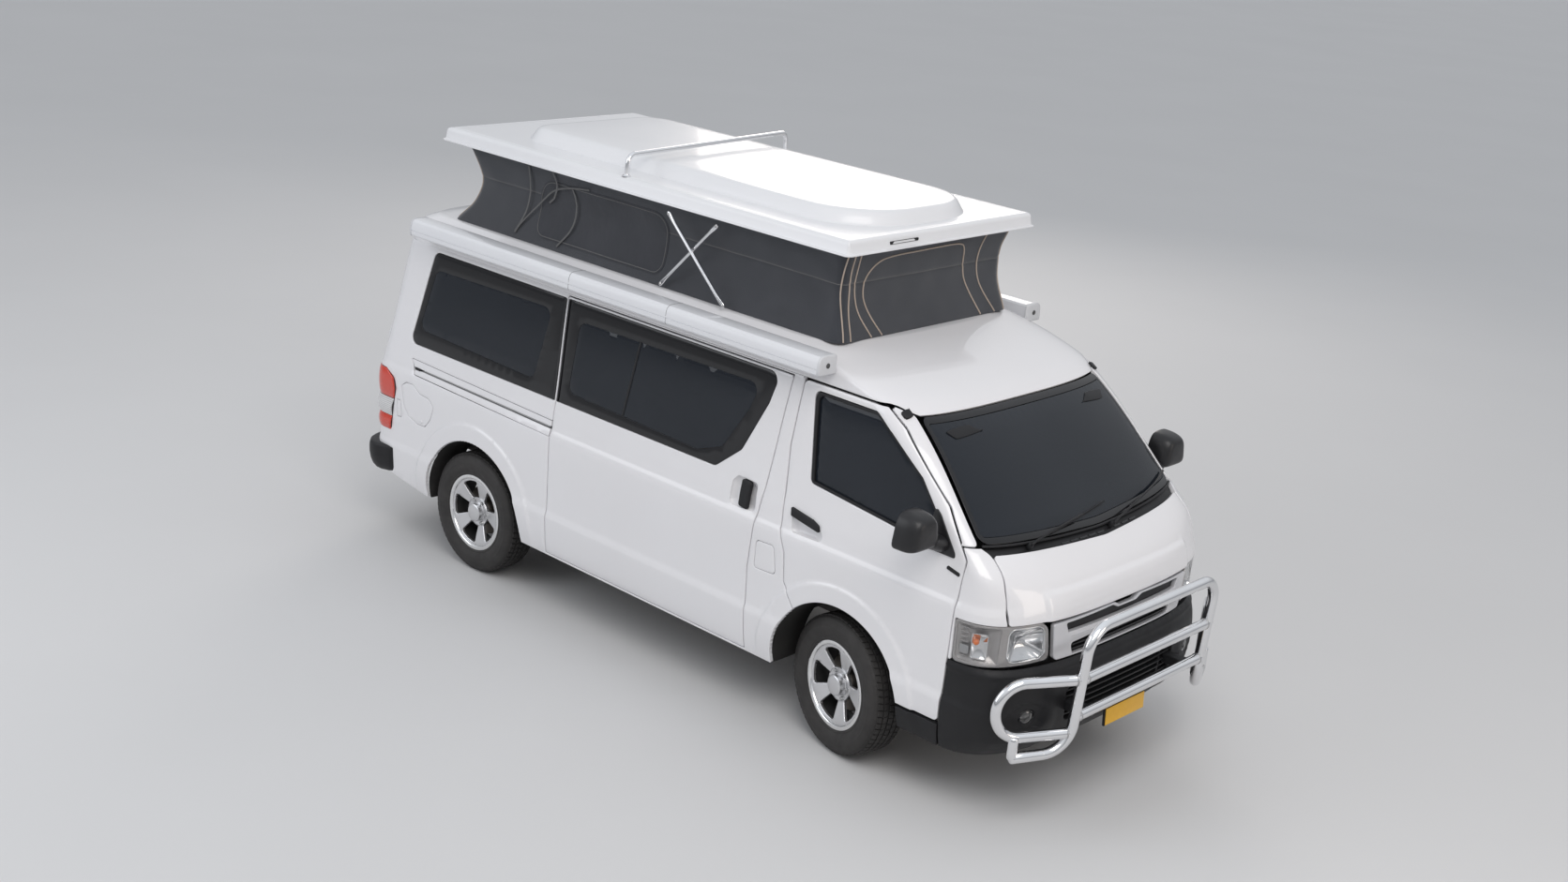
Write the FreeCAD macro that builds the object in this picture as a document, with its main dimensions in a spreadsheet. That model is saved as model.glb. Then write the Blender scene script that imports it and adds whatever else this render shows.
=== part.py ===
import FreeCAD, Part
import math
import os
from types import SimpleNamespace

Vector = FreeCAD.Vector
Rotation = FreeCAD.Rotation
Placement = FreeCAD.Placement

# Camper van: forward-control van with a raised pop-top roof, wheels on the ground at height zero.
# X points forward, Y to the van's left, Z up, and the origin lies under the middle of the van.
# All sizes are in millimetres and degrees.
SIZES = {
    # wheels and axles
    "wheel_base": 2687, "front_overhang": 1126, "rear_overhang": 1037,
    "tyre_radius": 335, "tyre_width": 196, "wheel_centre_y": 722,
    "rim_radius": 206, "rim_barrel_wall": 9, "rim_lip_width": 14, "rim_face_depth": 42,
    "hub_cap_radius": 52, "hub_cap_height": 34, "hub_bore_radius": 31, "spoke_count": 5,
    "spoke_window_angle": 40,
    "rest_steer": 12.6, "kingpin_y": 640, "fit_gap": 0.3, "seam_gap": 7, "overrun": 60,
    # heights of the body's sections
    "sill_height": 311, "crease_height": 536, "lamp_low_height": 738, "grille_top_height": 930,
    "belt_height": 985, "bonnet_height": 1070, "window_low_height": 1149, "cowl_height": 1215,
    "header_height": 1690, "gutter_height": 1718, "roof_height": 1862,
    # half widths of the body's sections
    "body_half_width": 850, "sill_inset": 20, "window_inset": 32, "cowl_inset": 40,
    "header_inset": 86, "gutter_inset": 90, "roof_inset": 178,
    # reach of the body's middle line ahead of the front axle, and behind the rear axle
    "sill_reach": 900, "crease_reach": 926, "nose_reach": 941, "belt_reach": 932,
    "bonnet_reach": 888, "window_low_reach": 820, "cowl_reach": 745, "header_reach": 216,
    "gutter_reach": 166, "roof_reach": -309, "nose_corner": 345, "pillar_corner": 210,
    "dome_corner": 330, "tail_reach": 947, "tail_top_reach": 800, "roof_tail_reach": 700,
    "tail_corner": 190,
    # walls
    "wall": 45, "rim_wall": 12, "rim_width": 16, "rim_gap": 0.6, "roof_wall": 28,
    "glass_wall": 5, "bonnet_wall": 24, "cowl_depth": 40, "cowl_wall": 12, "lamp_depth": 28,
    # front door, from the front axle
    "door_rear_reach": -445, "door_front_reach": 632, "door_low": 418, "door_high": 1712,
    # front door window
    "door_window_rear_reach": -342, "door_window_front_reach": 580, "door_window_low": 1168,
    "door_window_high": 1674, "door_window_corner": 25,
    # sliding door, its front edge from the front axle and its rear edge from the rear axle
    "slider_front_reach": -481, "slider_rear_reach": 638, "slider_low": 322,
    "slider_high": 1708, "slider_window_front_reach": -563, "slider_window_low": 1156,
    "slider_window_high": 1692, "window_border": 14,
    # quarter window, from the rear axle
    "quarter_window_rear_reach": -592,
    # wheel arches
    "front_arch_radius": 392, "front_arch_shift": -20, "front_arch_height": 352,
    "rear_arch_radius": 405, "rear_arch_shift": 28, "rear_arch_height": 345,
    # windscreen, bonnet, lamps and grille, seen from the front
    "screen_low_half_width": 735, "screen_high_half_width": 660, "screen_low": 1240,
    "screen_dip": 28, "screen_high": 1676, "cowl_strip": 34, "bonnet_half_width": 738,
    "lamp_inner_y": 532, "lamp_rear_reach": 634, "grille_half_width": 524,
    "tailgate_half_width": 705, "tailgate_low": 512, "tailgate_high": 1712,
    "rear_window_half_width": 600, "rear_window_low": 1150, "rear_window_high": 1630,
    "tail_lamp_low": 615, "tail_lamp_high": 972, "tail_lamp_reach": 672,
    # bumpers
    "bumper_low": 300, "front_bumper_reach": 1010, "strip_high": 408,
    "rear_bumper_reach": 1012, "rear_bumper_low": 330, "rear_bumper_high": 520,
    "rear_bumper_side_reach": 690,
    # bull bar
    "bar_radius": 25, "bar_reach": 1101, "bar_low_reach": 1066, "bar_half_width": 505,
    "bar_top": 952, "bar_low": 365, "bar_corner": 90, "bar_mid_height": 716,
    "bar_lower_height": 535, "bar_loop_high": 700, "bar_loop_low": 456, "bar_loop_y": 842,
    "bar_loop_reach": 900, "bar_loop_bend": 95, "bar_stub_y": 760, "bar_stub_reach": 956,
    "bar_foot_reach": 720, "bar_arm_low": 500, "bar_arm_height": 50,
    "intake_half_width": 430, "intake_low": 476, "intake_high": 690,
    # pop-top
    "lid_half_width": 700, "lid_front_reach": -285, "lid_rear_reach": -525, "lid_low": 2285,
    "lid_edge": 14, "lid_high": 2356, "lid_slope": 34, "lid_wall": 22, "lid_corner": 30,
    "dome_half_width": 500, "dome_front_reach": -400, "dome_rear_reach": -150,
    "dome_height": 70, "dome_bevel": 45, "dome_front_radius": 380, "lid_travel": 370,
    "rail_radius": 12, "rail_reach": -1797, "rail_skew": 150, "rail_half_width": 650, "rail_rise": 105,
    "roof_opening_half_width": 560, "roof_opening_front_reach": -420,
    "roof_opening_rear_reach": -330,
    "canvas_gap": 4, "canvas_neck_inset": 45, "canvas_wall": 6, "canvas_rear_reach": -440,
    "canvas_corner": 70,
    # awnings
    "awning_inner_gap": 6, "awning_width": 118, "awning_low": 1778, "awning_high": 1871,
    "awning_front_reach": -247, "awning_left_front_reach": -335, "awning_rear_reach": -530,
    # pop-top struts
    "strut_radius": 9, "strut_outer_y": 686, "strut_inner_y": 664, "strut_low": 1886,
    "strut_high": 2245, "strut_a_low_x": 255, "strut_a_high_x": -145, "strut_b_low_x": -195,
    "strut_b_high_x": 155, "bracket_wall": 6, "strut_boss": 13,
    # underbody
    "floor_low": 560, "floor_wall": 25, "rail_half_gap": 330, "rail_width": 60,
    "rail_height": 110, "axle_tube_radius": 38, "arm_wall": 18, "well_wall": 12, "well_gap": 30,
    "front_well_y": 440, "rear_well_y": 560,
    "engine_length": 620, "engine_width": 400, "engine_low": 290, "engine_high": 700,
    "engine_reach": -250, "tunnel_gap": 20,
    "tank_rear_x": -250, "tank_length": 700, "tank_width": 300, "tank_height": 190,
    "tank_y": 400, "exhaust_front_x": 700, "exhaust_y": -430, "exhaust_z": 360,
    "exhaust_radius": 24, "exhaust_length": 1500, "muffler_front_x": 300,
    "muffler_length": 480, "muffler_radius": 75, "leaf_y": 500, "leaf_width": 60,
    "leaf_length": 1180, "leaf_wall": 9, "leaf_z": 400.6, "rear_axle_x_at": -1388,
    # mirrors
    "mirror_reach": 470, "mirror_height": 1269, "mirror_overlap": 40, "mirror_outer_y": 1070,
    "mirror_arm": 40, "mirror_drop": 60, "mirror_width": 180, "mirror_depth": 80,
    "mirror_tall": 170, "mirror_round": 25,
    # fittings
    "pod_radius": 95, "pod_depth_share": 1.1, "pod_height_share": 1.1, "pod_reach": 912,
    "pod_y": 595, "pod_height": 1055, "unit_rear_reach": 450, "unit_front_reach": 1500,
    "unit_inner_y": 430, "unit_outer_y": 700, "unit_high": 1020, "bench_rear_reach": -780,
    "bench_front_reach": 180, "bench_half_width": 425, "bench_high": 900,
    # cabin
    "seat_width": 460, "seat_y": 415, "seat_cushion": 130, "seat_high": 1560,
    "seat_back_wall": 110,
    "dash_low": 800, "dash_high": 1175, "wheel_rim_radius": 185, "wheel_rim_tube": 13,
}

doc = FreeCAD.newDocument("camper_van")
sheet = doc.addObject("Spreadsheet::Sheet", "sizes")
for row, (name, value) in enumerate(SIZES.items(), start=1):
    sheet.set("A%d" % row, name)
    sheet.set("B%d" % row, str(value))
    sheet.setAlias("B%d" % row, name)
doc.recompute()
s = SimpleNamespace(**{name: float(getattr(sheet, name)) for name in SIZES})

s.length = s.wheel_base + s.front_overhang + s.rear_overhang
s.front_axle_x = s.length / 2 - s.front_overhang
s.rear_axle_x = s.front_axle_x - s.wheel_base
s.far = s.length

PARTS = {}


def front(reach):
    """A place measured forward from the front axle."""
    return s.front_axle_x + reach


def rear(reach):
    """A place measured forward from the rear axle."""
    return s.rear_axle_x + reach


def keep(name, shape, placement=None):
    """One finished sub-part as a feature of the document."""
    feature = doc.addObject("Part::Feature", name)
    feature.Label = name
    feature.Shape = shape
    if placement:
        feature.Placement = placement
    PARTS[name] = feature
    return feature


def block(x0, x1, y0, y1, z0, z1):
    """A box between two corners."""
    return Part.makeBox(x1 - x0, y1 - y0, z1 - z0, Vector(x0, y0, z0))


def mirrored(shape):
    """The same shape on the other side of the van."""
    return shape.mirror(Vector(0, 0, 0), Vector(0, 1, 0))


def rounded_wire(points, radius=0):
    """A closed outline with each corner rounded, or kept where its sides are too short."""
    count = len(points)
    if not radius:
        return Part.makePolygon(points + points[:1])
    edges = []
    ends = []
    for i in range(count):
        before, here, after = points[i - 1], points[i], points[(i + 1) % count]
        a = (before - here).normalize()
        b = (after - here).normalize()
        half_turn = a.getAngle(b) / 2
        reach = radius / math.tan(half_turn)
        limit = min((before - here).Length, (after - here).Length) / 2
        reach = min(reach, limit)
        middle = (a + b)
        if middle.Length < 1e-6 or math.pi / 2 - half_turn < 0.02:
            ends.append((here, None, here))
            continue
        r = reach * math.tan(half_turn)
        centre_reach = r / math.sin(half_turn)
        peak = here + middle.normalize() * (centre_reach - r)
        ends.append((here + a * reach, peak, here + b * reach))
    for i in range(count):
        first, peak, last = ends[i]
        if peak is not None:
            edges.append(Part.Arc(first, peak, last).toShape())
        nxt = ends[(i + 1) % count][0]
        if (nxt - last).Length > 1e-6:
            edges.append(Part.LineSegment(last, nxt).toShape())
    return Part.Wire(edges)


def side_prism(points, y0, y1, radius=0):
    """An outline seen from the side, given as X and Z, made solid between two Y places."""
    wire = rounded_wire([Vector(x, y0, z) for x, z in points], radius)
    return Part.Face(wire).extrude(Vector(0, y1 - y0, 0))


def front_prism(points, x0, x1, radius=0):
    """An outline seen from the front, given as Y and Z, made solid between two X places."""
    wire = rounded_wire([Vector(x0, y, z) for y, z in points], radius)
    return Part.Face(wire).extrude(Vector(x1 - x0, 0, 0))


def plan_prism(points, z0, z1, radius=0):
    """An outline seen from above, given as X and Y, made solid between two heights."""
    wire = rounded_wire([Vector(x, y, z0) for x, y in points], radius)
    return Part.Face(wire).extrude(Vector(0, 0, z1 - z0))


def in_box(shares, x0, x1, z0, z1):
    """Shares of a box's length and height turned into places."""
    return [(x0 + a * (x1 - x0), z0 + b * (z1 - z0)) for a, b in shares]


def grown(points, amount):
    """An outline moved outward by an amount, or inward where it is negative."""
    wire = Part.makePolygon([Vector(x, 0, z) for x, z in points + points[:1]])
    moved = wire.makeOffset2D(amount, 2)
    return [(v.Point.x, v.Point.z) for v in moved.OrderedVertexes]


# Body form: level outlines, each with a straight side and rounded ends, joined upward.
CORNER_POWER = 3
LOOP_BEND_SHARE = 0.8
BEAD_SHARE = 0.8
# tyre section from the bead outward: shares of the sidewall's height and of the half width
TYRE_SHARES = [(0.25, 0.97), (0.55, 1), (0.9, 0.86), (1, 0.66)]
CORNER_STEPS = 6
LEAN_LIMIT = 1.6
CANVAS_LEVELS = 6
COLUMN_LEAN = 35
HALF_SHARE = 0.5
LEAF_COUNT = 3
SPOKE_WINDOW_TAPER = 0.6
SEAT_REACH_SHARES = (-0.11, 0.07)
# how the roof's front rises from the gutter to its flat top: height, reach and width shares
ROOF_RISE_SHARES = [(0.30, 0.24, 0.03), (0.57, 0.50, 0.14), (0.80, 0.75, 0.42)]


def level_rows():
    """The levels of the body: height, half width, front, front corner, rear, rear corner."""
    w = s.body_half_width
    tail = rear(-s.tail_reach)
    top_tail = rear(-s.tail_top_reach)
    slope = (top_tail - tail) / (s.gutter_height - s.belt_height)

    def tail_at(height):
        return tail + slope * max(0, height - s.belt_height)

    rows = [
        (s.sill_height, w - s.sill_inset, front(s.sill_reach), s.nose_corner, tail),
        (s.crease_height, w, front(s.crease_reach), s.nose_corner, tail),
        (s.lamp_low_height, w, front(s.nose_reach), s.nose_corner, tail),
        (s.grille_top_height, w, front(s.nose_reach), s.nose_corner, tail),
        (s.belt_height, w, front(s.belt_reach), s.nose_corner, tail),
        (s.bonnet_height, w - s.window_inset / 2, front(s.bonnet_reach),
         (s.nose_corner + s.pillar_corner) / 2, tail_at(s.bonnet_height)),
        (s.window_low_height, w - s.window_inset, front(s.window_low_reach),
         s.pillar_corner, tail_at(s.window_low_height)),
        (s.cowl_height, w - s.cowl_inset, front(s.cowl_reach), s.pillar_corner,
         tail_at(s.cowl_height)),
        (s.header_height, w - s.header_inset, front(s.header_reach), s.pillar_corner,
         tail_at(s.header_height)),
        (s.gutter_height, w - s.gutter_inset, front(s.gutter_reach), s.pillar_corner,
         top_tail),
    ]
    rows = [row + (s.tail_corner,) for row in rows]
    roof_tail = rear(-s.roof_tail_reach)
    for up, back, inward in ROOF_RISE_SHARES + [(1, 1, 1)]:
        rows.append((
            s.gutter_height + up * (s.roof_height - s.gutter_height),
            w - s.gutter_inset - inward * (s.roof_inset - s.gutter_inset),
            front(s.gutter_reach + back * (s.roof_reach - s.gutter_reach)),
            s.pillar_corner + back * (s.dome_corner - s.pillar_corner),
            top_tail + inward * (roof_tail - top_tail),
            s.tail_corner))
    return rows


def inset_rows(rows, depth):
    """The levels moved inward by a wall's depth, more along X where the front leans back."""
    if not depth:
        return rows
    moved = []
    for i, (z, w, x, corner, tail, tail_corner) in enumerate(rows):
        low = rows[max(i - 1, 0)]
        high = rows[min(i + 1, len(rows) - 1)]
        dz, dx = high[0] - low[0], high[2] - low[2]
        lean = min(math.hypot(dz, dx) / dz, LEAN_LIMIT)
        rise_share = max(0, z - s.gutter_height) / (s.roof_height - s.gutter_height)
        moved.append((z - depth * rise_share, w - depth, x - depth * lean, corner,
                      tail + depth, tail_corner))
    moved[0] = (rows[0][0] - s.overrun,) + moved[0][1:]
    return moved


def level_edges(row):
    """One level's outline: the rounded nose, the left side, the rounded tail, the right side."""
    z, w, x, corner, tail, tail_corner = row

    def end_curve(base, depth):
        points = []
        for i in range(-CORNER_STEPS, CORNER_STEPS + 1):
            angle = math.pi / 2 * i / CORNER_STEPS
            y = w * math.copysign(abs(math.sin(angle)) ** (2 / CORNER_POWER), angle)
            reach = abs(math.cos(angle)) ** (2 / CORNER_POWER)
            points.append(Vector(base + depth * reach, y, z))
        return points

    nose = end_curve(x - corner, corner)
    back = end_curve(tail + tail_corner, -tail_corner)[::-1]
    curves = []
    for points in (nose, back):
        spline = Part.BSplineCurve()
        spline.interpolate(points)
        curves.append(spline.toShape())
    left = Part.LineSegment(nose[-1], back[0]).toShape()
    right = Part.LineSegment(back[-1], nose[0]).toShape()
    return [curves[0], left, curves[1], right]


def stacked(rows):
    """A solid through level outlines, with flat sides and ruled ends between the levels."""
    levels = [level_edges(row) for row in rows]
    faces = [Part.Face(Part.Wire(levels[0])), Part.Face(Part.Wire(levels[-1]))]
    for low, high in zip(levels, levels[1:]):
        for i in (0, 2):
            faces.append(Part.makeRuledSurface(low[i], high[i]))
        for i in (1, 3):
            a, b = [v.Point for v in low[i].Vertexes], [v.Point for v in high[i].Vertexes]
            faces.append(Part.Face(Part.makePolygon([a[0], a[1], b[1], b[0], a[0]])))
    shell = Part.makeShell(faces)
    shell.sewShape()
    solid = Part.Solid(shell)
    if solid.Volume < 0:
        solid.reverse()
    return solid


FORMS = {}


def form(depth=0):
    """The whole body as one solid, moved inward by a depth."""
    if depth not in FORMS:
        FORMS[depth] = stacked(inset_rows(level_rows(), depth))
    return FORMS[depth]


def skin(depth, outer=0):
    """The layer of the body between two depths."""
    return form(outer).cut(form(depth))


def solid_of(shape):
    """The solids of a shape, largest first, without loose slivers."""
    solids = sorted(shape.Solids, key=lambda one: -one.Volume)
    limit = solids[0].Volume / 1000
    solids = [one for one in solids if one.Volume > limit]
    if len(solids) == 1:
        return solids[0]
    return Part.makeCompound(solids)


# Outlines as shares of their boxes, along and up, from the rear edge and the bottom.
DOOR_SHARES = [(0.023, 1), (0, 0.75), (0.024, 0.446), (0.063, 0.366), (0.074, 0.255),
               (0.154, 0.163), (0.154, 0), (0.974, 0), (0.992, 0.404), (1, 0.589),
               (0.856, 0.739), (0.583, 0.942), (0.474, 1)]
DOOR_WINDOW_SHARES = [(0, 1), (0.058, 0.17), (0.548, 0.088), (1, 0), (0.726, 0.58),
                      (0.461, 0.92), (0.40, 1)]
SLIDER_SHARES = [(0, 0), (0.935, 0), (0.926, 0.304), (0.941, 0.48), (0.957, 0.597),
                 (0.984, 0.857), (1, 1), (0, 1)]
SLIDER_WINDOW_SHARES = [(0, 0), (0.781, 0), (0.884, 0.23), (0.970, 0.714), (1, 1), (0, 1)]
QUARTER_WINDOW_SHARES = [(0, 0), (1, 0), (1, 1), (0.115, 1)]


def door_outline():
    return in_box(DOOR_SHARES, front(s.door_rear_reach), front(s.door_front_reach),
                  s.door_low, s.door_high)


def slider_outline():
    return in_box(SLIDER_SHARES, rear(s.slider_rear_reach), front(s.slider_front_reach),
                  s.slider_low, s.slider_high)


def door_window_outline():
    return in_box(DOOR_WINDOW_SHARES, front(s.door_window_rear_reach),
                  front(s.door_window_front_reach), s.door_window_low, s.door_window_high)


def slider_window_outline():
    return in_box(SLIDER_WINDOW_SHARES, rear(s.slider_rear_reach) + s.window_border,
                  front(s.slider_window_front_reach), s.slider_window_low,
                  s.slider_window_high)


def quarter_window_outline():
    return in_box(QUARTER_WINDOW_SHARES, rear(s.quarter_window_rear_reach),
                  rear(s.slider_rear_reach) - s.window_border, s.slider_window_low,
                  s.slider_window_high)


def arch_cut(side):
    """The two wheel arches on one side as one cutter."""
    cuts = []
    for x, z, r in ((front(s.front_arch_shift), s.front_arch_height, s.front_arch_radius),
                    (rear(s.rear_arch_shift), s.rear_arch_height, s.rear_arch_radius)):
        start = Vector(x, 0, z)
        cuts.append(Part.makeCylinder(r, s.far, start, Vector(0, side, 0)))
        cuts.append(block(x - r, x + r, min(0, side * s.far), max(0, side * s.far), 0, z))
    return cuts


def half(side):
    """Everything on one side of the middle plane."""
    return block(-s.far, s.far, min(0, side * s.far), max(0, side * s.far), 0, s.far)


def side_cutter(points, side, radius=0):
    """A prism through one side wall."""
    return side_prism(points, 0, side * s.far, radius)


def screen_outline(extra=0):
    """The windscreen's edge seen from the front."""
    low, high = s.screen_low - extra, s.screen_high + extra
    wl, wh = s.screen_low_half_width + extra, s.screen_high_half_width + extra
    return [(-wl, low), (0, low - s.screen_dip), (wl, low), (wh, high), (-wh, high)]


def bonnet_outline(extra=0):
    """The bonnet's edge seen from the front."""
    w = s.bonnet_half_width + extra
    top = s.screen_low - s.cowl_strip + extra
    low = s.grille_top_height - extra
    return [(-w, low), (w, low), (w, top), (0, top - s.screen_dip), (-w, top)]


def cowl_outline():
    """The black strip between the bonnet and the windscreen."""
    g = s.seam_gap
    low = s.screen_low - s.cowl_strip + g
    high = s.screen_low - g
    w = s.bonnet_half_width - s.fit_gap
    low -= s.cowl_strip
    return [(-w, low), (0, low - s.screen_dip), (w, low), (w, high), (0, high - s.screen_dip),
            (-w, high)]


def front_cut(points, radius=0):
    """A prism through the front of the body only."""
    return front_prism(points, front(0), s.far, radius)


def build_body():
    """Body shell: side walls, nose, roof, and the fixed glass."""
    shell = skin(s.wall)
    wall_zone = block(-s.far, s.far, -s.far, s.far, 0, s.gutter_height)
    shell = shell.common(wall_zone)
    tail_cut = front_prism([(-s.tailgate_half_width, s.tailgate_low),
                            (s.tailgate_half_width, s.tailgate_low),
                            (s.tailgate_half_width, s.tailgate_high),
                            (-s.tailgate_half_width, s.tailgate_high)],
                           -s.far, rear(-s.tail_lamp_reach))
    ahead = nose_zone()
    lamp_zone = lamp_cutter()
    for side, name in ((-1, "right"), (1, "left")):
        wall_piece = shell.common(half(side)).cut(ahead).cut(tail_cut)
        for cutter in arch_cut(side):
            wall_piece = wall_piece.cut(cutter)
        wall_piece = wall_piece.cut(side_cutter(door_outline(), side, s.lid_corner))
        wall_piece = wall_piece.cut(side_cutter(quarter_window_outline(), side, s.wall))
        if side < 0:
            wall_piece = wall_piece.cut(side_cutter(slider_outline(), side))
        else:
            wall_piece = wall_piece.cut(side_cutter(slider_window_outline(), side, s.wall))
        wall_piece = wall_piece.cut(tail_lamp_zone(side))
        wall_piece = wall_piece.cut(block(front(0), s.far, -s.far, s.far, 0, s.door_low))
        wall_piece = wall_piece.fuse(side_rim(door_outline(), side))
        wall_piece = wall_piece.fuse(tailgate_rim(side))
        if side < 0:
            wall_piece = wall_piece.fuse(side_rim(slider_outline(), side))
        keep("body_side_" + name, solid_of(wall_piece))
    nose = shell.common(ahead)
    nose = nose.cut(front_cut(screen_outline(), s.lid_corner))
    opening = [(-s.bonnet_half_width, s.grille_top_height),
               (s.bonnet_half_width, s.grille_top_height),
               (s.bonnet_half_width, s.screen_low), (0, s.screen_low - s.screen_dip),
               (-s.bonnet_half_width, s.screen_low)]
    nose = nose.cut(skin(s.bonnet_wall + s.fit_gap).common(front_cut(opening)))
    w, low = s.bonnet_half_width - s.rim_width, s.grille_top_height + s.rim_width
    nose = nose.cut(front_cut([(-w, low), (w, low), (w, s.screen_low),
                               (0, s.screen_low - s.screen_dip), (-w, s.screen_low)]))
    high = s.screen_low - s.cowl_strip - s.rim_width
    nose = nose.cut(front_cut([(-s.bonnet_half_width, high), (s.bonnet_half_width, high),
                               opening[2], opening[3], opening[4]]))
    face = skin(s.lamp_depth)
    nose = nose.cut(face.common(lamp_zone))
    nose = nose.cut(face.common(grille_cutter()))
    nose = nose.cut(face.common(block(front(0), s.far, -s.far, s.far, 0,
                                      s.lamp_low_height - s.seam_gap / 2)))
    for side in (-1, 1):
        for cutter in arch_cut(side):
            nose = nose.cut(cutter)
    arm_way = block(front(s.bar_foot_reach), s.far, s.rail_half_gap - s.fit_gap,
                    s.rail_half_gap + s.rail_width + s.fit_gap, s.bar_arm_low - s.fit_gap,
                    s.bar_arm_low + s.bar_arm_height + s.fit_gap)
    nose = nose.cut(arm_way).cut(mirrored(arm_way))
    keep("nose_panel", solid_of(nose))
    roof = skin(s.roof_wall).common(block(-s.far, s.far, -s.far, s.far,
                                          s.gutter_height + s.fit_gap, s.far))
    roof = roof.cut(block(rear(s.roof_opening_rear_reach), front(s.roof_opening_front_reach),
                          -s.roof_opening_half_width, s.roof_opening_half_width,
                          s.gutter_height, s.far))
    for side in (-1, 1):
        outer = s.strut_outer_y + s.strut_radius + s.fit_gap
        inner = s.strut_inner_y - s.strut_radius - s.fit_gap - s.bracket_wall
        for x, y in ((s.strut_a_low_x, outer), (s.strut_b_low_x, inner)):
            ear = block(x - s.strut_boss, x + s.strut_boss, y, y + s.bracket_wall,
                        s.roof_height - s.roof_wall, s.strut_low + s.strut_radius)
            roof = roof.fuse(ear if side > 0 else mirrored(ear))
    keep("roof_panel", solid_of(roof))


def nose_zone():
    """Everything ahead of the front doors' front edges."""
    edge = door_outline()[7:]
    top = s.gutter_height + s.overrun
    points = [(edge[0][0], 0)] + edge[:-1] + [(edge[-1][0], top), (s.far, top), (s.far, 0)]
    return side_prism(points, -s.far, s.far)


def side_rim(outline, side):
    """The flange inside a door opening that the closed door rests against."""
    layer = skin(s.wall + s.rim_wall, s.wall - s.fit_gap)
    rim = layer.common(side_cutter(grown(outline, s.rim_width), side))
    rim = rim.cut(side_cutter(grown(outline, -s.rim_width), side))
    door_zone = skin(s.wall + s.rim_gap, -s.overrun).common(side_cutter(outline, side))
    rim = rim.cut(door_zone).cut(nose_zone())
    for cutter in arch_cut(side):
        rim = rim.cut(cutter)
    rim = rim.common(block(-s.far, s.far, -s.far, s.far, 0, s.gutter_height))
    return rim.cut(block(front(0), s.far, -s.far, s.far, 0, s.door_low))


def lamp_cutter():
    """Both headlamp pockets."""
    x0 = front(s.lamp_rear_reach)
    low, high = s.lamp_low_height, s.grille_top_height
    left = block(x0, s.far, s.lamp_inner_y, s.far, low, high)
    return left.fuse(mirrored(left))


def grille_cutter():
    w = s.grille_half_width
    return block(front(0), s.far, -w, w, s.lamp_low_height, s.grille_top_height)


def tail_lamp_zone(side):
    """The corner that a tail lamp fills."""
    y0, y1 = sorted((side * s.tailgate_half_width, side * s.far))
    return block(-s.far, rear(-s.tail_lamp_reach), y0, y1, s.tail_lamp_low, s.tail_lamp_high)


def tailgate_rim(side):
    """The flange behind the tailgate's edge, on one side of the van."""
    w, low, high = s.tailgate_half_width, s.tailgate_low, s.tailgate_high
    outline = [(-w, low), (w, low), (w, high), (-w, high)]
    x1 = rear(-s.tail_lamp_reach)
    layer = skin(s.wall + s.rim_wall, s.wall - s.fit_gap)
    rim = layer.common(front_prism(grown(outline, s.rim_width), -s.far, x1))
    rim = rim.cut(front_prism(grown(outline, -s.rim_width), -s.far, x1))
    rim = rim.cut(skin(s.wall + s.rim_gap, -s.overrun).common(
        front_prism(outline, -s.far, x1)))
    rim = rim.common(block(-s.far, s.far, -s.far, s.far, 0, s.gutter_height))
    return rim.common(half(side))


def build_front():
    """Windscreen, bonnet, cowl, lamps, grille and front bumper."""
    g = s.seam_gap
    screen = skin(s.glass_wall).common(front_cut(screen_outline(-s.fit_gap), s.lid_corner))
    keep("windscreen", solid_of(screen))
    bonnet = skin(s.bonnet_wall).common(front_cut(bonnet_outline(-g)))
    keep("bonnet", solid_of(bonnet))
    cowl = skin(s.cowl_depth + s.cowl_wall, s.cowl_depth).common(front_cut(cowl_outline()))
    for side, name in ((-1, "right"), (1, "left")):
        cowl = cowl.cut(side_cutter(grown(door_outline(), g), side))
        cowl = cowl.cut(PARTS["body_side_" + name].Shape)
    keep("cowl_panel", solid_of(cowl))
    layer = skin(s.lamp_depth - s.fit_gap)
    lamps = []
    for side in (-1, 1):
        y0, y1 = sorted((side * (s.lamp_inner_y + g / 2), side * s.far))
        lamps.append(layer.common(block(front(s.lamp_rear_reach) + g / 2, s.far, y0, y1,
                                        s.lamp_low_height + g / 2,
                                        s.grille_top_height - g / 2)))
    keep("headlamps", Part.makeCompound([one for lamp in lamps for one in lamp.Solids]))
    w = s.grille_half_width - g / 2
    grille = layer.common(block(front(0), s.far, -w, w, s.lamp_low_height + g / 2,
                                s.grille_top_height - g))
    keep("grille", solid_of(grille))
    shell = skin(s.lamp_depth - s.fit_gap)
    face = shell.common(block(front(s.door_front_reach), s.far, -s.far, s.far, s.bumper_low,
                              s.lamp_low_height - g))
    strip = shell.common(block(front(0), s.far, -s.far, s.far, s.bumper_low, s.strip_high))
    bumper = face.fuse(strip)
    rows = []
    for z, reach in ((s.bumper_low, s.nose_reach), (s.crease_height - s.wall,
                                                    s.front_bumper_reach),
                     (s.lamp_low_height - g, s.nose_reach + s.wall / 2)):
        rows.append((z, s.body_half_width, front(reach), s.nose_corner,
                     rear(-s.tail_reach), s.tail_corner))
    rows[0] = (rows[0][0], s.body_half_width - s.sill_inset) + rows[0][2:]
    apron = stacked(rows)
    apron = apron.cut(form(s.lamp_depth - s.fit_gap))
    apron = apron.common(block(front(s.door_front_reach) + s.overrun, s.far, -s.far, s.far,
                               s.bumper_low, s.lamp_low_height - g))
    bumper = bumper.fuse(apron)
    bumper = bumper.cut(block(front(0), s.far, -s.intake_half_width, s.intake_half_width,
                              s.intake_low, s.intake_high))
    for side in (-1, 1):
        for cutter in arch_cut(side):
            bumper = bumper.cut(cutter)
    keep("front_bumper", solid_of(bumper))


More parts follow.
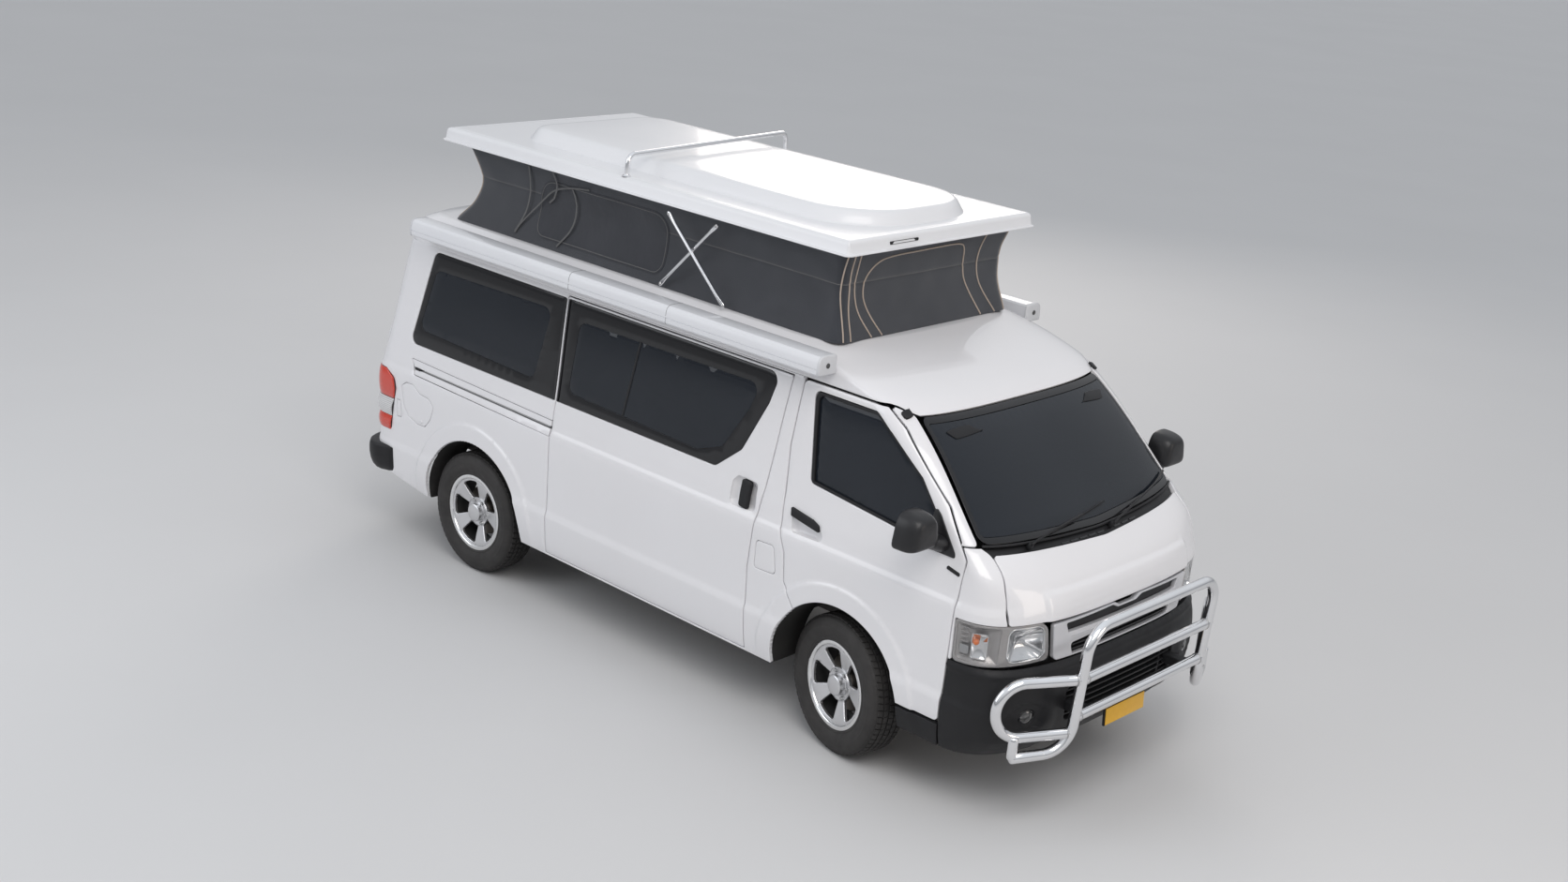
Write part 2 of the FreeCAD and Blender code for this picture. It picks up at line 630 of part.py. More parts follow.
def build_doors():
    """Front doors with glass, the sliding door, side glass and tailgate."""
    g = s.seam_gap
    shell = skin(s.wall)
    pane_layer = skin(s.glass_wall)
    door_points = grown(door_outline(), -g)
    for side, name in ((-1, "right"), (1, "left")):
        door = shell.common(side_cutter(door_points, side, s.lid_corner))
        for cutter in arch_cut(side):
            door = door.cut(cutter)
        window = door_window_outline()
        door = door.cut(side_cutter(window, side, s.door_window_corner))
        keep("front_door_" + name, solid_of(door))
        pane = pane_layer.common(side_cutter(grown(window, -s.fit_gap), side,
                                             s.door_window_corner))
        keep("front_door_glass_" + name, solid_of(pane))
    slider = shell.common(side_cutter(grown(slider_outline(), -g), -1))
    slider = slider.cut(side_cutter(slider_window_outline(), -1, s.wall))
    keep("sliding_door", solid_of(slider))
    panes = []
    for side in (-1, 1):
        for outline in (quarter_window_outline(), slider_window_outline()):
            pane = pane_layer.common(side_cutter(grown(outline, -s.fit_gap), side, s.wall))
            panes += pane.Solids
    keep("side_glass", Part.makeCompound(panes))
    w, low, high = s.tailgate_half_width - g, s.tailgate_low + g, s.tailgate_high - g
    zone = front_prism([(-w, low), (w, low), (w, high), (-w, high)], -s.far,
                       rear(-s.tail_lamp_reach), s.lid_corner)
    window_w = s.rear_window_half_width
    window = [(-window_w, s.rear_window_low), (window_w, s.rear_window_low),
              (window_w, s.rear_window_high), (-window_w, s.rear_window_high)]
    tailgate = shell.common(zone).cut(front_prism(window, -s.far, 0, s.wall))
    keep("tailgate", solid_of(tailgate))
    pane = pane_layer.common(front_prism(grown(window, -s.fit_gap), -s.far, 0, s.wall))
    keep("tailgate_glass", solid_of(pane))
    lamps = []
    for side in (-1, 1):
        zone = tail_lamp_zone(side)
        box = zone.BoundBox
        inner = block(box.XMin, box.XMax - s.fit_gap,
                      box.YMin if side < 0 else box.YMin + s.fit_gap,
                      box.YMax - s.fit_gap if side < 0 else box.YMax,
                      box.ZMin + s.fit_gap, box.ZMax - s.fit_gap)
        lamps += skin(s.lamp_depth).common(inner).Solids
    keep("tail_lamps", Part.makeCompound(lamps))
    rows = []
    for z, more in ((s.rear_bumper_low, 0), (s.crease_height - s.wall, s.overrun / 2),
                    (s.rear_bumper_high - s.fit_gap, s.overrun / 2)):
        rows.append((z, s.body_half_width + s.overrun / 6, front(s.nose_reach), s.nose_corner,
                     rear(-s.rear_bumper_reach + s.overrun / 2 - more), s.tail_corner))
    bumper = stacked(rows)
    bumper = bumper.cut(form(-s.fit_gap))
    bumper = bumper.common(block(-s.far, rear(-s.rear_bumper_side_reach), -s.far, s.far, 0,
                                 s.rear_bumper_high))
    keep("rear_bumper", solid_of(bumper))


def tube(points, radius, bend):
    """A round tube along a path whose corners are rounded."""
    edges = []
    last = points[0]
    for i in range(1, len(points) - 1):
        a = (points[i - 1] - points[i]).normalize()
        b = (points[i + 1] - points[i]).normalize()
        half_turn = a.getAngle(b) / 2
        reach = bend / math.tan(half_turn)
        start = points[i] + a * reach
        end = points[i] + b * reach
        peak = points[i] + (a + b).normalize() * (bend / math.sin(half_turn) - bend)
        if (start - last).Length > 1e-6:
            edges.append(Part.LineSegment(last, start).toShape())
        edges.append(Part.Arc(start, peak, end).toShape())
        last = end
    edges.append(Part.LineSegment(last, points[-1]).toShape())
    path = Part.Wire(edges)
    circle = Part.makeCircle(radius, points[0], points[1] - points[0])
    return path.makePipeShell([Part.Wire([circle])], True, False)


def build_bull_bar():
    """Polished tube hoop with rails, side loops and two mounting arms."""
    x, low_x, w = front(s.bar_reach), front(s.bar_low_reach), s.bar_half_width
    stub_x, stub_y = front(s.bar_stub_reach), s.bar_stub_y

    def upright_x(height):
        return low_x + (x - low_x) * (height - s.bar_low) / (s.bar_top - s.bar_low)

    half_path = [Vector(stub_x, -stub_y, s.bar_low), Vector(low_x, -w, s.bar_low),
                 Vector(x, -w, s.bar_top)]
    points = half_path + [Vector(one.x, -one.y, one.z) for one in half_path[::-1]]
    bar = tube(points, s.bar_radius, s.bar_corner)
    for height in (s.bar_mid_height, s.bar_lower_height):
        start = Vector(upright_x(height), -w, height)
        bar = bar.fuse(Part.makeCylinder(s.bar_radius, 2 * w, start, Vector(0, 1, 0)))
    top, low = s.bar_loop_high, s.bar_loop_low
    loop_x, y = front(s.bar_loop_reach), s.bar_loop_y
    loop = tube([Vector(upright_x(top), w, s.bar_mid_height), Vector(loop_x, y, top),
                 Vector(loop_x, y, low), Vector(upright_x(low), w, low)],
                s.bar_radius, s.bar_loop_bend)
    stub = Part.makeCylinder(s.bar_radius, low - s.bar_low, Vector(stub_x, stub_y, s.bar_low))
    stub = stub.fuse(Part.makeSphere(s.bar_radius, Vector(stub_x, stub_y, s.bar_low)))
    arm = block(front(s.bar_foot_reach) + s.rail_width + s.fit_gap,
                upright_x(s.bar_lower_height), s.rail_half_gap,
                s.rail_half_gap + s.rail_width, s.bar_arm_low,
                s.bar_arm_low + s.bar_arm_height)
    for piece in (loop, stub, arm):
        bar = bar.fuse(piece).fuse(mirrored(piece))
    keep("bull_bar", solid_of(bar))


def build_pop_top():
    """Roof lid with dome and rail, canvas, awnings and struts."""
    x0, x1 = rear(s.lid_rear_reach), front(s.lid_front_reach)
    w = s.lid_half_width

    def plate(inset, z0, z1):
        return plan_prism([(x0 + inset, -w + inset), (x1 - inset, -w + inset),
                           (x1 - inset, w - inset), (x0 + inset, w - inset)], z0, z1,
                          s.lid_corner)

    low = plate(0, s.lid_low, s.lid_low + s.lid_edge)
    wires = []
    for inset, z in ((s.lid_edge, s.lid_low + s.lid_edge), (s.lid_slope, s.lid_high)):
        wires.append(rounded_wire([Vector(x0 + inset, -w + inset, z),
                                   Vector(x1 - inset, -w + inset, z),
                                   Vector(x1 - inset, w - inset, z),
                                   Vector(x0 + inset, w - inset, z)], s.lid_corner))
    lid = low.fuse(Part.makeLoft(wires, True, True))
    lid = lid.cut(plate(s.lid_slope + s.lid_wall, s.lid_low - s.overrun,
                        s.lid_high - s.lid_wall))
    dx0, dx1 = rear(s.dome_rear_reach), front(s.dome_front_reach)
    dw = s.dome_half_width

    def dome_wire(inset, z):
        r = s.dome_front_radius - inset
        a, b, d = dx0 + inset, dx1 - inset, dw - inset
        corner = Vector(b - r, d, z)
        edges = [
            Part.LineSegment(Vector(a, -d, z), Vector(b - r, -d, z)).toShape(),
            Part.Arc(Vector(b - r, -d, z),
                     Vector(b - r + r * math.sin(math.pi / 4),
                            -d + r - r * math.cos(math.pi / 4), z),
                     Vector(b, -d + r, z)).toShape(),
            Part.LineSegment(Vector(b, -d + r, z), Vector(b, d - r, z)).toShape(),
            Part.Arc(Vector(b, d - r, z),
                     Vector(b - r + r * math.sin(math.pi / 4),
                            d - r + r * math.cos(math.pi / 4), z),
                     corner).toShape(),
            Part.LineSegment(corner, Vector(a, d, z)).toShape(),
            Part.LineSegment(Vector(a, d, z), Vector(a, -d, z)).toShape()]
        return Part.Wire(edges)

    dome = Part.makeLoft([dome_wire(0, s.lid_high - s.lid_edge),
                          dome_wire(0, s.lid_high),
                          dome_wire(s.dome_bevel, s.lid_high + s.dome_height)], True, True)
    keep("pop_top_lid", solid_of(lid.fuse(dome)))
    rx, far_x = front(s.rail_reach), front(s.rail_reach - s.rail_skew)
    rw = s.rail_half_width
    foot_z = s.lid_high + s.fit_gap
    top_z = s.lid_high + s.rail_rise
    rail = tube([Vector(rx, -rw, foot_z), Vector(rx, -rw + s.overrun, top_z),
                 Vector(far_x, rw - s.overrun, top_z), Vector(far_x, rw, foot_z)],
                s.rail_radius, s.overrun / 2)
    rail = rail.common(block(-s.far, s.far, -s.far, s.far, foot_z, s.far))
    keep("roof_cross_bar", solid_of(rail))
    build_canvas()
    build_awnings()
    build_struts()


def build_canvas():
    """Canvas wall between the roof and the lid, drawn in at its middle."""
    z0 = s.roof_height + s.fit_gap
    z1 = s.lid_high - s.lid_wall - s.fit_gap
    inside = s.lid_slope + s.lid_wall + s.canvas_gap
    x0, x1 = rear(s.canvas_rear_reach), front(s.lid_front_reach) - inside
    half_width = s.lid_half_width - inside
    levels = []
    for i in range(CANVAS_LEVELS + 1):
        share = i / CANVAS_LEVELS
        levels.append((z0 + share * (z1 - z0), math.sin(math.pi * share) * s.canvas_neck_inset))

    def wall(inset, overrun):
        wires = []
        for z, pull in levels:
            w = half_width - inset - pull
            a, b = x0 + inset + pull * 2, x1 - inset - pull
            wires.append(rounded_wire([Vector(a, -w, z), Vector(b, -w, z), Vector(b, w, z),
                                       Vector(a, w, z)], s.canvas_corner - inset))
        if overrun:
            wires[0].translate(Vector(0, 0, -overrun))
            wires[-1].translate(Vector(0, 0, overrun))
        return Part.makeLoft(wires, True, True)

    keep("canvas", solid_of(wall(0, 0).cut(wall(s.canvas_wall, s.fit_gap))))


def build_awnings():
    """Rolled awning cassettes along both roof edges."""
    y0 = s.body_half_width - s.gutter_inset + s.awning_inner_gap
    y1 = y0 + s.awning_width
    z0, z1 = s.awning_low, s.awning_high
    x0, x1 = rear(s.awning_rear_reach), front(s.awning_front_reach)
    r = (z1 - z0) / 3
    outline = [(y0, z0), (y1 - r / 2, z0), (y1, z0 + r), (y1, z1 - r), (y1 - r, z1), (y0, z1)]
    body = front_prism(outline, x0, x1, r / 2)
    hook = block(x0 + s.overrun, x1 - s.overrun, y0 - s.awning_inner_gap * 3, y0 + s.overrun / 2,
                 z0, z0 + s.awning_inner_gap)
    right = mirrored(body.fuse(hook).cut(form(-s.fit_gap)))
    left_end = front(s.awning_left_front_reach)
    left = mirrored(right).common(block(x0, left_end, 0, s.far, 0, s.far))
    keep("awnings", Part.makeCompound(left.Solids + right.Solids))


def strut(x_low, x_high, y, name):
    """One straight strut arm, made at its lower pivot."""
    low = Vector(x_low, y, s.strut_low)
    high = Vector(x_high, y, s.strut_high)
    arm = Part.makeCylinder(s.strut_radius, (high - low).Length, low, high - low)
    for end in (low, high):
        start = Vector(end.x, y - s.strut_radius, end.z)
        arm = arm.fuse(Part.makeCylinder(s.strut_boss, s.strut_radius * 2, start,
                                         Vector(0, 1, 0)))
    keep(name, solid_of(arm))


def build_struts():
    for side, name in ((-1, "right"), (1, "left")):
        strut(s.strut_a_low_x, s.strut_a_high_x, side * s.strut_outer_y, "strut_fore_" + name)
        strut(s.strut_b_low_x, s.strut_b_high_x, side * s.strut_inner_y, "strut_aft_" + name)


def wheel_shapes():
    """One tyre and one alloy wheel, centred on the origin with their outer face at plus Y."""
    half_width = s.tyre_width / 2
    r, seat = s.tyre_radius, s.rim_radius
    bead = half_width * BEAD_SHARE
    flange = seat + s.rim_lip_width / 2
    profile = [(seat, bead), (flange + s.fit_gap, bead)]
    profile += [(seat + a * (r - seat), b * half_width) for a, b in TYRE_SHARES]
    profile += [(a, -b) for a, b in profile[::-1]]
    wire = Part.makePolygon([Vector(a, b, 0) for a, b in profile + profile[:1]])
    tyre = Part.Face(wire).revolve(Vector(0, 0, 0), Vector(0, 1, 0), 360)
    inner = seat - s.fit_gap
    out = bead + s.fit_gap
    lip = out + s.rim_lip_width / 2
    barrel = inner - s.rim_barrel_wall
    face = lip - s.rim_face_depth
    cap = s.hub_cap_radius
    profile = [(inner, -bead + s.fit_gap), (inner, out), (flange, out), (flange, lip),
               (barrel - s.rim_lip_width, lip - s.rim_barrel_wall), (barrel - s.rim_lip_width, face),
               (cap, face + s.rim_lip_width), (cap, face + s.hub_cap_height),
               (cap - s.rim_lip_width, face + s.hub_cap_height + s.rim_lip_width),
               (0, face + s.hub_cap_height + s.rim_lip_width), (0, face - s.rim_lip_width),
               (barrel, face - s.rim_lip_width), (barrel, -bead + s.fit_gap)]
    wire = Part.makePolygon([Vector(a, b, 0) for a, b in profile + profile[:1]])
    rim = Part.Face(wire).revolve(Vector(0, 0, 0), Vector(0, 1, 0), 360)
    for i in range(int(s.spoke_count)):
        angle = 360 / s.spoke_count * i
        window = plan_wedge(cap + s.rim_lip_width, barrel - s.rim_lip_width * 2,
                            s.spoke_window_angle)
        window.rotate(Vector(0, 0, 0), Vector(0, 1, 0), angle)
        rim = rim.cut(window)
    rim = rim.cut(Part.makeCylinder(s.hub_bore_radius, half_width + face,
                                    Vector(0, -half_width, 0), Vector(0, 1, 0)))
    return tyre, rim


def hub_face():
    """How far the hub bore reaches outward from a wheel's middle."""
    lip = s.tyre_width / 2 * BEAD_SHARE + s.fit_gap + s.rim_lip_width / 2
    return lip - s.rim_face_depth - s.fit_gap


def plan_wedge(r0, r1, spread):
    """A wedge-shaped cutter along Y between two radii."""
    a = math.radians(spread / 2)
    b = a * SPOKE_WINDOW_TAPER
    points = []
    for radius, angle in ((r0, -b), (r1, -a), (r1, a), (r0, b)):
        points.append(Vector(radius * math.cos(angle), -s.tyre_width, radius * math.sin(angle)))
    middle = Vector(r1, -s.tyre_width, 0)
    edges = [Part.LineSegment(points[0], points[1]).toShape(),
             Part.Arc(points[1], middle, points[2]).toShape(),
             Part.LineSegment(points[2], points[3]).toShape(),
             Part.LineSegment(points[3], points[0]).toShape()]
    return Part.Face(Part.Wire(edges)).extrude(Vector(0, s.tyre_width * 2, 0))


def wheel_place(x, side, steer):
    """Where a wheel sits, turned about its kingpin."""
    turn = Rotation(Vector(0, 0, 1), steer)
    flip = Rotation(Vector(0, 0, 1), 0 if side > 0 else 180)
    pin = Vector(x, side * s.kingpin_y, s.tyre_radius)
    centre = pin + turn.multVec(Vector(0, side * (s.wheel_centre_y - s.kingpin_y), 0))
    return Placement(centre, turn * flip)


def build_wheels():
    tyre, rim = wheel_shapes()
    for end, x, steer in (("front", s.front_axle_x, -s.rest_steer), ("rear", s.rear_axle_x, 0)):
        for side, name in ((-1, "right"), (1, "left")):
            place = wheel_place(x, side, steer)
            keep("tyre_%s_%s" % (end, name), tyre.copy(), place)
            keep("wheel_%s_%s" % (end, name), rim.copy(), place)


def build_running_gear():
    """Knuckles, rear axle, rails, floor and engine."""
    hub_radius = s.hub_bore_radius - s.fit_gap
    pin = -(s.wheel_centre_y - s.kingpin_y)
    for side, name in ((-1, "right"), (1, "left")):
        place = wheel_place(s.front_axle_x, side, -s.rest_steer)
        spindle = Part.makeCylinder(hub_radius, hub_face() - pin, Vector(0, pin, 0),
                                    Vector(0, 1, 0))
        upright = block(-hub_radius, hub_radius, pin - hub_radius, pin + hub_radius,
                        -s.rail_height, s.rail_height)
        keep("knuckle_" + name, spindle.fuse(upright), place)
    reach = s.wheel_centre_y + hub_face()
    axle_end = s.wheel_centre_y - s.tyre_width / 2 - s.well_wall
    axle = Part.makeCylinder(s.axle_tube_radius, 2 * axle_end,
                             Vector(s.rear_axle_x, -axle_end, s.tyre_radius), Vector(0, 1, 0))
    axle = axle.fuse(Part.makeCylinder(hub_radius, 2 * reach,
                                       Vector(s.rear_axle_x, -reach, s.tyre_radius),
                                       Vector(0, 1, 0)))
    axle = axle.fuse(Part.makeSphere(s.axle_tube_radius * 3,
                                     Vector(s.rear_axle_x, 0, s.tyre_radius)))
    z1 = s.floor_low - s.fit_gap
    half_arm = s.rail_width / 2
    x, y1 = s.front_axle_x, s.kingpin_y + half_arm
    low = s.tyre_radius - s.rail_height - s.fit_gap
    high = s.tyre_radius + s.rail_height + s.fit_gap
    beam = block(x - half_arm, x + half_arm, -y1, y1, low - s.arm_wall, low)
    for side in (-1, 1):
        y0 = s.rail_half_gap + s.rail_width + s.fit_gap
        arm = block(x - half_arm, x + half_arm, y0, y1, high, high + s.arm_wall)
        post = block(x - half_arm, x + half_arm, y0, y0 + s.arm_wall, low, high + s.arm_wall)
        arm = arm.fuse(post)
        beam = beam.fuse(arm if side > 0 else mirrored(arm))
    keep("front_suspension", solid_of(beam))
    y = s.rail_half_gap + s.rail_width / 2
    for side in (-1, 1):
        pad = block(s.rear_axle_x - s.rail_width, s.rear_axle_x + s.rail_width,
                    side * y - s.rail_width / 2, side * y + s.rail_width / 2,
                    s.tyre_radius, z1 - s.rail_height - s.fit_gap)
        axle = axle.fuse(pad)
    keep("rear_axle", solid_of(axle))
    rails = []
    for side in (-1, 1):
        y0, y1 = sorted((side * s.rail_half_gap, side * (s.rail_half_gap + s.rail_width)))
        rails.append(block(rear(-s.tail_reach) + s.wall + s.rail_width,
                           front(s.bar_foot_reach) + s.rail_width, y0, y1,
                           z1 - s.rail_height, z1))
    frame = rails[0].fuse(rails[1])
    for x in (front(-s.engine_length), rear(0) + s.engine_length, rear(-s.engine_length),
              front(s.bar_foot_reach)):
        frame = frame.fuse(block(x, x + s.rail_width, -s.rail_half_gap, s.rail_half_gap,
                                 z1 - s.rail_height, z1))
    keep("chassis_frame", solid_of(frame))
    build_floor()
    x = front(s.engine_reach)
    keep("engine", block(x - s.engine_length / 2, x + s.engine_length / 2,
                         -s.engine_width / 2, s.engine_width / 2, s.engine_low,
                         s.engine_high))


def build_floor():
    """Floor with four wheel wells and a tunnel over the engine."""
    depth = s.wall + s.rim_wall + s.fit_gap
    room = form(depth)
    floor = room.common(block(-s.far, front(s.door_front_reach), -s.far, s.far, s.floor_low,
                              s.floor_low + s.floor_wall))
    r = s.front_arch_radius + s.well_gap
    axles = ((s.front_axle_x, s.front_well_y), (s.rear_axle_x, s.rear_well_y))
    wells = []
    above = block(-s.far, s.far, -s.far, s.far, s.floor_low, s.far)
    for x, y0 in axles:
        outer = Part.makeCylinder(r + s.well_wall, s.far, Vector(x, y0, s.tyre_radius),
                                  Vector(0, 1, 0))
        inner = Part.makeCylinder(r, s.far, Vector(x, y0 + s.well_wall, s.tyre_radius),
                                  Vector(0, 1, 0))
        well = outer.common(room).common(above).cut(inner)
        slot = Part.makeCylinder(r + s.well_wall + s.fit_gap, s.far,
                                 Vector(x, y0 - s.fit_gap, s.tyre_radius), Vector(0, 1, 0))
        floor = floor.cut(slot).cut(mirrored(slot))
        wells += well.Solids + mirrored(well).Solids
    keep("wheel_wells", Part.makeCompound(wells))
    x, w = front(s.engine_reach), s.engine_width / 2 + s.tunnel_gap
    x0, x1 = x - s.engine_length / 2 - s.tunnel_gap, x + s.engine_length / 2 + s.tunnel_gap
    top = s.engine_high + s.tunnel_gap
    wall = s.floor_wall
    floor = floor.fuse(block(x0 - wall, x1 + wall, -w - wall, w + wall, s.floor_low, top + wall))
    floor = floor.cut(block(x0, x1, -w, w, 0, top))
    keep("floor_pan", solid_of(floor))


def build_cabin():
    """Seats, dashboard and steering wheel."""
    seats = []
    x0, x1 = front(SEAT_REACH_SHARES[0] * s.wheel_base), front(SEAT_REACH_SHARES[1] * s.wheel_base)
    low = s.tyre_radius + s.front_arch_radius + s.well_gap + s.well_wall + s.fit_gap
    for side in (-1, 1):
        y = side * s.seat_y
        w = s.seat_width / 2
        lean = s.seat_back_wall
        points = [(x0, low), (x1, low), (x1, low + s.seat_cushion),
                  (x0 + lean, low + s.seat_cushion), (x0, s.seat_high),
                  (x0 - lean, s.seat_high)]
        seats.append(side_prism(points, y - w, y + w, s.wall))
    keep("seats", Part.makeCompound(seats))
    depth = s.wall + s.rim_wall + s.fit_gap
    dash_x = front(s.door_front_reach) - s.seat_width / 2
    dash = form(depth).common(block(dash_x, front(s.door_front_reach) + s.overrun, -s.far,
                                    s.far, s.dash_low, s.dash_high))
    turn = Rotation(Vector(0, 1, 0), -COLUMN_LEAN)
    place = Placement(Vector(dash_x - s.wall, s.seat_y, s.dash_high), turn)
    column_length = s.seat_width / 3
    bore = Part.makeCylinder(s.wheel_rim_tube + s.fit_gap, column_length + s.fit_gap,
                             Vector(0, 0, -column_length - s.fit_gap))
    bore.Placement = place
    keep("dashboard", solid_of(dash.cut(bore)))
    ring = Part.makeTorus(s.wheel_rim_radius, s.wheel_rim_tube, Vector(0, 0, 0),
                          Vector(0, 0, 1))
    hub = Part.makeCylinder(s.wall, s.wheel_rim_tube, Vector(0, 0, 0))
    column = Part.makeCylinder(s.wheel_rim_tube, column_length, Vector(0, 0, -column_length))
    wheel = ring.fuse(hub).fuse(column)
    for i in range(3):
        spoke = block(0, s.wheel_rim_radius, -s.wheel_rim_tube, s.wheel_rim_tube,
                      0, s.wheel_rim_tube / 2)
        spoke.rotate(Vector(0, 0, 0), Vector(0, 0, 1), 90 * i)
        wheel = wheel.fuse(spoke)
    keep("steering_wheel", solid_of(wheel), place)


def build_mirrors():
    """Door mirrors on short arms."""
    x, z = front(s.mirror_reach), s.mirror_height
    y0 = s.body_half_width - s.mirror_overlap
    y1 = s.mirror_outer_y
    arm = block(x - s.mirror_arm / 2, x + s.mirror_arm / 2, y0 - s.mirror_arm, y1 - s.mirror_width / 2,
                z - s.mirror_drop, z - s.mirror_drop + s.mirror_arm)
    head = block(x - s.mirror_depth / 2, x + s.mirror_depth / 2, y1 - s.mirror_width, y1,
                 z - s.mirror_tall / 2, z + s.mirror_tall / 2)
    head = head.makeFillet(s.mirror_round, head.Edges)
    shape = arm.fuse(head).cut(form(-s.fit_gap))
    keep("door_mirror_right", mirrored(solid_of(shape)))
    keep("door_mirror_left", solid_of(shape))


class Term:
    """A size with its value and the text that binds a property to it."""

    def __init__(self, value, text):
        self.value, self.text = value, text

    def __add__(self, other):
        return Term(self.value + other.value, "(%s + %s)" % (self.text, other.text))

    def __sub__(self, other):
        return Term(self.value - other.value, "(%s - %s)" % (self.text, other.text))

    def share(self, amount):
        return Term(self.value * amount, "(%s * %s)" % (self.text, amount))


def term(name):
    """One named size of the sheet."""
    return Term(getattr(s, name), "sizes." + name)


ZERO = Term(0, "0")


def bind(feature, **terms):
    """Properties of a feature bound to sizes of the sheet."""
    for name, size in terms.items():
        feature.setExpression(name, size.text)
    return feature


def primitive(kind, name, x, y, z, turn=None, **terms):
    """A bound box, cylinder, torus or sphere at a bound place."""
    feature = bind(doc.addObject("Part::" + kind, name), **terms)
    feature.Placement = Placement(Vector(x.value, y.value, z.value), turn or Rotation())
    for axis, size in (("x", x), ("y", y), ("z", z)):
        feature.setExpression("Placement.Base." + axis, size.text)
    return feature


def joined(name, features):
    """Several features fused into one sub-part."""
    fusion = doc.addObject("Part::MultiFuse", name)
    fusion.Shapes = features
    fusion.Label = name
    PARTS[name] = fusion
    return fusion


def build_underside():
    """Fuel tank, exhaust and leaf springs under the floor."""
    axle_x = term("rear_axle_x_at")
    top = term("floor_low") - term("fit_gap")
    tank = primitive("Box", "fuel_tank", term("tank_rear_x"), term("tank_y"),
                     top - term("tank_height"), Length=term("tank_length"),
                     Width=term("tank_width"), Height=term("tank_height"))
    tank.Label = "fuel_tank"
    PARTS["fuel_tank"] = tank
    back = Rotation(Vector(0, 1, 0), -90)
    pipe = primitive("Cylinder", "exhaust_pipe", term("exhaust_front_x"), term("exhaust_y"),
                     term("exhaust_z"), back, Radius=term("exhaust_radius"),
                     Height=term("exhaust_length"))
    box = primitive("Cylinder", "exhaust_box", term("muffler_front_x"), term("exhaust_y"),
                    term("exhaust_z"), back, Radius=term("muffler_radius"),
                    Height=term("muffler_length"))
    hanger = primitive("Box", "exhaust_hanger", term("muffler_front_x") - term("muffler_length"),
                       term("exhaust_y") - term("arm_wall").share(HALF_SHARE), term("exhaust_z"),
                       Length=term("arm_wall"), Width=term("arm_wall"),
                       Height=top - term("exhaust_z"))
    joined("exhaust", [pipe, box, hanger])
    for sign, name in ((-1, "right"), (1, "left")):
        leaf_y = term("leaf_y").share(sign) - term("leaf_width").share(HALF_SHARE)
        leaves = []
        for i in range(LEAF_COUNT):
            length = term("leaf_length").share(1 - i / LEAF_COUNT)
            leaves.append(primitive(
                "Box", "leaf_%s_%d" % (name, i), axle_x - length.share(HALF_SHARE), leaf_y,
                term("leaf_z") - term("leaf_wall").share(i + 1), Length=length,
                Width=term("leaf_width"), Height=term("leaf_wall")))
        for i, place in enumerate((-HALF_SHARE, HALF_SHARE)):
            leaves.append(primitive(
                "Box", "shackle_%s_%d" % (name, i),
                axle_x + term("leaf_length").share(place) - term("arm_wall").share(HALF_SHARE),
                leaf_y, term("leaf_z") - term("leaf_wall"), Length=term("arm_wall"),
                Width=term("leaf_width"),
                Height=top - term("leaf_z") + term("leaf_wall")))
        joined("leaf_spring_" + name, leaves)


def build_fittings():
    """Rear pod, and the unit and bench inside the living space."""
    pod = Part.makeSphere(s.pod_radius)
    stretch = FreeCAD.Matrix()
    stretch.scale(s.pod_depth_share, 1, s.pod_height_share)
    pod = pod.transformGeometry(stretch)
    pod.translate(Vector(rear(-s.pod_reach), -s.pod_y, s.pod_height))
    pod = pod.cut(form(-s.fit_gap))
    keep("rear_pod", solid_of(pod))
    unit = block(rear(s.unit_rear_reach), rear(s.unit_front_reach), s.unit_inner_y,
                 s.unit_outer_y, s.floor_low + s.floor_wall + s.fit_gap, s.unit_high)
    keep("kitchen_unit", unit)
    bench = block(rear(s.bench_rear_reach), rear(s.bench_front_reach), -s.bench_half_width,
                  s.bench_half_width, s.floor_low + s.floor_wall + s.fit_gap, s.bench_high)
    keep("rear_bench", bench)


build_body()
build_front()
build_doors()
build_bull_bar()
build_pop_top()
build_wheels()
build_running_gear()
build_cabin()
build_mirrors()
build_underside()
build_fittings()
doc.recompute()

for item in doc.Objects:
    if "Invalid" in item.State or "Error" in item.State:
        raise RuntimeError("%s did not compute" % item.Label)
os.makedirs("parts", exist_ok=True)
for name, feature in PARTS.items():
    if feature.Shape.isNull() or not feature.Shape.isValid():
        raise RuntimeError("%s has no valid shape" % name)
for name, feature in PARTS.items():
    feature.Shape.exportStep("parts/%s.step" % name)
print(len(PARTS), "sub-parts")
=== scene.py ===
import math
import bpy
import bmesh
import numpy as np
from mathutils import Matrix, Vector
from mathutils.geometry import delaunay_2d_cdt


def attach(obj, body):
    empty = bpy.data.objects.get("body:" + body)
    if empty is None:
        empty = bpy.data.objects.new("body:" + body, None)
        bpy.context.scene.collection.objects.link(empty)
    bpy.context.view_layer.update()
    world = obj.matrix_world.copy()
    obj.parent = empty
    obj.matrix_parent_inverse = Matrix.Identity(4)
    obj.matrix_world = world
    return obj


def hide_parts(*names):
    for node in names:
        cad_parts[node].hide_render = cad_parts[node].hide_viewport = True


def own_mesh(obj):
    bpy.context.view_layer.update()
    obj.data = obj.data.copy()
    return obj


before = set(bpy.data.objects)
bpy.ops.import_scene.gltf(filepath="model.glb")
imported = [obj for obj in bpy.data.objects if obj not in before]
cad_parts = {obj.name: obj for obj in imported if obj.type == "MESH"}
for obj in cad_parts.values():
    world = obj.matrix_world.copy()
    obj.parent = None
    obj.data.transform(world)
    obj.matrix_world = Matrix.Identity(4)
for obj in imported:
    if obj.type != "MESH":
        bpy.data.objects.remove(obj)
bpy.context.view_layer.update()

print("stage: frame loaded")

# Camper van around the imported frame: metres, X forward, Y to the van's left, Z up.

